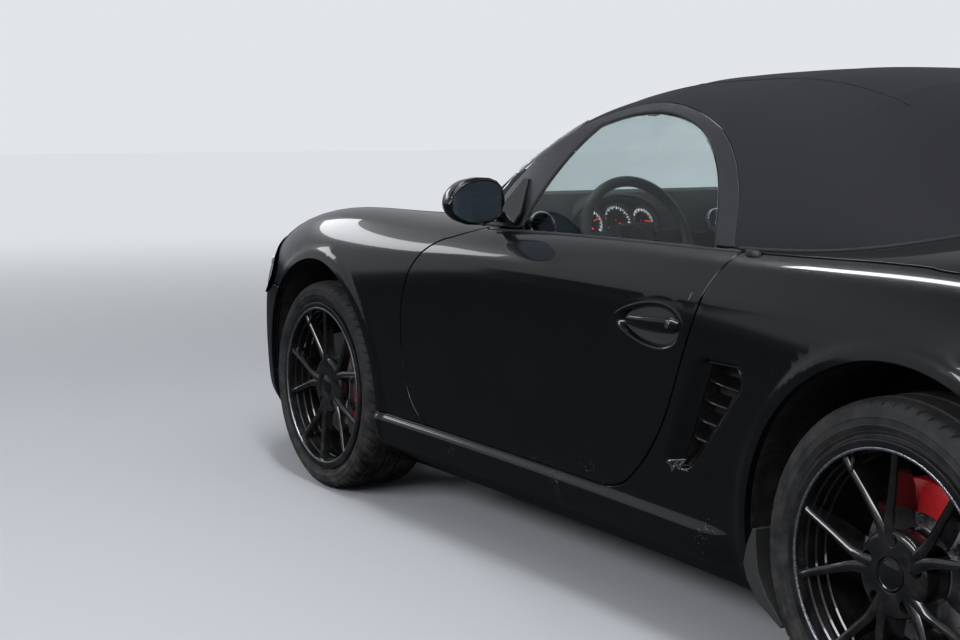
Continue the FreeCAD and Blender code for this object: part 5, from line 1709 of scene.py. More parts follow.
@dataclass
class Wheel:
    """One wheel: tyre, rim with five forked spokes, bolts, cap and brake disc."""

    place: str
    side: str
    axle: Pair
    track: float
    tyre_r: float
    tyre_w: float
    rim_w: float
    hub_y: float
    disc_r: float
    disc_t: float
    forks: int = 5
    first_fork: float = 75.0
    bolt_circle: float = 65.0
    periods: int = 68

    def __post_init__(self) -> None:
        """Works out the sizes that follow from the others."""
        self.middle = self.track / 2
        self.lip = self.rim_w / 2 + 13
        self.bead = self.rim_w / 2 - 2
        self.face = self.lip - 6
        self.hub = self.hub_y - self.middle
        self.centre = (self.axle[0], self.middle, self.axle[1])
        self.body = f"wheel_{self.place}_{self.side}"

    def name(self, part: str) -> str:
        """The name of one of this wheel's pieces."""
        return f"{self.place}_{part}_{self.side}"

    def build(self) -> None:
        """Makes the wheel's pieces on the left and mirrors them for the right."""
        rim = self.rim()
        pieces = [(self.tyre(), "rubber", "tyre"), (rim, "rim", "rim"),
                  (self.disc(), "disc", "disc"), (self.ring(), "rim", None),
                  (self.bolts(), "rim", None), (self.cap(), "rim", None),
                  (self.valve(), "rubber", None)]
        for piece, slot, node in pieces:
            if self.side == "right":
                flipped = Maker.mirrored(piece, piece.name + "_m")
                name = piece.name
                bpy.data.objects.remove(piece, do_unlink=True)
                flipped.name = name
                piece = flipped
            if node:
                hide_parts(self.name(node))
            dress(self.body, slot, piece)

    def tyre(self) -> bpy.types.Object:
        """The tyre, with grooves round its tread and slanted ones over its shoulders."""
        half, radius = self.tyre_w / 2, self.tyre_r
        wall = [(241.4, self.bead - 16, 0), (242.5, self.bead, 0), (251, self.bead + 4, 0),
                (259.5, self.bead + 2.6, 0), (262, self.bead + 4.5, 0),
                (266, half - 9.5, 0), (270, half - 6.0, 0), (271, half - 5.0, 0),
                (273, half - 4.9, 0), (274, half - 3.6, 0), (281, half - 1.4, 0),
                (282, half - 0.4, 0), (284, half - 0.3, 0), (285, half - 1.2, 0),
                (291, half - 0.9, 0), (297, half - 2.0, 0), (298.5, half - 1.4, 0),
                (301, half - 2.6, 0), (radius - 19, half - 5.5, 0),
                (radius - 15, half - 7.5, 1.0), (radius - 11, half - 10.5, 3.0),
                (radius - 7.2, half - 15, 4.6), (radius - 4.6, half - 20.5, 5.4),
                (radius - 2.6, half - 28, 5.8), (radius - 1.5, half - 36, 5.8)]
        tread = []
        grooves = np.array([0.33, 0.11]) * 2 * half
        edge = half - 41
        tread.append((radius - 1.1, edge, 4.0))
        for groove in grooves:
            tread += [(radius - 0.6, groove + 5.6, 0), (radius - 1.4, groove + 4.9, 0),
                      (radius - 7.4, groove + 4.1, 0), (radius - 7.4, groove - 4.1, 0),
                      (radius - 1.2, groove - 4.9, 0), (radius - 0.4, groove - 5.6, 0)]
        tread = [row for row in tread if row[1] < edge + 0.1]
        one_side = wall + tread + [(radius, 3.0, 0)]
        rows = np.array([(r, w, g) for r, w, g in one_side]
                        + [(r, -w, g) for r, w, g in one_side[::-1]])
        phase = np.array([0.0, 0.045, 0.2, 0.245, 0.62])
        deep = np.array([0.0, 1.0, 1.0, 0.0, 0.0])
        turn = (np.arange(self.periods)[:, None] + phase).ravel() * 2 * math.pi / self.periods
        deep = np.tile(deep, self.periods)
        slant = 0.11 * smooth(np.abs(rows[:, 1]), half - 70, half) * np.sign(rows[:, 1])
        slant[:len(rows) // 2] *= -1
        angle = turn[:, None] + slant[None, :]
        radii = rows[None, :, 0] - deep[:, None] * rows[None, :, 2]
        inset = deep[:, None] * rows[None, :, 2] * smooth(np.abs(rows[:, 1]), half - 20, half)
        offset = rows[None, :, 1] - np.sign(rows[:, 1]) * inset * 0.5
        rings = np.stack([self.axle[0] + np.cos(angle) * radii, self.middle + offset,
                          self.axle[1] + np.sin(angle) * radii], 2)
        rings[..., 2] = np.maximum(rings[..., 2], 0.0)
        return Maker.loft(self.name("tyre_outer"), rings, TYRE_RUBBER, closed=True,
                          angle=38.0)

    def rim(self) -> bpy.types.Object:
        """The rim: a stepped barrel, the hub and ten slim arms in five forks."""
        lip, bead = self.lip, self.bead
        barrel = Maker.turned(self.name("barrel"), [
            (241, bead + 1), (252, bead + 1.4), (257, bead + 2.4), (258, bead + 5),
            (258, lip - 2), (257.2, lip - 0.6), (255.5, lip), (243, lip), (239, lip - 0.8),
            (236.5, lip - 3), (235.2, lip - 9), (234.6, lip - 26), (231, lip - 28.5),
            (230.4, lip - 48), (227, lip - 50.5), (226.4, lip - 70), (223.4, lip - 72.5),
            (222.8, 0.2 * bead), (224, -bead + 20), (236, -lip + 3), (256, -lip),
            (258, -lip + 2), (258, -bead - 1.5), (241, -bead - 1)], self.centre, RIM_PAINT,
            144)
        hub = Maker.turned(self.name("hub"), self.hub_profile(), self.centre, RIM_PAINT, 96)
        cups = []
        for bolt in range(5):
            angle = math.radians(90 + 72 * bolt)
            x = self.axle[0] + self.bolt_circle * math.cos(angle)
            z = self.axle[1] + self.bolt_circle * math.sin(angle)
            cups.append(Maker.rod("cup", (x, self.middle + self.hub + 9, z),
                                  (x, self.middle + self.face + 5, z), 10.5, RIM_PAINT,
                                  tip=13.5))
        Maker.drilled(hub, cups)
        arms = [self.arm(self.first_fork + 72 * fork, side)
                for fork in range(self.forks) for side in (-1, 1)]
        return Maker.joined(self.name("rim_spokes"), barrel, hub, *arms)

    def hub_profile(self) -> list[Pair]:
        """The section of the hub, as radius and offset."""
        hub, face = self.hub, self.face
        return [(0.5, hub), (78, hub), (84, hub + 4), (86.5, face - 26), (84, face - 20.5),
                (79, face - 17), (70, face - 15.4), (52, face - 14.2), (38, face - 13.6),
                (35, face - 14.6), (33.8, face - 18), (33.5, face - 26), (0.5, face - 26)]

    def arm(self, angle: float, side: int) -> bpy.types.Object:
        """One slim crowned arm of a fork.

        Args:
            angle: The direction of the fork, in degrees.
            side: Which of its two arms, 1 or -1.

        Returns:
            The new object.
        """
        far = np.array([30, 55, 75, 90, 104, 118, 135, 155, 175, 195, 212, 224, 231, 236,
                        239.5])
        lateral = np.interp(far, [30, 75, 95, 120, 160, 242], [4, 8, 11, 20, 38, 74]) * side
        width = np.interp(far, [30, 75, 104, 150, 212, 226, 234, 239.5],
                          [15, 14, 11.6, 10.2, 8.8, 10, 14, 21])
        front = np.interp(far, [30, 70, 150, 212, 231, 239.5],
                          [-16.5, -14.2, -10, -3.4, -1.8, -2.6]) + self.face
        back = np.interp(far, [30, 80, 150, 228, 240],
                         [self.hub, self.hub + 2, self.hub + 12, self.face - 30,
                          self.face - 34])
        turn = math.radians(angle)
        ahead, over = ((math.cos(turn), math.sin(turn)), (-math.sin(turn), math.cos(turn)))
        rings = []
        for u, v, w, high, low in zip(far, lateral, width, front, back):
            crown = min(0.42 * w, 5.2)
            section = [(-w * 0.8, low), (-w * 0.96, high - 13), (-w, high - crown - 2.2),
                       (-w * 0.93, high - crown), (-w * 0.62, high - 0.42 * crown),
                       (-w * 0.22, high), (w * 0.22, high), (w * 0.62, high - 0.42 * crown),
                       (w * 0.93, high - crown), (w, high - crown - 2.2),
                       (w * 0.96, high - 13), (w * 0.8, low)]
            rings.append([(self.axle[0] + u * ahead[0] + (v + a) * over[0], self.middle + b,
                           self.axle[1] + u * ahead[1] + (v + a) * over[1])
                          for a, b in section])
        return Maker.loft(self.name("arm"), np.array(rings), RIM_PAINT, angle=24.0)

    def ring(self) -> bpy.types.Object:
        """The thin bright ring inside the rim's lip."""
        lip = self.lip
        return Maker.turned(self.name("rim_ring"), [
            (236.6, lip - 2.5), (237.2, lip - 0.2), (238.6, lip + 0.7), (240.6, lip + 0.9),
            (242.2, lip + 0.4), (242.8, lip - 0.6), (242.8, lip - 2.5)], self.centre,
            RING_SILVER, 144)

    def bolts(self) -> bpy.types.Object:
        """Five wheel bolts, deep in their cups."""
        made = []
        for bolt in range(5):
            angle = math.radians(90 + 72 * bolt)
            x = self.axle[0] + self.bolt_circle * math.cos(angle)
            z = self.axle[1] + self.bolt_circle * math.sin(angle)
            base = self.middle + self.hub + 8
            made.append(Maker.rod("bolt", (x, base, z), (x, base + 5, z), 9.6, BOLT_GREY, 1.0))
            made.append(Maker.rod("bolt", (x, base + 4, z), (x, base + 17, z), 7.4, BOLT_GREY,
                                  0.8, sides=6))
        return Maker.joined(self.name("rim_bolts"), *made)

    def cap(self) -> bpy.types.Object:
        """The bare cap over the hub's middle."""
        face = self.face
        return Maker.turned(self.name("rim_cap"), [
            (0.3, face - 25), (32.6, face - 25), (32.8, face - 16), (31.6, face - 13.8),
            (29.5, face - 13.2), (27.5, face - 14.2), (20, face - 11.4), (10, face - 9.8),
            (0.3, face - 9.3)], self.centre, GLOSS_PLASTIC, 72)

    def valve(self) -> bpy.types.Object:
        """The tyre's valve, inside the barrel."""
        angle = math.radians(self.first_fork - 14)
        way = (math.cos(angle), math.sin(angle))
        y = self.middle + self.lip - 22
        points = [(self.axle[0] + r * way[0], y + o, self.axle[1] + r * way[1])
                  for r, o in ((236, -4), (226, 0), (214, 8), (206, 13))]
        return Maker.tube(self.name("rim_valve"), np.array(points), [4.6, 4.2, 3.2, 3.4],
                          BLACK_PLASTIC, sides=12)

    def disc(self) -> bpy.types.Object:
        """The drilled brake disc and its hat."""
        top = self.middle + self.hub - 20
        steps = round_angles(120)
        outer = np.stack([np.cos(steps), np.sin(steps)], 1) * self.disc_r
        inner = np.stack([np.cos(steps), np.sin(steps)], 1) * 84
        loops = [outer, inner]
        spots = round_angles(9)
        small = np.stack([np.cos(spots), np.sin(spots)], 1) * 2.7
        reach = self.disc_r - 90
        for turn in range(18):
            for row in range(4):
                far = 96 + reach * (row + 0.5) / 4.2
                angle = 2 * math.pi * (turn + 0.24 * row + 0.1 * (turn % 2)) / 18
                loops.append(small + (far * math.cos(angle), far * math.sin(angle)))

        def place(flat: np.ndarray, height: float) -> np.ndarray:
            """Puts the flat plate upright about the axle."""
            return np.stack([self.axle[0] + flat[:, 0], np.full(len(flat), height),
                             self.axle[1] + flat[:, 1]], 1)

        front = Maker.plate("disc", loops, top - 9, top, place, DISC_IRON)
        rear = Maker.plate("disc", loops[:2], top - self.disc_t, top - self.disc_t + 9,
                           place, DISC_IRON)
        vanes = Maker.turned("disc", [
            (88, -29 + self.hub), (self.disc_r - 6, -29 + self.hub),
            (self.disc_r - 6, self.hub - 20 - self.disc_t + 9),
            (88, self.hub - 20 - self.disc_t + 9)], self.centre, DISC_IRON, 72)
        hub = self.hub
        hat = Maker.turned("disc", [
            (30, hub - 60), (60, hub - 60), (60, hub - 46), (76, hub - 44),
            (78, hub - 21 - self.disc_t), (86, hub - 20), (86, hub - 1.5), (84, hub - 0.2),
            (30, hub - 0.2)], self.centre, DISC_IRON, 72)
        return Maker.joined(self.name("disc_drilled"), front, rear, vanes, hat)


class Brakes:
    """Calipers, hub carriers and arms, finished from the solids."""

    def build(self) -> None:
        """Makes them."""
        for node, body in (("front_caliper_left", "knuckle_left"),
                           ("front_caliper_right", "knuckle_right"),
                           ("rear_calipers", "body")):
            piece = Maker.copy(node, node + "_painted", CALIPER_RED, 4.0)
            dress(body, "caliper", piece)
        for node, body in (("knuckle_left", "knuckle_left"),
                           ("knuckle_right", "knuckle_right"), ("front_axle", "body"),
                           ("rear_axle", "body")):
            piece = Maker.copy(node, node + "_cast", CAST_IRON, 2.0)
            dress(body, "carrier", piece)


class RoofPart(Enum):
    """The pieces that the roof's skin is cut into."""

    NONE = 0
    CLOTH = 1
    ARCH_FRONT = 2
    ARCH_REAR = 3
    SIDE_GLASS = 4
    PILLAR = 5
    SCREEN = 6
    REAR_WINDOW = 7


@dataclass
class Roof:
    """The fabric roof, its side trims, the windscreen and the windows."""

    shell: BodyShell
    bows: tuple[float, ...] = (-60.0, -420.0, -700.0)
    trim_joint: float = -117.0
    glass_foot: float = 18.0
    screen_foot: float = 9.0
    cloth_t: float = 5.0
    seam_y: float = 480.0
    step: float = 16.0
    glass_gap: float = 7.0

    def relief(self, p: np.ndarray) -> np.ndarray:
        """Height of the bows and of the sag between them, in millimetres."""
        x, y, z = p.T
        on_top = smooth(z, 1060, 1150) * smooth(np.abs(y), 640, 560)
        rise = np.zeros(len(p))
        for bow in self.bows:
            rise += 1.6 * np.exp(-((x - bow) / 16) ** 2) * on_top
        rise -= 1.4 * np.sin(math.pi * (x + 60) / 360) ** 2 * on_top
        behind = smooth(x, -700, -760)
        rise -= 2.0 * np.exp(-((np.abs(y) - 520) / 30) ** 2) * behind * smooth(z, 1000, 1060)
        return rise

    def body_height(self) -> None:
        """Tables the height of the body's upper side over x and y."""
        skin = self.shell.skin
        self.x_table = np.linspace(-1300, 1000, 461)
        self.y_table = np.linspace(0, 900, 181)
        rows = []
        for section in skin.sections(skin.s_at(self.x_table)):
            widest = int(np.argmax(section[:, 1]))
            rows.append(np.interp(self.y_table, section[widest:, 1][::-1],
                                  section[widest:, 2][::-1]))
        self.z_table = np.array(rows)

    def above_body(self, p: np.ndarray) -> np.ndarray:
        """How far points lie above the body, in millimetres."""
        a = np.clip((p[:, 0] - self.x_table[0]) / 5.0, 0, 459.999)
        b = np.clip(np.abs(p[:, 1]) / 5.0, 0, 179.999)
        i, j = a.astype(int), b.astype(int)
        u, v = a - i, b - j
        z = self.z_table
        return p[:, 2] - ((1 - u) * (1 - v) * z[i, j] + u * (1 - v) * z[i + 1, j]
                          + (1 - u) * v * z[i, j + 1] + u * v * z[i + 1, j + 1])

    def crossing(self, level: float) -> np.ndarray:
        """(s, t) of the line on which the skin lies at a level above the body."""
        skin = self.skin
        s, t = skin.s_fine, skin.t_fine
        high = (self.above_body(skin.sections(s).reshape(-1, 3)) - level)
        high = high.reshape(len(s), len(t))
        front = skin.s_at(np.array([720.0]))[0]
        rear = skin.s_at(np.array([-1080.0]))[0]
        middle = [(a, self.first(t, row)) for a, row in zip(s, high) if front < a < rear]
        ahead = [(self.first(s, high[:, k]), b) for k, b in enumerate(t)
                 if b > middle[0][1]]
        behind = [(self.first(s[::-1], high[::-1, k]), b) for k, b in enumerate(t)
                  if b > middle[-1][1]]
        line = np.array(ahead[::-1] + middle + behind)
        return line[::3] if len(line) > 200 else line

    @staticmethod
    def first(places: np.ndarray, values: np.ndarray) -> float:
        """The place at which a row of values first passes 0."""
        at = int(np.argmax(values > 0))
        if at == 0:
            return float(places[0])
        low, high = values[at - 1], values[at]
        return float(places[at - 1] + (places[at] - places[at - 1]) * -low / (high - low))

    def build(self) -> None:
        """Makes all of the roof's pieces."""
        self.skin = Skin(map(roof_poles, ROOF), self.relief, False)
        self.body_height()
        self.foot = self.crossing(0.0)
        self.work = Patchwork(self.skin, self.lines(), self.step)
        self.labels = self.label(self.work.centres())
        self.cloth()
        self.frames()
        self.glazing()
        self.trims()

    def lines(self) -> list[np.ndarray]:
        """The lines that the skin is cut along, as (s, t)."""
        skin = self.skin
        found = [self.foot, self.crossing(-self.glass_foot), self.crossing(-self.screen_foot)]
        for shape in (ARCH_OUTER, ARCH_INNER):
            points = shape.points(8.0)
            found.append(skin.side_line(points))
        joint = np.stack([np.full(9, self.trim_joint), np.linspace(1176, 1212, 9)], 1)
        found.append(skin.side_line(joint))
        for shape in (HEADER, SCREEN):
            plan = shape.points(9.0)
            plan = plan[(plan[:, 1] >= -1e-6) & (plan[:, 0] < 955)]
            plan = plan[plan[:, 1] < 690] if shape is HEADER else plan
            order = np.argsort(np.arctan2(plan[:, 1], plan[:, 0] - 620)) if (
                shape is SCREEN) else np.argsort(plan[:, 1])
            line = plan[order]
            if shape is HEADER:
                line = line[line[:, 0] < 320]
            found.append(skin.top_line(line))
        points = REAR_WINDOW.points(8.0)
        self.window = skin.end_line(np.abs(points), False, 300.0)
        found += [self.window[points[:, 0] >= 0]]
        return found

    def label(self, p: np.ndarray) -> np.ndarray:
        """The part of each point of the plain skin, as the part's value."""
        x, y, z = p.T
        above = self.above_body(p)
        found = np.full(len(p), RoofPart.CLOTH.value)
        header = HEADER.holds(x, y)
        outer, inner = ARCH_OUTER.holds(x, z), ARCH_INNER.holds(x, z)
        side = y > 400
        rules = (
            (RoofPart.PILLAR, header),
            (RoofPart.SCREEN, SCREEN.holds(x, y)),
            (RoofPart.REAR_WINDOW, REAR_WINDOW.holds(y, z) & (x < -300)),
            (RoofPart.ARCH_FRONT, outer & side & (x > self.trim_joint)),
            (RoofPart.ARCH_REAR, outer & side & (x <= self.trim_joint)),
            (RoofPart.SIDE_GLASS, inner & side),
        )
        for part, where in rules:
            found[where] = part.value
        glass = found == RoofPart.SIDE_GLASS.value
        screen = found == RoofPart.SCREEN.value
        low = above < 0
        low &= ~(glass & (above > -self.glass_foot))
        low &= ~(screen & (above > -self.screen_foot))
        found[low] = RoofPart.NONE.value
        return found

    def cut(self, *parts: RoofPart) -> Surface:
        """The triangles of one or more parts."""
        return Surface.cut(self.work, np.isin(self.labels, [part.value for part in parts]))

    def cloth(self) -> None:
        """The stretched fabric, with its seams."""
        hem = Hem(0.4, 1.4, self.cloth_t, 2, True)
        surface = self.cut(RoofPart.CLOTH).hem(hem, False).whole()
        piece = surface.piece("roof_fabric", ROOF_CLOTH.material())
        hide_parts("soft_top")
        dress("body", "roof_cloth", piece)
        for side in (-1, 1):
            x = np.linspace(225, -745, 110)
            place = self.skin.top_line(np.stack([x, np.full(110, self.seam_y)], 1))
            line = self.skin.points(*place.T) + self.skin.normals(*place.T) * 0.3
            line[:, 1] *= side
            seam = Maker.tube(f"roof_seam_{'left' if side > 0 else 'right'}", line, 1.5,
                              ROOF_CLOTH, sides=6)
            dress("body", "roof_cloth", seam)

    def frames(self) -> None:
        """Windscreen frame and side trims."""
        hem = Hem(0.6, 2.2, 12.0, 3, True)
        frame_piece = self.cut(RoofPart.PILLAR).hem(hem, False).whole()
        piece = frame_piece.piece("windscreen_surround", BLACK_PAINT.material())
        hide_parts("windscreen_frame")
        dress("body", "paint", piece)
        first = True
        for part, name in ((RoofPart.ARCH_FRONT, "arch_trim_front"),
                           (RoofPart.ARCH_REAR, "arch_trim_rear")):
            surface = self.cut(part).hem(Hem(0.8, 2.4, 12.0, 3, True), False)
            for side, made in (("left", surface), ("right", surface.mirrored())):
                piece = made.piece(f"{name}_{side}", SATIN_TRIM.material())
                if first:
                    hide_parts("side_arches")
                    first = False
                dress("body", "arch_trim", piece)

    def glazing(self) -> None:
        """Windscreen, side windows and the oval rear window."""
        hem = Hem(0.7, 0.9, 4.5, 2, True)
        screen = self.cut(RoofPart.SCREEN).hem(hem, False).whole()
        piece = screen.piece("windscreen_pane", CLEAR_GLASS.material())
        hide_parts("windscreen_glass")
        dress("body", "glass", piece)
        rear = self.cut(RoofPart.REAR_WINDOW).hem(hem, False).whole()
        piece = rear.piece("rear_window_pane", TEAL_GLASS.material())
        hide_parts("rear_window")
        dress("body", "glass", piece)
        gap = Hem(self.glass_gap, 0.9, 4.0, 2, True)
        side = self.cut(RoofPart.SIDE_GLASS)
        side.points = side.points - side.normals * 2.0
        side = side.hem(gap, False)
        for name, made in (("left", side), ("right", side.mirrored())):
            piece = made.piece(f"side_window_{name}", CLEAR_GLASS.material())
            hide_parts(f"door_glass_{name}")
            dress(f"door_{name}", "glass", piece)

    def on_skin(self, place: np.ndarray, rise: float) -> np.ndarray:
        """Points at a height over the skin."""
        return self.skin.points(*place.T) + self.skin.normals(*place.T) * rise

    def trims(self) -> None:
        """Piping, seals and a bright metal strip that paints the windscreen pillar's highlight.
        """
        window = self.on_skin(self.window, 0.6)
        points = REAR_WINDOW.points(8.0)
        window[:, 1] = np.sign(points[:, 0]) * np.abs(window[:, 1])
        dress("body", "roof_cloth", Maker.tube("rear_window_piping", window, 4.2, PIPING,
                                               True, 10))
        centre = window.mean(0)
        inner = window + unit_rows(centre - window) * 9.0
        dress("body", "rubber", Maker.tube("rear_window_seal", inner - (0, 0, 1.0), 5.0,
                                           RUBBER_SEAL, True, 10))
        foot = self.skin.points(*self.foot.T)
        outside = (foot[:, 0] > 470) | (foot[:, 0] < -560)
        for label, chosen in (("front", outside & (foot[:, 0] > 0)),
                              ("rear", outside & (foot[:, 0] < 0))):
            half = foot[chosen]
            half = half[np.argsort(-np.abs(half[:, 1]))]
            line = np.concatenate([half, (half * (1, -1, 1))[::-1][1:]])
            kept = (np.abs(np.abs(line[:, 1]) - HINGE_Y) > SEAL_GAP) | (line[:, 0] < 0)
            ends = np.flatnonzero(np.diff(np.concatenate([[0], kept.astype(int), [0]])))
            tubes = [Maker.tube(f"seal_{label}_{a}", line[a:b], 5.0, RUBBER_SEAL, False, 10)
                     for a, b in ends.reshape(-1, 2) if b - a > 1]
            dress("body", "rubber", Maker.joined(f"roof_seal_{label}", *tubes))
        edge = ARCH_INNER.points(8.0)
        edge = edge[edge[:, 1] > 884]
        place = self.skin.side_line(edge)
        for side, name in ((1, "left"), (-1, "right")):
            line = self.on_skin(place, -5.0) * (1, side, 1)
            dress("body", "rubber", Maker.tube(f"arch_seal_{name}", line, 5.5, RUBBER_SEAL,
                                               False, 10))
            # Painted highlight: a bright metal strip stands in for the highlight along the
            # windscreen pillar.
            pillar = np.array([(461, 741, 969), (436, 705, 1028), (405, 678, 1071),
                               (365, 658, 1103), (325, 638, 1136), (279, 626, 1155)], float)
            bright = self.skin.side_line(pillar[:, [0, 2]])
            line = self.on_skin(bright, 0.8) * (1, side, 1)
            dress("body", "arch_trim", Maker.tube(f"pillar_strip_{name}", line, 2.2,
                                                  PILLAR_HIGHLIGHT_METAL, False, 8))
            cap = np.array([-630.0, 800.0 * side, 893.0])
            angle = round_angles(40)
            rings = []
            for size, rise in ((1.0, -5), (1.0, 3), (0.9, 6.5), (0.6, 8.5), (0.2, 9.2)):
                rings.append(cap + np.stack([24 * size * np.cos(angle),
                                             11 * size * np.sin(angle),
                                             np.full(40, rise)], 1))
            dress("body", "arch_trim", Maker.loft(f"roof_foot_cap_{name}",
                                                  np.array(rings), SATIN_TRIM))


TEAL_GLASS = Finish("teal_glass", (0.45, 0.66, 0.66), 0.0, transmission=1.0, ior=1.45,
                    mottle=0.02, rough_spread=0.01)
PIPING = Finish("piping", (0.23, 0.24, 0.26), 0.6, mottle=0.1, bump=0.2)
# Bright metal for the strip that paints the windscreen pillar's highlight.
PILLAR_HIGHLIGHT_METAL = Finish("bright_trim", (0.5, 0.53, 0.57), 0.2, metallic=1.0, mottle=0.05)


MIRROR_GLASS = Finish("mirror_glass", (0.5, 0.6, 0.74), 0.03, metallic=1.0, mottle=0.02,
                      rough_spread=0.01)
CHROME = Finish("chrome", (0.7, 0.72, 0.75), 0.12, metallic=1.0, mottle=0.03)
SIDE_LAMP = Finish("side_lamp", (0.55, 0.56, 0.58), 0.08, coat=1.0, mottle=0.05,
                   transmission=0.35)
REFLECTOR = Finish("reflector", (0.62, 0.63, 0.66), 0.16, metallic=1.0, mottle=0.06)
BLADE_RUBBER = Finish("blade_rubber", (0.01, 0.01, 0.01), 0.55)
CHIPPED = Finish("chipped_edge", (0.012, 0.0125, 0.013), 0.5, chips=1.0, dust_top=1.4,
                 mottle=0.2)
SCRATCH = Finish("bare_scratch", (0.5, 0.52, 0.55), 0.5, mottle=0.2)
DARK_SCRATCH = Finish("dark_scratch", (0.003, 0.003, 0.003), 0.7)
GRILLE_MESH = Finish("grille_mesh", (0.011, 0.0113, 0.012), 0.45, bump=0.2)


@dataclass
class Mirror:
    """A door mirror: housing, glass, foot and the sail that carries it."""

    back_x: float = 318.0
    middle_z: float = 950.0
    inner_y: float = 818.0
    outer_y: float = 985.0

    def build(self) -> None:
        """Makes the left mirror and its mirror image."""
        pieces = [self.housing(), self.rim(), self.glass(), self.foot(), self.sail()]
        slots = ["paint", "paint", "glass", "paint", "paint"]
        for piece, slot in zip(pieces, slots):
            other = Maker.mirrored(piece, piece.name.replace("left", "right"))
            dress("door_left", slot, piece)
            dress("door_right", slot, other)
        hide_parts("mirror_left")
        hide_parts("mirror_right")

    def outline(self, share: float, shrink: float = 0.0) -> tuple[float, float, float]:
        """Half height, depth and middle height of the housing.

        Args:
            share: How far out along the housing, from 0 to 1.
            shrink: How much smaller the outline is made, in millimetres.

        Returns:
            The three sizes.
        """
        half = np.interp(share, [0, 0.04, 0.12, 0.25, 0.45, 0.65, 0.82, 0.93, 0.98, 1],
                         [16, 36, 50, 58, 61, 57, 45, 29, 15, 4])
        depth = np.interp(share, [0, 0.05, 0.2, 0.45, 0.7, 0.9, 1],
                          [34, 62, 92, 100, 88, 54, 18])
        return max(half - shrink, 1.0), depth, self.middle_z + 2.0 - 8 * share * share

    def rings(self) -> np.ndarray:
        """The housing's sections from its inner to its outer end."""
        found = []
        angle = round_angles(44)
        for share in np.concatenate([[0, 0.015, 0.04], np.linspace(0.08, 0.92, 22),
                                     [0.95, 0.975, 0.99, 1.0]]):
            half, depth, middle = self.outline(share)
            cos, sin = np.cos(angle), np.sin(angle)
            bent = np.sign(cos) * np.abs(cos) ** 0.84
            x = self.back_x + np.where(cos > 0, depth * bent, 9.0 * bent)
            z = middle + half * np.sign(sin) * np.abs(sin) ** 0.86
            y = self.inner_y + share * (self.outer_y - self.inner_y)
            found.append(np.stack([x, np.full(44, y), z], 1))
        return np.array(found)

    def housing(self) -> bpy.types.Object:
        """The gloss housing."""
        return Maker.loft("mirror_housing_left", self.rings(), BLACK_PAINT, angle=60.0)

    def face_line(self, shrink: float, x: float) -> np.ndarray:
        """The line of the housing's rear opening, made smaller and set at x."""
        shares = np.linspace(0.05, 0.955, 34)
        upper, lower = [], []
        for share in shares:
            half, _, middle = self.outline(share, shrink)
            y = self.inner_y + share * (self.outer_y - self.inner_y)
            y += shrink * (0.5 - share) * 1.6
            upper.append((x, y, middle + 0.93 * half))
            lower.append((x, y, middle - 0.93 * half))
        return np.array(upper + lower[::-1])

    def rim(self) -> bpy.types.Object:
        """The rolled rim round the glass."""
        return Maker.tube("mirror_rim_left", self.face_line(3.0, self.back_x - 7.4), 3.0,
                          GLOSS_PLASTIC, True, 10)

    def glass(self) -> bpy.types.Object:
        """The mirror glass, which faces the rear."""
        line = self.face_line(5.5, 0.0)[:, 1:]

        def place(flat: np.ndarray, height: float) -> np.ndarray:
            """Puts the flat glass upright."""
            turn = 0.03 * (flat[:, 0] - 900.0)
            return np.stack([height + 0 * turn, flat[:, 0], flat[:, 1]], 1)

        return Maker.plate("mirror_pane_left", [line], self.back_x - 10.6,
                           self.back_x - 6.4, place, MIRROR_GLASS)

    def foot(self) -> bpy.types.Object:
        """The foot between housing and sail."""
        rings = []
        angle = round_angles(28)
        for y, x, z, a, b in ((786, 372, 905, 27, 15), (800, 371, 908, 26, 15),
                              (815, 368, 915, 24, 15), (832, 364, 924, 24, 17),
                              (850, 361, 934, 27, 22)):
            rings.append(np.stack([x + a * np.sign(np.cos(angle)) * np.abs(np.cos(angle))
                                   ** 0.8, np.full(28, float(y)), z + b * np.sin(angle)], 1))
        return Maker.loft("mirror_foot_left", np.array(rings), BLACK_PAINT, angle=50.0)

    def sail(self) -> bpy.types.Object:
        """The triangle in the window's front corner that the foot stands on."""
        face = np.array([(292, 797, 893), (408, 797, 890), (404, 770, 915),
                         (352, 726, 1003), (336, 722, 1003), (290, 776, 922)], float)
        out = np.array([0.0, 5.0, 1.6])
        return Maker.loft("mirror_sail_left", np.array([face - out * 0.6, face + out]),
                          GLOSS_PLASTIC)


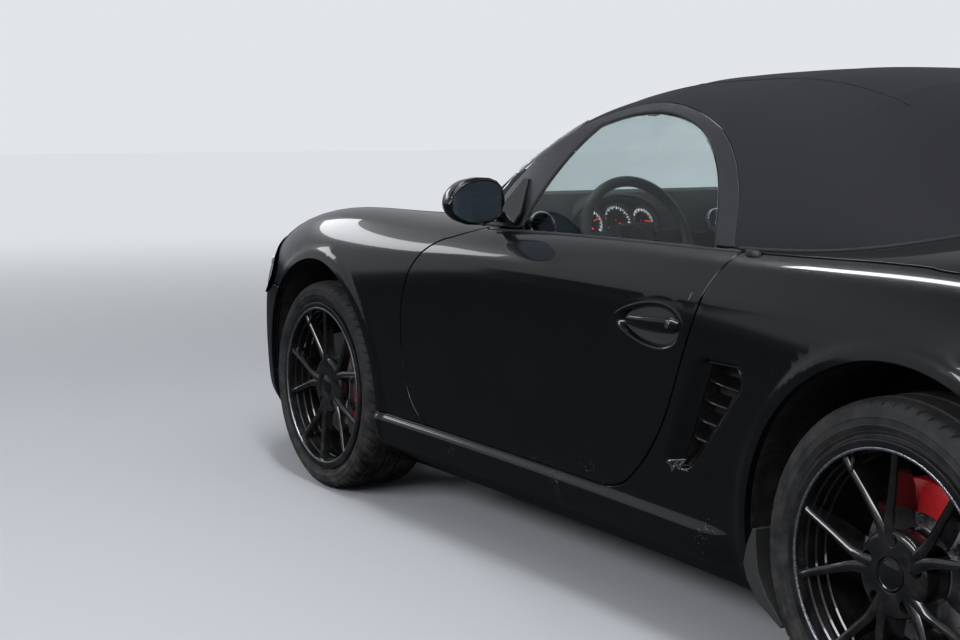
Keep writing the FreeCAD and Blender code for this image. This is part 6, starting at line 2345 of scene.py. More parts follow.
@dataclass
class Handle:
    """A bow handle across the bowl in the door, with its lock."""

    shell: BodyShell
    front_x: float = -276.0
    rear_x: float = -478.0
    z: float = 720.0

    def build(self) -> None:
        """Makes both handles."""
        skin = self.shell.skin
        shares = np.linspace(0, 1, 27)
        x = self.front_x + shares * (self.rear_x - self.front_x)
        place = skin.side_line(np.stack([x, np.full(27, self.z)], 1))
        base = skin.plain(*place.T)[:, 1]
        y = base - 9 + 13 * np.sin(math.pi * np.clip(shares, 0, 1)) ** 0.8
        high = np.interp(shares, [0, 0.1, 0.45, 0.8, 0.93, 1], [4, 10, 13.5, 15.5, 16, 8])
        thick = np.interp(shares, [0, 0.1, 0.5, 0.85, 1], [3, 5, 6.5, 8.5, 5])
        angle = round_angles(24)
        rings = []
        for px, py, a, b, share in zip(x, y, high, thick, shares):
            middle = self.z - 3 + 9 * share
            rings.append(np.stack([
                np.full(24, px),
                py + b * np.sign(np.cos(angle)) * np.abs(np.cos(angle)) ** 0.75,
                middle + a * np.sin(angle)], 1))
        bow = Maker.loft("door_handle_left", np.array(rings), BLACK_PAINT, angle=60.0)
        lock = self.lock(float(np.interp(0.86, shares, y)) + 7.4)
        for piece, slot in ((bow, "paint"), (lock, "rim")):
            other = Maker.mirrored(piece, piece.name.replace("left", "right"))
            dress("door_left", slot, piece)
            dress("door_right", slot, other)

    def lock(self, y: float) -> bpy.types.Object:
        """The lock's bright oval with its key slot."""
        centre = (-452.0, y, 726.0)
        angle = round_angles(32)
        rings = []
        for size, rise in ((1.0, -4), (1.0, 1.2), (0.92, 2.0), (0.7, 2.4)):
            rings.append(np.stack([centre[0] + 6.5 * size * np.cos(angle),
                                   np.full(32, y + rise),
                                   centre[2] + 9.5 * size * np.sin(angle)], 1))
        oval = Maker.loft("door_lock_left", np.array(rings), CHROME, angle=50.0)
        slot = Maker.block("slot", (centre[0] - 0.9, y + 1, centre[2] - 4.5),
                           (centre[0] + 0.9, y + 6, centre[2] + 4.5), CHROME, 0)
        Maker.drilled(oval, [slot])
        return oval


@dataclass
class Intake:
    """The four slats and the rim of the scoop behind the door."""

    shell: BodyShell
    slats: tuple[tuple[float, float, float], ...] = (
        (-562, -706, 616), (-544, -668, 572), (-525, -630, 528), (-507, -594, 487))
    rim_r: float = 1.6

    def build(self) -> None:
        """Makes both intakes."""
        made = [self.slat(*slat) for slat in self.slats]
        slats = Maker.joined("intake_slats_left", *made)
        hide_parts("side_intakes")
        for piece in (slats, self.rim(), self.duct()):
            other = Maker.mirrored(piece, piece.name.replace("left", "right"))
            dress("body", "black_plastic", piece, other)

    def skin_y(self, x: np.ndarray, z: np.ndarray) -> np.ndarray:
        """The plain skin's y at points of the side view."""
        skin = self.shell.skin
        return skin.plain(*skin.side_line(np.stack([x, z], 1)).T)[:, 1]

    def slat(self, front: float, rear: float, z: float) -> bpy.types.Object:
        """One slat.

        Args:
            front: The x of its front end.
            rear: The x of its rear end.
            z: Its height.

        Returns:
            The new object.
        """
        share = np.linspace(0, 1, 16)
        x = front + share * (rear - front)
        height = z + 3 - 6 * share
        skin = self.skin_y(x, height)
        outer = skin - 9.0 - 21.0 * (1 - share) ** 3
        inner = skin - self.shell.duct_depth - 12
        rings = []
        for px, y1, y0, h in zip(x, outer, inner, height):
            rings.append([(px, y0, h + 9 - 3), (px, y1 - 4, h - 3), (px, y1 - 1.2, h - 2.4),
                          (px, y1, h - 1), (px, y1, h + 0.6), (px, y1 - 1.2, h + 2),
                          (px, y1 - 4, h + 3), (px, y0, h + 9 + 3)])
        return Maker.loft("slat", np.array(rings), GLOSS_PLASTIC, angle=60.0)

    def rim(self) -> bpy.types.Object:
        """The rolled rim round the opening, except along its front."""
        line = VENT.points(6.0)
        line = line[self.shell.front_edge(line) > 62.0]
        far = int(np.argmax(np.linalg.norm(line - np.roll(line, 1, 0), axis=1)))
        line = np.roll(line, -far, 0)
        ahead = np.gradient(line, axis=0)
        inward = unit_rows(np.stack([-ahead[:, 1], ahead[:, 0]], 1))
        line = line + inward * 3.0
        y = self.skin_y(line[:, 0], line[:, 1]) - 2.2
        points = np.stack([line[:, 0], y, line[:, 1]], 1)
        size = self.rim_r * np.sin(np.linspace(0.15, math.pi - 0.15, len(points))) ** 0.35
        return Maker.tube("intake_rim_left", points, size, GLOSS_PLASTIC, False, 10)

    def duct(self) -> bpy.types.Object:
        """The dark cup behind the opening."""
        line = VENT.points(8.0)
        middle = line.mean(0)
        y = self.skin_y(line[:, 0], line[:, 1])
        rings = []
        for size, deep in ((1.07, 31), (1.07, 76), (0.02, 76), (0.02, 71), (1.03, 71),
                           (1.03, 31)):
            flat = middle + (line - middle) * size
            rings.append(np.stack([flat[:, 0], y - deep, flat[:, 1]], 1))
        return Maker.loft("intake_duct_left", np.array(rings), LINER, closed=True)


@dataclass
class Lamps:
    """Headlamps, tail lamps and the small side lamps."""

    shell: BodyShell

    def build(self) -> None:
        """Makes all lamps."""
        for panel, node, name, finish, slot, shift in (
                (Panel.HEADLAMP, "headlamps", "headlamp", LAMP_GLASS, "lamp", (-38, -8)),
                (Panel.TAIL_LAMP, "tail_lamps", "tail_lamp", RED_LENS, "tail_lamp",
                 (34, -4))):
            surface = self.shell.cut(panel)
            lens = self.shell.cut(panel).hem(Hem(0.8, 1.2, 3.2, 2, True), False)
            surface.points = surface.points + np.array([shift[0], -4.0, shift[1]])
            bucket = surface.hem(Hem(6.0, 2.0, -26.0, 2), False)
            for side in ("left", "right"):
                shape = lens if side == "left" else lens.mirrored()
                piece = shape.piece(f"{name}_lens_{side}", finish.material())
                if side == "left":
                    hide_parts(node)
                dress("body", slot, piece)
                shape = bucket if side == "left" else bucket.mirrored()
                inside = REFLECTOR if panel is Panel.TAIL_LAMP else GLOSS_PLASTIC
                dress("body", slot, shape.piece(f"{name}_bucket_{side}",
                                                inside.material()))
        self.lights()
        self.side_lamps()

    def on_front(self, y: float, z: float, front: bool) -> np.ndarray:
        """The skin's point at (y, z) seen from one end."""
        place = self.shell.skin.end_line(np.array([[y, z]]), front)
        return self.shell.skin.plain(*place.T)[0]

    def lights(self) -> None:
        """Projectors behind the front lens, and bowls behind the rear one."""
        made = []
        for y, z, radius in ((630, 628, 34), (712, 648, 30)):
            spot = self.on_front(y, z, True) - (42, 0, 4)
            x = spot[0]
            ring = Maker.turned("projector", [(radius - 5, -9), (radius, -9), (radius, 8),
                                              (radius - 3, 10), (radius - 5, 8)],
                                (0, 0, 0), REFLECTOR, 48)
            ball = Maker.turned("projector", [(0.2, -14), (radius - 6, -12),
                                              (radius - 7, -2), (0.66 * radius, 5),
                                              (0.36 * radius, 9), (0.2, 10.5)],
                                (0, 0, 0), REFLECTOR, 48)
            for piece in (ring, ball):
                turn = Matrix.Rotation(-math.pi / 2, 4, "Z")
                piece.data.transform(Matrix.Translation((x * MM, y * MM, z * MM)) @ turn)
            made += [ring, ball]
        self.both(Maker.joined("headlamp_projectors_left", *made), "lamp")
        strip = np.array([self.on_front(y, z, True) - (16, 2, 2)
                          for y, z in ((590, 690), (640, 712), (700, 722), (750, 714))])
        self.both(Maker.tube("headlamp_strip_left", strip, 3.2, SIDE_LAMP, False, 8), "lamp")
        bowls = []
        for y, z, radius in ((520, 716, 26), (590, 718, 24), (690, 712, 28)):
            spot = self.on_front(y, z, False) + (22, 0, 0)
            bowl = Maker.turned("bowl", [(0.2, -8), (0.5 * radius, -7), (0.85 * radius, -3),
                                         (radius, 5), (radius + 2, 6), (radius + 2, -10),
                                         (0.2, -10)], (0, 0, 0), REFLECTOR, 40)
            turn = Matrix.Rotation(math.pi / 2, 4, "Z")
            bowl.data.transform(Matrix.Translation(Vector(spot) * MM) @ turn)
            bowls.append(bowl)
        self.both(Maker.joined("tail_lamp_bowls_left", *bowls), "tail_lamp")

    def side_lamps(self) -> None:
        """The clear lamp in the nose's corner."""
        line = np.array([(1962, 590), (1990, 583), (2016, 577), (2038, 571)], float)
        skin = self.shell.skin
        place = skin.side_line(line)
        middle = skin.points(*place.T)
        up = skin.normals(*place.T)
        rings = []
        for point, normal, size in zip(middle, up, (3.0, 8.0, 8.0, 2.5)):
            over = np.array([0.0, 0.0, 1.0])
            over = over - normal * (over @ normal)
            ring = []
            for angle in round_angles(14):
                ring.append(point + over * size * math.sin(angle)
                            + normal * (0.6 + 2.6 * math.cos(angle)))
            rings.append(ring)
        self.both(Maker.loft("side_lamp_left", np.array(rings), SIDE_LAMP, angle=60.0),
                  "lamp")

    @staticmethod
    def both(piece: bpy.types.Object, slot: str) -> None:
        """Lets a piece and its mirror image ride on the body."""
        other = Maker.mirrored(piece, piece.name.replace("left", "right"))
        dress("body", slot, piece, other)


@dataclass
class Details:
    """Small parts outside: flaps, guards, grilles, wipers, tailpipe, spoiler and marks."""

    shell: BodyShell

    def build(self) -> None:
        """Makes them all."""
        self.flaps()
        self.chipped_edge()
        self.grilles()
        self.wipers()
        self.tailpipe()
        self.spoiler()
        self.belt_strips()
        self.marks()
        self.deck_strip()
        self.towing_covers()

    def flaps(self) -> None:
        """The guard ahead of each rear wheel."""
        outline = np.array([(-748, 338), (-731, 300), (-722, 258), (-735, 226), (-772, 186),
                            (-842, 150), (-850, 158), (-797, 205), (-768, 250),
                            (-760, 300), (-757, 338)], float)

        def place(flat: np.ndarray, height: float) -> np.ndarray:
            """Puts the flap upright beside the body."""
            return np.stack([flat[:, 0], np.full(len(flat), height), flat[:, 1]], 1)

        flap = Maker.plate("rear_flap_left", [outline], 770.0, 884.0, place, BLACK_PLASTIC)
        Maker.bevelled(flap, 2.0, 2)
        Lamps.both(flap, "black_plastic")

    def chipped_edge(self) -> None:
        """The rough lip of the rear arch, where stones have hit it."""
        radius = REAR_ARCH_R
        angle = np.radians(np.linspace(148, 202, 60))
        x = REAR_AXLE[0] + radius * np.cos(angle)
        z = REAR_AXLE[1] + radius * np.sin(angle)
        skin = self.shell.skin
        place = skin.side_line(np.stack([x, z], 1))
        y = skin.plain(*place.T)[:, 1]
        rng = np.random.default_rng(11)
        rings = []
        for px, py, pz, a in zip(x, y, z, angle):
            out = np.array([math.cos(a), 0.0, math.sin(a)])
            ring = []
            for depth, rise in ((-4, 0.6), (-16, 1.4), (-34, 1.8), (-52, 1.2), (-52, -3),
                                (-4, -3)):
                wave = rng.uniform(-0.5, 0.5) if rise > 0 else 0.0
                ring.append(np.array([px, py + depth, pz]) - out * (rise + wave))
            rings.append(ring)
        Lamps.both(Maker.loft("arch_guard_left", np.array(rings), CHIPPED, angle=25.0),
                   "black_plastic")
        dots = []
        for _ in range(130):
            a = math.radians(rng.uniform(150, 200))
            far = radius - rng.uniform(1.2, 3.0)
            depth = rng.uniform(5, 46)
            at = np.array([REAR_AXLE[0] + far * math.cos(a), 0.0,
                           REAR_AXLE[1] + far * math.sin(a)])
            at[1] = float(np.interp(a, angle, y)) - depth
            size = rng.uniform(0.5, 1.9)
            spots = round_angles(5)
            inward = np.array([-math.cos(a), 0.0, -math.sin(a)])
            side = np.array([-math.sin(a), 0.0, math.cos(a)])
            ring = [at + side * size * math.cos(s) * 1.6 + np.array([0, 1, 0]) * size
                    * math.sin(s) for s in spots]
            dots.append((np.array(ring), inward))
        points, faces = [], []
        for ring, inward in dots:
            base = len(points)
            points += list(ring) + [ring.mean(0) + inward * 0.7]
            faces += [(base + i, base + (i + 1) % 5, base + 5) for i in range(5)]
            faces.append(tuple(base + i for i in range(5))[::-1])
        Lamps.both(Maker.mesh("stone_chips_left", points, faces, SCRATCH), "black_plastic")

    def grilles(self) -> None:
        """Bars across the three openings in the nose."""
        made = []
        for z in np.linspace(202, 288, 5):
            made.append(Maker.block("bar", (NOSE_X - 92, -330, z - 2.2),
                                    (NOSE_X - 78, 330, z + 2.2), GRILLE_MESH, 1.2, 2))
        for y in np.linspace(-300, 300, 13):
            made.append(Maker.block("bar", (NOSE_X - 90, y - 1.8, 190),
                                    (NOSE_X - 80, y + 1.8, 300), GRILLE_MESH, 0.8, 1))
        made.append(Maker.block("bar", (NOSE_X - 96, -330, 190), (NOSE_X - 93, 330, 300),
                                GRILLE_MESH, 0))
        for side in (-1, 1):
            for z in np.linspace(214, 316, 5):
                low, high = sorted((430 * side, 690 * side))
                made.append(Maker.block("bar", (NOSE_X - 212, low, z - 2.4),
                                        (NOSE_X - 197, high, z + 2.4), GRILLE_MESH, 1.2, 2))
            low, high = sorted((430 * side, 690 * side))
            made.append(Maker.block("bar", (NOSE_X - 216, low, 200),
                                    (NOSE_X - 213, high, 330), GRILLE_MESH, 0))
        piece = Maker.joined("nose_grilles", *made)
        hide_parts("front_grilles")
        dress("body", "black_plastic", piece)

    def on_top(self, x: float, y: float) -> np.ndarray:
        """The body's point over (x, y)."""
        skin = self.shell.skin
        place = skin.top_line(np.array([[x, abs(y)]]))
        return skin.plain(*place.T)[0] * (1, math.copysign(1, y) if y else 1, 1)

    def wipers(self) -> None:
        """Two wipers that rest at the windscreen's foot."""
        for name, pivot in (("left", (842.0, 250.0)), ("right", (842.0, -350.0))):
            foot = self.on_top(*pivot)
            line = []
            for share in np.linspace(0, 1, 12):
                x = pivot[0] - 22 - 60 * share
                y = pivot[1] + 520 * share * (1 if name == "right" else 0.82)
                y = min(y, 640.0)
                line.append((x, y))
            height = []
            for x, y in line:
                top = self.on_top(max(x, 640.0), y)
                height.append((x, y, max(top[2] + 16, 860)))
            arm = Maker.tube(f"wiper_arm_{name}", np.array(height)[:8], 4.0, BLACK_PLASTIC,
                             False, 8)
            blade = Maker.tube(f"wiper_blade_{name}", np.array(height)[2:] - (6, 0, 5), 4.5,
                               BLADE_RUBBER, False, 6)
            boss = Maker.rod(f"wiper_boss_{name}", tuple(foot - (0, 0, 6)),
                             tuple(foot + (-2, 0, 18)), 13, BLACK_PLASTIC, 2.0)
            dress("body", "black_plastic", arm, boss)
            dress("body", "rubber", blade)

    def tailpipe(self) -> None:
        """The polished end of the tailpipe, and the silencer."""
        silencer = Maker.copy("exhaust", "silencer_and_pipe", EXHAUST_STEEL, 5.0)
        dress("body", "exhaust", silencer)
        angle = round_angles(56)
        rings = []
        for x, radius in ((TAIL_X + 150, 53.5), (TAIL_X + 12, 55), (TAIL_X + 7, 54.4),
                          (TAIL_X + 5.5, 52.5), (TAIL_X + 7, 50.6), (TAIL_X + 14, 49.6),
                          (TAIL_X + 120, 48.4)):
            rings.append(np.stack([np.full(56, x), radius * np.cos(angle) * 1.06,
                                   262 + radius * np.sin(angle) * 0.99], 1))
        dress("body", "exhaust", Maker.loft("tailpipe_tip", np.array(rings), CHROME,
                                            caps=False, closed=True, angle=40.0))

    def spoiler(self) -> None:
        """The flat strip of the rear spoiler, laid in the tail behind the boot lid."""
        rings = []
        for y in np.linspace(-440, 440, 45):
            at = self.on_top(-2058 + 34 * (y / 440) ** 2, y)
            ring = [at + np.array([dx, 0, dz]) for dx, dz in (
                (20, 0.5), (14, 3.2), (0, 4.2), (-14, 2.6), (-22, -2.0), (-20, -5.0),
                (18, -5.0))]
            rings.append(ring)
        piece = Maker.loft("tail_spoiler", np.array(rings), BLACK_PAINT, angle=30.0)
        dress("body", "paint", piece)

    def belt_strips(self) -> None:
        """The dark strip along the door's upper edge, below the glass."""
        for side, name in ((1, "left"), (-1, "right")):
            rings = []
            for x in np.linspace(378, -590, 70):
                at = self.on_top(x, 797.0)
                base = np.array([x, 0.0, at[2]])
                ring = [base + np.array([0.0, dy, dz]) for dy, dz in (
                    (801, -2.2), (800, 1.2), (796, 3.4), (791.5, 3.2), (789.5, 1.0),
                    (789.5, -9.0), (798, -9.0))]
                rings.append(np.array(ring) * (1, side, 1))
            dress(f"door_{name}", "rubber", Maker.loft(
                f"door_belt_{name}", np.array(rings), SATIN_TRIM, angle=50.0))

    def deck_strip(self) -> None:
        """The lamp strip in the boot lid's middle."""
        rings = []
        for y in np.linspace(-110, 110, 23):
            at = self.on_top(-1985, y)
            ring = [at + np.array([dx, 0, dz]) for dx, dz in (
                (7, -1), (5, 1.6), (0, 2.4), (-6, 1.2), (-8, -2.0), (0, -3))]
            rings.append(ring)
        dress("boot_lid", "tail_lamp", Maker.loft("boot_stop_lamp", np.array(rings),
                                                  RED_LENS, angle=40.0))

    def towing_covers(self) -> None:
        """The outlines of the small caps in the nose and tail that cover the towing eye's
        thread.
        """
        for name, y, front in (("front", -480.0, True), ("rear", 470.0, False)):
            skin = self.shell.skin
            angle = round_angles(36)
            line = np.stack([abs(y) + 24 * np.cos(angle), (430 if front else 470)
                             + 24 * np.sin(angle)], 1)
            place = skin.end_line(line, front)
            points = skin.plain(*place.T) * (1, math.copysign(1, y), 1)
            dress("body", "black_plastic", Maker.tube(
                f"towing_cover_line_{name}", points, 0.9, LINER, True, 6))

    def marks(self) -> None:
        """The scratches that the photograph shows on the left side."""
        skin = self.shell.skin
        for name, body, line, finish, width in (
                ("scratch_door", "door_left",
                 [(-516, 800), (-518, 795), (-514, 789), (-510, 785)], SCRATCH, 2.2),
                ("scratch_door_tip", "door_left", [(-523, 802), (-516, 800)], SCRATCH, 1.4),
                ("scratch_quarter", "body", [(-800, 676), (-803, 666), (-808, 655)],
                 DARK_SCRATCH, 1.8)):
            place = skin.side_line(np.array(line, float))
            middle = skin.points(*place.T)
            normal = skin.normals(*place.T)
            radius = np.interp(np.linspace(0, 1, len(line)), [0, 0.5, 1], [0.5, width, 0.4])
            points = middle + normal * SCRATCH_LIFT
            piece = Maker.tube(name, points, radius * 0.35, finish, False, 6)
            dress(body, "paint", piece)


EXHAUST_STEEL = Finish("exhaust_steel", (0.32, 0.31, 0.3), 0.38, metallic=1.0, mottle=0.25,
                       bump=0.2, dust=0.4, dust_top=0.6)


SEAT_LEATHER = Finish("seat_leather", (0.014, 0.0142, 0.015), 0.44, mottle=0.2,
                      mottle_scale=14, bump=0.5, relief="hide", relief_scale=420.0)
PERFORATED = Finish("seat_middle", (0.019, 0.0195, 0.0205), 0.62, mottle=0.2,
                    mottle_scale=14, bump=0.4, relief="hide", relief_scale=620.0)
SEAT_SHELL = Finish("seat_shell", (0.016, 0.0162, 0.017), 0.5, bump=0.3)
SOFT_DASH = Finish("soft_dash", (0.011, 0.0112, 0.012), 0.6, bump=0.4)
CARPET = Finish("carpet", (0.012, 0.0122, 0.013), 0.95, mottle=0.3, mottle_scale=30,
                bump=0.8, relief_scale=1400, sheen=0.2)
DIAL_FACE = Finish("dial_face", (0.006, 0.0062, 0.007), 0.3, coat=0.8)
DIAL_MARK = Finish("dial_mark", (0.85, 0.87, 0.9), 0.4, glow=1.6)
DIAL_RED = Finish("dial_red", (0.85, 0.03, 0.02), 0.4, glow=1.4)
DIAL_GREEN = Finish("dial_green", (0.04, 0.75, 0.16), 0.4, glow=1.2)
TUB_METAL = Finish("tub_metal", (0.022, 0.0225, 0.024), 0.55, metallic=0.4, bump=0.2,
                   dust=0.35, dust_top=0.5)
ENGINE_METAL = Finish("engine_metal", (0.2, 0.2, 0.205), 0.45, metallic=0.85, mottle=0.3,
                      bump=0.4, dust=0.3, dust_top=0.7)
SCREEN_GLASS = Finish("screen_glass", (0.004, 0.004, 0.005), 0.05, coat=1.0)


def placed(piece: bpy.types.Object, place: Matrix) -> bpy.types.Object:
    """Moves a piece's points, given in millimetres by a matrix, and returns the piece."""
    in_metres = place.copy()
    in_metres.translation = in_metres.translation * MM
    piece.data.transform(in_metres)
    return piece


def axes(origin: Triple, across: Triple, ahead: Triple) -> Matrix:
    """The matrix of a local frame.

    Args:
        origin: Its origin in millimetres.
        across: The way of its first axis.
        ahead: The way of its second axis.

    Returns:
        The matrix, whose third axis is square to both.
    """
    first = Vector(across).normalized()
    second = Vector(ahead).normalized()
    third = first.cross(second)
    made = Matrix((first, second, third)).transposed().to_4x4()
    made.translation = Vector(origin)
    return made


@dataclass(frozen=True)
class Pad:
    """A stuffed pad, swollen by the cloth simulation. Lengths are in millimetres."""

    name: str
    size: Triple
    finish: Finish
    cap: float = 22.0
    voxel: float = 10.0
    pressure: float = 4.0
    channels: tuple[float, ...] = ()
    taper: float = 0.0

    def build(self) -> bpy.types.Object:
        """Makes the pad round its own origin: length along X, width along Y."""
        length, width, thick = (part / 2 for part in self.size)
        pad = Maker.block(self.name, (-length, -width, -thick), (length, width, thick),
                          self.finish, min(thick, width) * 0.45, 3)
        self.remeshed(pad)
        self.swell(pad)
        self.grown(pad)
        self.shaped(pad)
        return pad

    def remeshed(self, pad: bpy.types.Object) -> None:
        """Gives the pad an even mesh."""
        remesh = pad.modifiers.new("remesh", "REMESH")
        remesh.mode = "VOXEL"
        remesh.voxel_size = self.voxel * MM
        remesh.use_smooth_shade = True
        self.applied(pad, remesh.name)

    def swell(self, pad: bpy.types.Object) -> None:
        """Swells the pad under pressure and caps how far its points move."""
        before = self.points(pad)
        cloth = pad.modifiers.new("cloth", "CLOTH")
        cloth.settings.quality = 5
        cloth.settings.mass = 0.3
        cloth.settings.tension_stiffness = 25
        cloth.settings.compression_stiffness = 25
        cloth.settings.shear_stiffness = 8
        cloth.settings.bending_stiffness = 1.5
        cloth.settings.use_pressure = True
        cloth.settings.uniform_pressure_force = self.pressure
        cloth.settings.effector_weights.gravity = 0
        cloth.point_cache.frame_start = 1
        cloth.point_cache.frame_end = 20
        for step in range(1, 21):
            bpy.context.scene.frame_set(step)
        self.applied(pad, cloth.name)
        bpy.context.scene.frame_set(1)
        moved = self.points(pad) - before
        far = np.linalg.norm(moved, axis=1, keepdims=True)
        cap = self.cap * MM
        moved *= np.minimum(far, cap) / np.maximum(far, 1e-9)
        pad.data.vertices.foreach_set("co", (before + moved).ravel())
        pad.data.update()

    def grown(self, pad: bpy.types.Object) -> None:
        """Subdivides the pad once."""
        finer = pad.modifiers.new("subdivision", "SUBSURF")
        finer.levels = 1
        finer.render_levels = 1
        self.applied(pad, finer.name)

    def shaped(self, pad: bpy.types.Object) -> None:
        """Sinks the sewn channels and the piping seam, and narrows the pad's far end."""
        points = self.points(pad) / MM
        x, _, z = points.T
        high = np.maximum(z, 0) / max(self.size[2] / 2, 1.0)
        top = np.clip(high, 0, 1)
        for line in self.channels:
            dip = 5.5 * np.exp(-((x - line) / 5.5) ** 2)
            points[:, 2] -= dip * top
        seam = np.exp(-((z - self.size[2] * 0.18) / 3.5) ** 2)
        inner = 1 - 0.006 * seam
        points[:, 0] *= inner
        points[:, 1] *= inner
        share = np.clip(x / self.size[0] + 0.5, 0, 1)
        points[:, 1] *= 1 - self.taper * share
        pad.data.vertices.foreach_set("co", (points * MM).ravel())
        pad.data.update()
        pad.data.shade_smooth()

    @staticmethod
    def points(pad: bpy.types.Object) -> np.ndarray:
        """The pad's points, in metres."""
        found = np.empty(len(pad.data.vertices) * 3)
        pad.data.vertices.foreach_get("co", found)
        return found.reshape(-1, 3)

    @staticmethod
    def applied(pad: bpy.types.Object, name: str) -> None:
        """Applies one of the pad's modifiers."""
        bpy.context.view_layer.objects.active = pad
        pad.select_set(True)
        bpy.ops.object.modifier_apply(modifier=name)
        pad.select_set(False)


@dataclass
class Seat:
    """The two sports seats with a shell, pads sewn in channels and side bolsters."""

    middle: float = 375.0

    def build(self) -> None:
        """Makes the left seat and mirrors it."""
        shells = [self.base(), self.shell()]
        pads = self.cushion_pads() + self.back_pads()
        rest = []
        for piece in shells + pads:
            other = Maker.mirrored(piece, piece.name.replace("left", "right"))
            rest.append(other)
        for piece in (shells[0], rest[0]):
            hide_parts("seats")
        dress("body", "seat_leather", *shells, *pads, *rest)

    def base(self) -> bpy.types.Object:
        """The plinth that the cushion rests on, with its rails."""
        plinth = Maker.block("seat_base_left", (-318, 152, 186), (178, 598, 284),
                             SEAT_SHELL, 22, 4)
        rails = [Maker.block(f"seat_rail_{n}_left", (-300, y - 22, 175.5),
                             (165, y + 22, 200), SEAT_SHELL, 3)
                 for n, y in enumerate((200, 550))]
        return Maker.joined("seat_base_left", plinth, *rails)

    def shell(self) -> bpy.types.Object:
        """The hard shell behind the backrest."""
        line = [(-318, 210), (-372, 330), (-428, 500), (-497, 860), (-490, 985),
                (-470, 1006), (-440, 1003), (-428, 975), (-440, 850), (-372, 520),
                (-300, 330), (-262, 230)]
        side = Outline(*line).points(14)
        made = Maker.plate("seat_shell_left", [side], 172, 578,
                           lambda flat, high: np.stack(
                               [flat[:, 0], np.full(len(flat), high), flat[:, 1]], 1),
                           SEAT_SHELL)
        Maker.bevelled(made, 9, 3, 50)
        made.data.shade_smooth()
        made.data.set_sharp_from_angle(angle=math.radians(40))
        return made

    def cushion_pads(self) -> list[bpy.types.Object]:
        """The cushion's middle and its two bolsters."""
        turn = Matrix.Rotation(math.radians(-5), 4, "Y")
        middle = Pad("seat_cushion_left", (385, 262, 62), PERFORATED,
                     channels=(-130, -65, 0, 65, 130)).build()
        placed(middle, Matrix.Translation((-28, self.middle, 322)) @ turn)
        pieces = [middle]
        for name, way in (("inner", -1), ("outer", 1)):
            pad = Pad(f"seat_cushion_{name}_left", (400, 66, 92), SEAT_LEATHER,
                      cap=16).build()
            tip = Matrix.Rotation(math.radians(-12 * way), 4, "X")
            placed(pad, Matrix.Translation((-32, self.middle + way * 172, 332))
                   @ turn @ tip)
            pieces.append(pad)
        return pieces

    def back_pads(self) -> list[bpy.types.Object]:
        """The backrest's middle, its two bolsters and the headrest."""
        pieces = []
        middle = Pad("seat_back_left", (470, 262, 56), PERFORATED,
                     channels=(-175, -105, -35, 35, 105, 175)).build()
        placed(middle, self.on_back(0, 0, 45))
        pieces.append(middle)
        for name, way in (("inner", -1), ("outer", 1)):
            pad = Pad(f"seat_back_{name}_left", (455, 64, 92), SEAT_LEATHER, cap=16,
                      taper=0.1).build()
            placed(pad, self.on_back(-10, way * 168, 58))
            pieces.append(pad)
        head = Pad("headrest_left", (165, 232, 58), SEAT_LEATHER, cap=18,
                   taper=0.18).build()
        placed(head, self.on_back(350, 0, 36))
        pieces.append(head)
        return pieces

    def on_back(self, up: float, across: float, out: float) -> Matrix:
        """A place on the backrest: up it, across the car and out of it."""
        foot, top = Vector((-338.0, 0, 420.0)), Vector((-462.0, 0, 975.0))
        way = (top - foot).normalized()
        over = Vector((way.z, 0, -way.x))
        middle = foot + way * 285 + way * up + over * out
        made = axes((middle.x, self.middle + across, middle.z), tuple(way), (0, 1, 0))
        return made if made.col[2].x > 0 else made @ Matrix.Diagonal((1, -1, -1, 1))


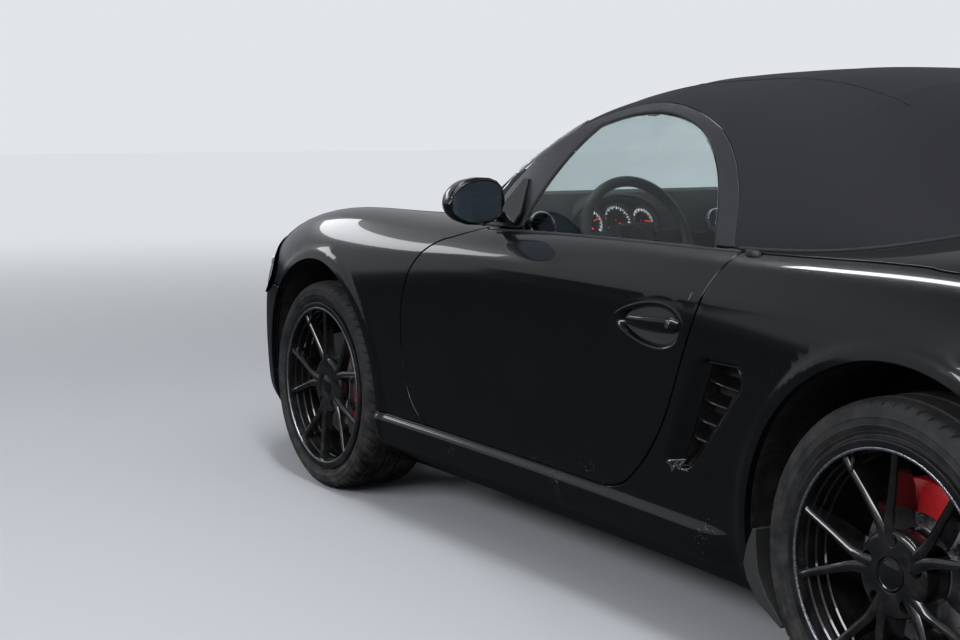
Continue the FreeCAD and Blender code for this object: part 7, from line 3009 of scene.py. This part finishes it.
@dataclass
class SteeringWheel:
    """The leather steering wheel with three spokes and a bare middle."""

    centre: Triple = (330.0, 370.0, 828.0)
    radius: float = 170.0
    rim: float = 15.0
    tilt: float = 20.0

    def build(self) -> None:
        """Makes the rim, spokes, middle and paddles."""
        turn = math.radians(self.tilt)
        place = axes(self.centre, (0, -1, 0), (math.sin(turn), 0, math.cos(turn)))
        around = round_angles(96)
        line = np.stack([self.radius * np.cos(around), self.radius * np.sin(around),
                         np.zeros(96)], 1)
        rim = Maker.tube("steering_rim", line, self.rim, SEAT_LEATHER, True, 20)
        seams = [Maker.tube(f"rim_seam_{n}", self.seam(angle), 1.1, SATIN_TRIM, False, 6)
                 for n, angle in enumerate((35, 145, 215, 325))]
        middle = Maker.block("steering_middle", (-72, -58, -34), (72, 52, 14), SOFT_DASH,
                             17, 5)
        pieces = [rim, middle, Maker.joined("rim_seams", *seams)]
        for n, angle in enumerate((4, 176)):
            pieces.append(self.spoke(f"steering_spoke_{n}", angle, 30, 20))
        pieces += [self.spoke(f"steering_spoke_low_{n}", angle, 15, 12)
                   for n, angle in enumerate((262, 278))]
        pad = Maker.rod("steering_pad", (0, 0, 12), (0, 0, 20), 40, SOFT_DASH, 4, 48, 34)
        keys = [Maker.block(f"steering_key_{n}", (x - 11, y - 6, 11), (x + 11, y + 6, 16),
                            GLOSS_PLASTIC, 2.5)
                for n, (x, y) in enumerate(((-56, 12), (-56, -8), (56, 12), (56, -8)))]
        paddles = [Maker.block(f"paddle_{n}", (x - 34, 6, -27), (x + 34, 36, -22.5),
                               SATIN_TRIM, 2) for n, x in enumerate((-104, 104))]
        pieces += [pad, Maker.joined("steering_keys", *keys),
                   Maker.joined("paddles", *paddles)]
        for piece in pieces:
            placed(piece, place)
        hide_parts("steering_wheel")
        dress("steering_wheel", "seat_leather", *pieces)

    def seam(self, angle: float) -> np.ndarray:
        """A stitched ring round the rim at an angle in degrees."""
        turn = math.radians(angle)
        around = np.linspace(0, 2 * math.pi, 25)
        out = self.radius + (self.rim + 0.4) * np.cos(around)
        return np.stack([out * math.cos(turn), out * math.sin(turn),
                         (self.rim + 0.4) * np.sin(around)], 1)

    def spoke(self, name: str, angle: float, wide: float, narrow: float,
              ) -> bpy.types.Object:
        """A spoke from the middle to the rim that narrows on its way."""
        turn = math.radians(angle)
        rings = []
        for share in np.linspace(0, 1, 9):
            out = 48 + (self.radius - 6 - 48) * share
            half = wide + (narrow - wide) * math.sin(share * math.pi / 2)
            lift = -12 * (1 - share) ** 2 - 4
            around = round_angles(16)
            side = half * np.sign(np.cos(around)) * np.abs(np.cos(around)) ** 0.7
            high = 7.5 * np.sign(np.sin(around)) * np.abs(np.sin(around)) ** 0.8 + lift
            rings.append(np.stack([
                out * math.cos(turn) - side * math.sin(turn),
                out * math.sin(turn) + side * math.cos(turn), high], 1))
        return Maker.loft(name, np.array(rings), SATIN_TRIM if wide < 20 else SOFT_DASH)


@dataclass
class Dashboard:
    """The dashboard with its dials under a hood, its vents, screen and console."""

    dials_y: float = 358.0
    dials_z: float = 872.0

    def build(self) -> None:
        """Makes the dashboard's pieces."""
        pad = Maker.copy("dashboard", "dash_pad", SOFT_DASH, 5)
        console = Maker.copy("centre_console", "console_body", SOFT_DASH, 10)
        pieces = [pad, console, self.hood(), self.screen(), *self.lever()]
        for n, (y, radius) in enumerate(((0, 48), (-88, 39), (88, 39))):
            pieces += self.dial(n, self.dials_y + y, radius)
        pieces += self.vent("centre", 0, 864, 34)
        pieces += self.vent("left", 610, 866, 40)
        pieces += self.vent("right", -610, 866, 40)
        button = Maker.turned("start_button", [(0, 0), (0, 5), (9, 5), (11, 3), (11, 0)],
                              (0, 0, 0), DIAL_RED, 32)
        pieces.append(placed(button, self.on_face(545, 815)))
        dress("body", "dash", *pieces)

    @staticmethod
    def on_face(y: float, z: float, out: float = 0.0) -> Matrix:
        """A place on the sloping face of the dashboard, with its normal along local Y."""
        way = Vector((-0.923, 0.0, 0.385))
        x = 430 + (z - 840) * 25 / 60 if z > 840 else 400 + (z - 760) * 30 / 80
        return axes((x + way.x * out, y, z + way.z * out), (0, 1, 0), tuple(way))

    def hood(self) -> bpy.types.Object:
        """The arched hood over the dials."""
        rings = []
        for turn in np.radians(np.linspace(-14, 194, 40)):
            out = np.array([math.cos(turn), math.sin(turn)])
            ring = []
            for x, grow in ((431, 0), (425, 4), (425, 10), (431, 14), (475, 16),
                            (545, 10), (545, 0), (475, 0)):
                y = self.dials_y + (142 + grow) * out[0]
                z = 866 + (72 + grow) * out[1]
                ring.append((x + 22 * (1 - abs(out[1])), y, z))
            rings.append(ring)
        return Maker.loft("dial_hood", np.array(rings), SOFT_DASH, angle=50)

    def dial(self, number: int, y: float, radius: float) -> list[bpy.types.Object]:
        """One dial: a tube, a face, ticks and a needle."""
        ring = Maker.turned(f"dial_tube_{number}", [
            (radius, 0), (radius, 16), (radius + 2, 18), (radius + 4, 16),
            (radius + 5, 0)], (0, 0, 0), SATIN_TRIM, 64)
        face = Maker.turned(f"dial_face_{number}", [
            (0, 1), (0, 3.5), (radius - 0.2, 3.5), (radius - 0.2, 1)], (0, 0, 0),
            DIAL_FACE, 64)
        ticks = []
        for n in range(27):
            turn = math.radians(225 - 270 * n / 26)
            long = 8.5 if n % 2 == 0 else 4.5
            tick = Maker.block(f"tick_{number}_{n}", (radius - 3 - long, 3.4, -0.6),
                               (radius - 3, 4.4, 0.6), DIAL_MARK, 0)
            tick.data.transform(Matrix.Rotation(-turn, 4, "Y"))
            ticks.append(tick)
        marks = Maker.joined(f"dial_marks_{number}", *ticks)
        needle = Maker.block(f"dial_needle_{number}", (-7, 4.6, -0.9),
                             (radius - 9, 6.2, 0.9), DIAL_RED, 0)
        needle.data.transform(Matrix.Rotation(math.radians(-215 + 30 * number), 4, "Y"))
        cap = Maker.turned(f"dial_cap_{number}", [(0, 4), (0, 9), (5, 8), (6, 4)],
                           (0, 0, 0), GLOSS_PLASTIC, 32)
        lamp = Maker.turned(f"dial_lamp_{number}", [(0, 3.4), (0, 4.6), (2.6, 4.4),
                                                    (2.8, 3.4)], (0, 0, -0.45 * radius),
                            DIAL_GREEN if number == 0 else DIAL_RED, 20)
        pieces = [ring, face, marks, needle, cap, lamp]
        for piece in pieces:
            placed(piece, self.on_face(y, self.dials_z))
        return pieces

    def vent(self, name: str, y: float, z: float, radius: float,
             ) -> list[bpy.types.Object]:
        """A round air vent with a bright ring and slats."""
        ring = Maker.turned(f"vent_ring_{name}", [
            (radius - 3, 0), (radius - 3, 7), (radius, 10), (radius + 3, 8),
            (radius + 4, 0)], (0, 0, 0), RING_SILVER, 64)
        well = Maker.turned(f"vent_well_{name}", [
            (0, 0.5), (0, 2), (radius - 3.2, 2), (radius - 3.2, 0.5)], (0, 0, 0),
            DIAL_FACE, 48)
        slats = []
        for n in range(-3, 4):
            high = n * radius * 0.26
            half = math.sqrt(max((radius - 3.4) ** 2 - high ** 2, 1.0))
            slats.append(Maker.block(f"vent_slat_{name}_{n}", (-half, 2.2, high - 1),
                                     (half, 8, high + 1), GLOSS_PLASTIC, 0.5))
        pieces = [ring, well, Maker.joined(f"vent_slats_{name}", *slats)]
        for piece in pieces:
            placed(piece, self.on_face(y, z))
        return pieces

    @staticmethod
    def screen() -> bpy.types.Object:
        """The dark screen in the middle of the dashboard."""
        made = Maker.block("dash_screen", (-88, 1.5, -46), (88, 6, 46), SCREEN_GLASS, 2)
        return placed(made, Dashboard.on_face(0, 792))

    @staticmethod
    def lever() -> list[bpy.types.Object]:
        """The gear lever with its leather boot and knob."""
        rings = []
        for share in np.linspace(0, 1, 9):
            size = 46 * (1 - share) ** 1.3 + 11
            around = round_angles(28)
            fold = 1 + 0.05 * np.sin(around * 6) * (1 - share) * share * 4
            rings.append(np.stack([
                160 + 14 * share + size * np.cos(around) * fold,
                size * 0.8 * np.sin(around) * fold,
                np.full(28, 456 + 66 * share)], 1))
        boot = Maker.loft("lever_boot", np.array(rings), SEAT_LEATHER)
        stem = Maker.rod("lever_stem", (173, 0, 518), (180, 0, 560), 6.5, RING_SILVER, 1)
        knob = Maker.rod("lever_knob", (179, 0, 552), (188, 0, 604), 21, GLOSS_PLASTIC, 9,
                         40, 17)
        collar = Maker.rod("lever_collar", (160, 0, 452), (160, 0, 459), 62, SATIN_TRIM, 2,
                           64)
        return [boot, stem, knob, collar]


@dataclass
class Cabin:
    """Carpets, door cards, the inside mirror and the plain structure."""

    card_y: float = 728.0

    def build(self) -> None:
        """Makes the pieces."""
        for node, name, finish, slot in (
                ("front_tub", "front_tub_metal", TUB_METAL, "dark_metal"),
                ("rear_tub", "rear_tub_metal", TUB_METAL, "dark_metal"),
                ("floor_pan", "floor_metal", TUB_METAL, "dark_metal"),
                ("engine", "engine_block", ENGINE_METAL, "engine")):
            dress("body", slot, Maker.copy(node, name, finish, 0))
        carpets = [Maker.block(f"carpet_{side}", (-560, low, 175.6), (560, low + 580, 183),
                               CARPET, 2)
                   for side, low in (("left", 108), ("right", -688))]
        dress("body", "dash", *carpets, *self.mirror())
        for side, way in (("left", 1), ("right", -1)):
            pieces = self.door_card(side)
            if way < 0:
                flipped = []
                for piece in pieces:
                    other = Maker.mirrored(piece, piece.name + "_m")
                    name = piece.name
                    bpy.data.objects.remove(piece, do_unlink=True)
                    other.name = name
                    flipped.append(other)
                pieces = flipped
            dress(f"door_{side}", "dash", *pieces)

    def door_card(self, side: str) -> list[bpy.types.Object]:
        """A door's inner panel with its armrest, handle and pocket."""
        line = Outline((500, 600), (480, 380), (440, 345), (-150, 345), (-250, 380),
                       (-420, 560), (-505, 760), (-520, 868), (350, 868), (470, 840),
                       (510, 720))
        made = Maker.plate(f"door_card_{side}", [line.points(16)], self.card_y - 7,
                           self.card_y + 2, lambda flat, high: np.stack(
                               [flat[:, 0], np.full(len(flat), high), flat[:, 1]], 1),
                           SOFT_DASH)
        Maker.bevelled(made, 2.5, 2, 40)
        rest = Maker.block(f"door_armrest_{side}", (-330, self.card_y - 40, 590),
                           (120, self.card_y - 3, 640), SEAT_LEATHER, 14, 4)
        pull = Maker.block(f"door_pull_{side}", (160, self.card_y - 24, 690),
                           (260, self.card_y - 5, 712), SATIN_TRIM, 6, 3)
        pocket = Maker.block(f"door_pocket_{side}", (-120, self.card_y - 34, 370),
                             (400, self.card_y - 4, 455), SOFT_DASH, 10, 3)
        return [made, rest, pull, pocket]

    @staticmethod
    def mirror() -> list[bpy.types.Object]:
        """The inside mirror on its short arm."""
        back = Maker.block("inside_mirror", (262, -118, 1108), (286, 118, 1168),
                           BLACK_PLASTIC, 11, 4)
        glass = Maker.block("inside_mirror_glass", (260.4, -108, 1116), (262.6, 108, 1160),
                            MIRROR_GLASS, 0.6)
        arm = Maker.rod("inside_mirror_arm", (280, 0, 1150), (322, 0, 1196), 7,
                        BLACK_PLASTIC, 1)
        return [back, glass, arm]


@dataclass
class Studio:
    """A pale floor, soft light and the camera."""

    place: Triple = (-3.27785, 3.13654, 1.21195)
    yaw: float = -0.559684
    pitch: float = -0.132939
    roll: float = 0.0100014
    focal_px: float = 1661.85
    picture_w: float = 960.0
    sensor: float = 36.0

    def build(self) -> None:
        """Sets up camera, floor, lamps and world."""
        self.camera()
        self.floor()
        self.lamps()
        self.world()
        bpy.context.scene.view_settings.view_transform = "Standard"

    def camera(self) -> None:
        """Puts the camera where the photograph was taken."""
        data = bpy.data.cameras.new("view")
        data.sensor_width = self.sensor
        data.lens = self.focal_px * self.sensor / self.picture_w
        data.clip_end = 200.0
        ahead = Vector((math.cos(self.pitch) * math.cos(self.yaw),
                        math.cos(self.pitch) * math.sin(self.yaw), math.sin(self.pitch)))
        right = ahead.cross(Vector((0, 0, 1))).normalized()
        up = right.cross(ahead)
        turned = math.cos(self.roll) * right + math.sin(self.roll) * up
        risen = -math.sin(self.roll) * right + math.cos(self.roll) * up
        camera = bpy.data.objects.new("view", data)
        axes = Matrix((turned, risen, -ahead)).transposed().to_4x4()
        camera.matrix_world = Matrix.Translation(self.place) @ axes
        bpy.context.scene.collection.objects.link(camera)
        bpy.context.scene.camera = camera

    def floor(self) -> None:
        """A wide pale floor."""
        bpy.ops.object.select_all(action="DESELECT")
        bpy.ops.mesh.primitive_plane_add(size=60.0)
        plane = bpy.context.object
        plane.name = "studio_floor"
        plane.data.materials.append(self.floor_material())

    @staticmethod
    def floor_material() -> bpy.types.Material:
        """Pale where the camera sees it, and darker in the light that it sends back."""
        made = bpy.data.materials.new("studio_floor")
        made.use_nodes = True
        made.node_tree.nodes.clear()
        tree = NodeTree(made.node_tree)
        rays = tree.add("LightPath").outputs
        seen = tree.maths("MAXIMUM", rays["Is Camera Ray"], rays["Is Transmission Ray"])
        dark = tree.mix(rays["Is Glossy Ray"], (0.15, 0.155, 0.165, 1), (0.03, 0.032, 0.036, 1))
        colour = tree.mix(seen, dark, (0.6, 0.61, 0.63, 1))
        shader = tree.add("BsdfPrincipled", {"Base Color": colour, "Roughness": 0.8,
                                             "Specular IOR Level": 0.1})
        where = tree.add("TexCoord").outputs["Object"]
        away = tree.add("VectorMath", {0: where}, operation="LENGTH").outputs["Value"]
        far = tree.maths("MULTIPLY", tree.ramp(away, 3.2, 11.0), seen)
        pale = tree.add("Emission", {"Color": (0.86, 0.89, 0.93, 1), "Strength": 0.84})
        mixed = tree.add("MixShader", {0: far, 1: shader.outputs[0], 2: pale.outputs[0]})
        tree.add("OutputMaterial", {"Surface": mixed.outputs[0]})
        return made

    def lamps(self) -> None:
        """Soft boxes over and beside the car."""
        for name, place, aim, size, power, tint in (
                ("box_over", (0.2, 1.3, 4.0), (0.0, 0.6, 0.6), (5.4, 0.3), 75.0,
                 (0.93, 0.96, 1.0)),
                ("box_side", (-1.0, 6.4, 3.4), (0.0, 0.0, 0.4), (7.0, 1.3), 230.0,
                 (0.95, 0.97, 1.0)),
                ("box_rear", (-6.5, -0.5, 3.0), (-1.0, 0.0, 0.5), (3.6, 1.4), 100.0,
                 (1.0, 0.98, 0.96)),
                ("box_front", (6.5, 1.5, 3.0), (1.0, 0.0, 0.5), (3.6, 0.8), 26.0,
                 (0.96, 0.97, 1.0)),
                ("box_far", (0.0, -6.2, 3.4), (0.0, 0.0, 0.4), (6.0, 0.8), 42.0,
                 (0.96, 0.97, 1.0))):
            data = bpy.data.lights.new(name, "AREA")
            data.shape = "RECTANGLE"
            data.size, data.size_y = size
            data.energy = power
            data.color = tint
            lamp = bpy.data.objects.new(name, data)
            lamp.location = place
            way = Vector(aim) - Vector(place)
            lamp.rotation_euler = way.to_track_quat("-Z", "Y").to_euler()
            bpy.context.scene.collection.objects.link(lamp)

    def world(self) -> None:
        """A plain pale sky, which glossy surfaces show as a soft band over a dark ground."""
        world = bpy.data.worlds.new("studio")
        bpy.context.scene.world = world
        world.use_nodes = True
        world.node_tree.nodes.clear()
        tree = NodeTree(world.node_tree)
        rays = tree.add("LightPath").outputs
        way = tree.add("TexCoord").outputs["Generated"]
        up = tree.add("SeparateXYZ", {0: way}).outputs["Z"]
        band = tree.maths("MULTIPLY", tree.ramp(up, 0.0, 0.06), tree.ramp(up, 1.0, 0.45))
        mirrored = tree.maths("MULTIPLY_ADD", band, 0.3, 0.04)
        seen = tree.maths("MAXIMUM", rays["Is Camera Ray"], rays["Is Transmission Ray"])
        share = tree.maths("MULTIPLY", rays["Is Glossy Ray"],
                           tree.maths("SUBTRACT", 1.0, seen))
        plain = tree.maths("MULTIPLY_ADD", seen, 0.5, 0.38)
        strength = tree.maths("ADD", tree.maths("MULTIPLY", share, mirrored),
                              tree.maths("MULTIPLY", tree.maths("SUBTRACT", 1.0, share),
                                         plain))
        sky = tree.add("Background", {"Color": (0.86, 0.89, 0.93, 1), "Strength": strength})
        tree.add("OutputWorld", {"Surface": sky.outputs[0]})


def main() -> None:
    """Builds the whole car in order."""
    logging.basicConfig(level=logging.INFO, format="%(message)s")
    body = BodyShell()
    body.build()
    Roof(body).build()
    for side in ("left", "right"):
        Wheel("front", side, FRONT_AXLE, track=1486.0, tyre_r=FRONT_AXLE[1], tyre_w=235.0,
              rim_w=203.2, hub_y=800.0, disc_r=159.0, disc_t=28.0).build()
        Wheel("rear", side, REAR_AXLE, track=1528.0, tyre_r=REAR_AXLE[1], tyre_w=265.0,
              rim_w=241.3, hub_y=807.0, disc_r=149.5, disc_t=24.0).build()
    Brakes().build()
    Mirror().build()
    Handle(body).build()
    Intake(body).build()
    Lamps(body).build()
    Details(body).build()
    Cabin().build()
    Dashboard().build()
    SteeringWheel().build()
    Seat().build()
    Studio().build()


if __name__ == "__main__":
    main()
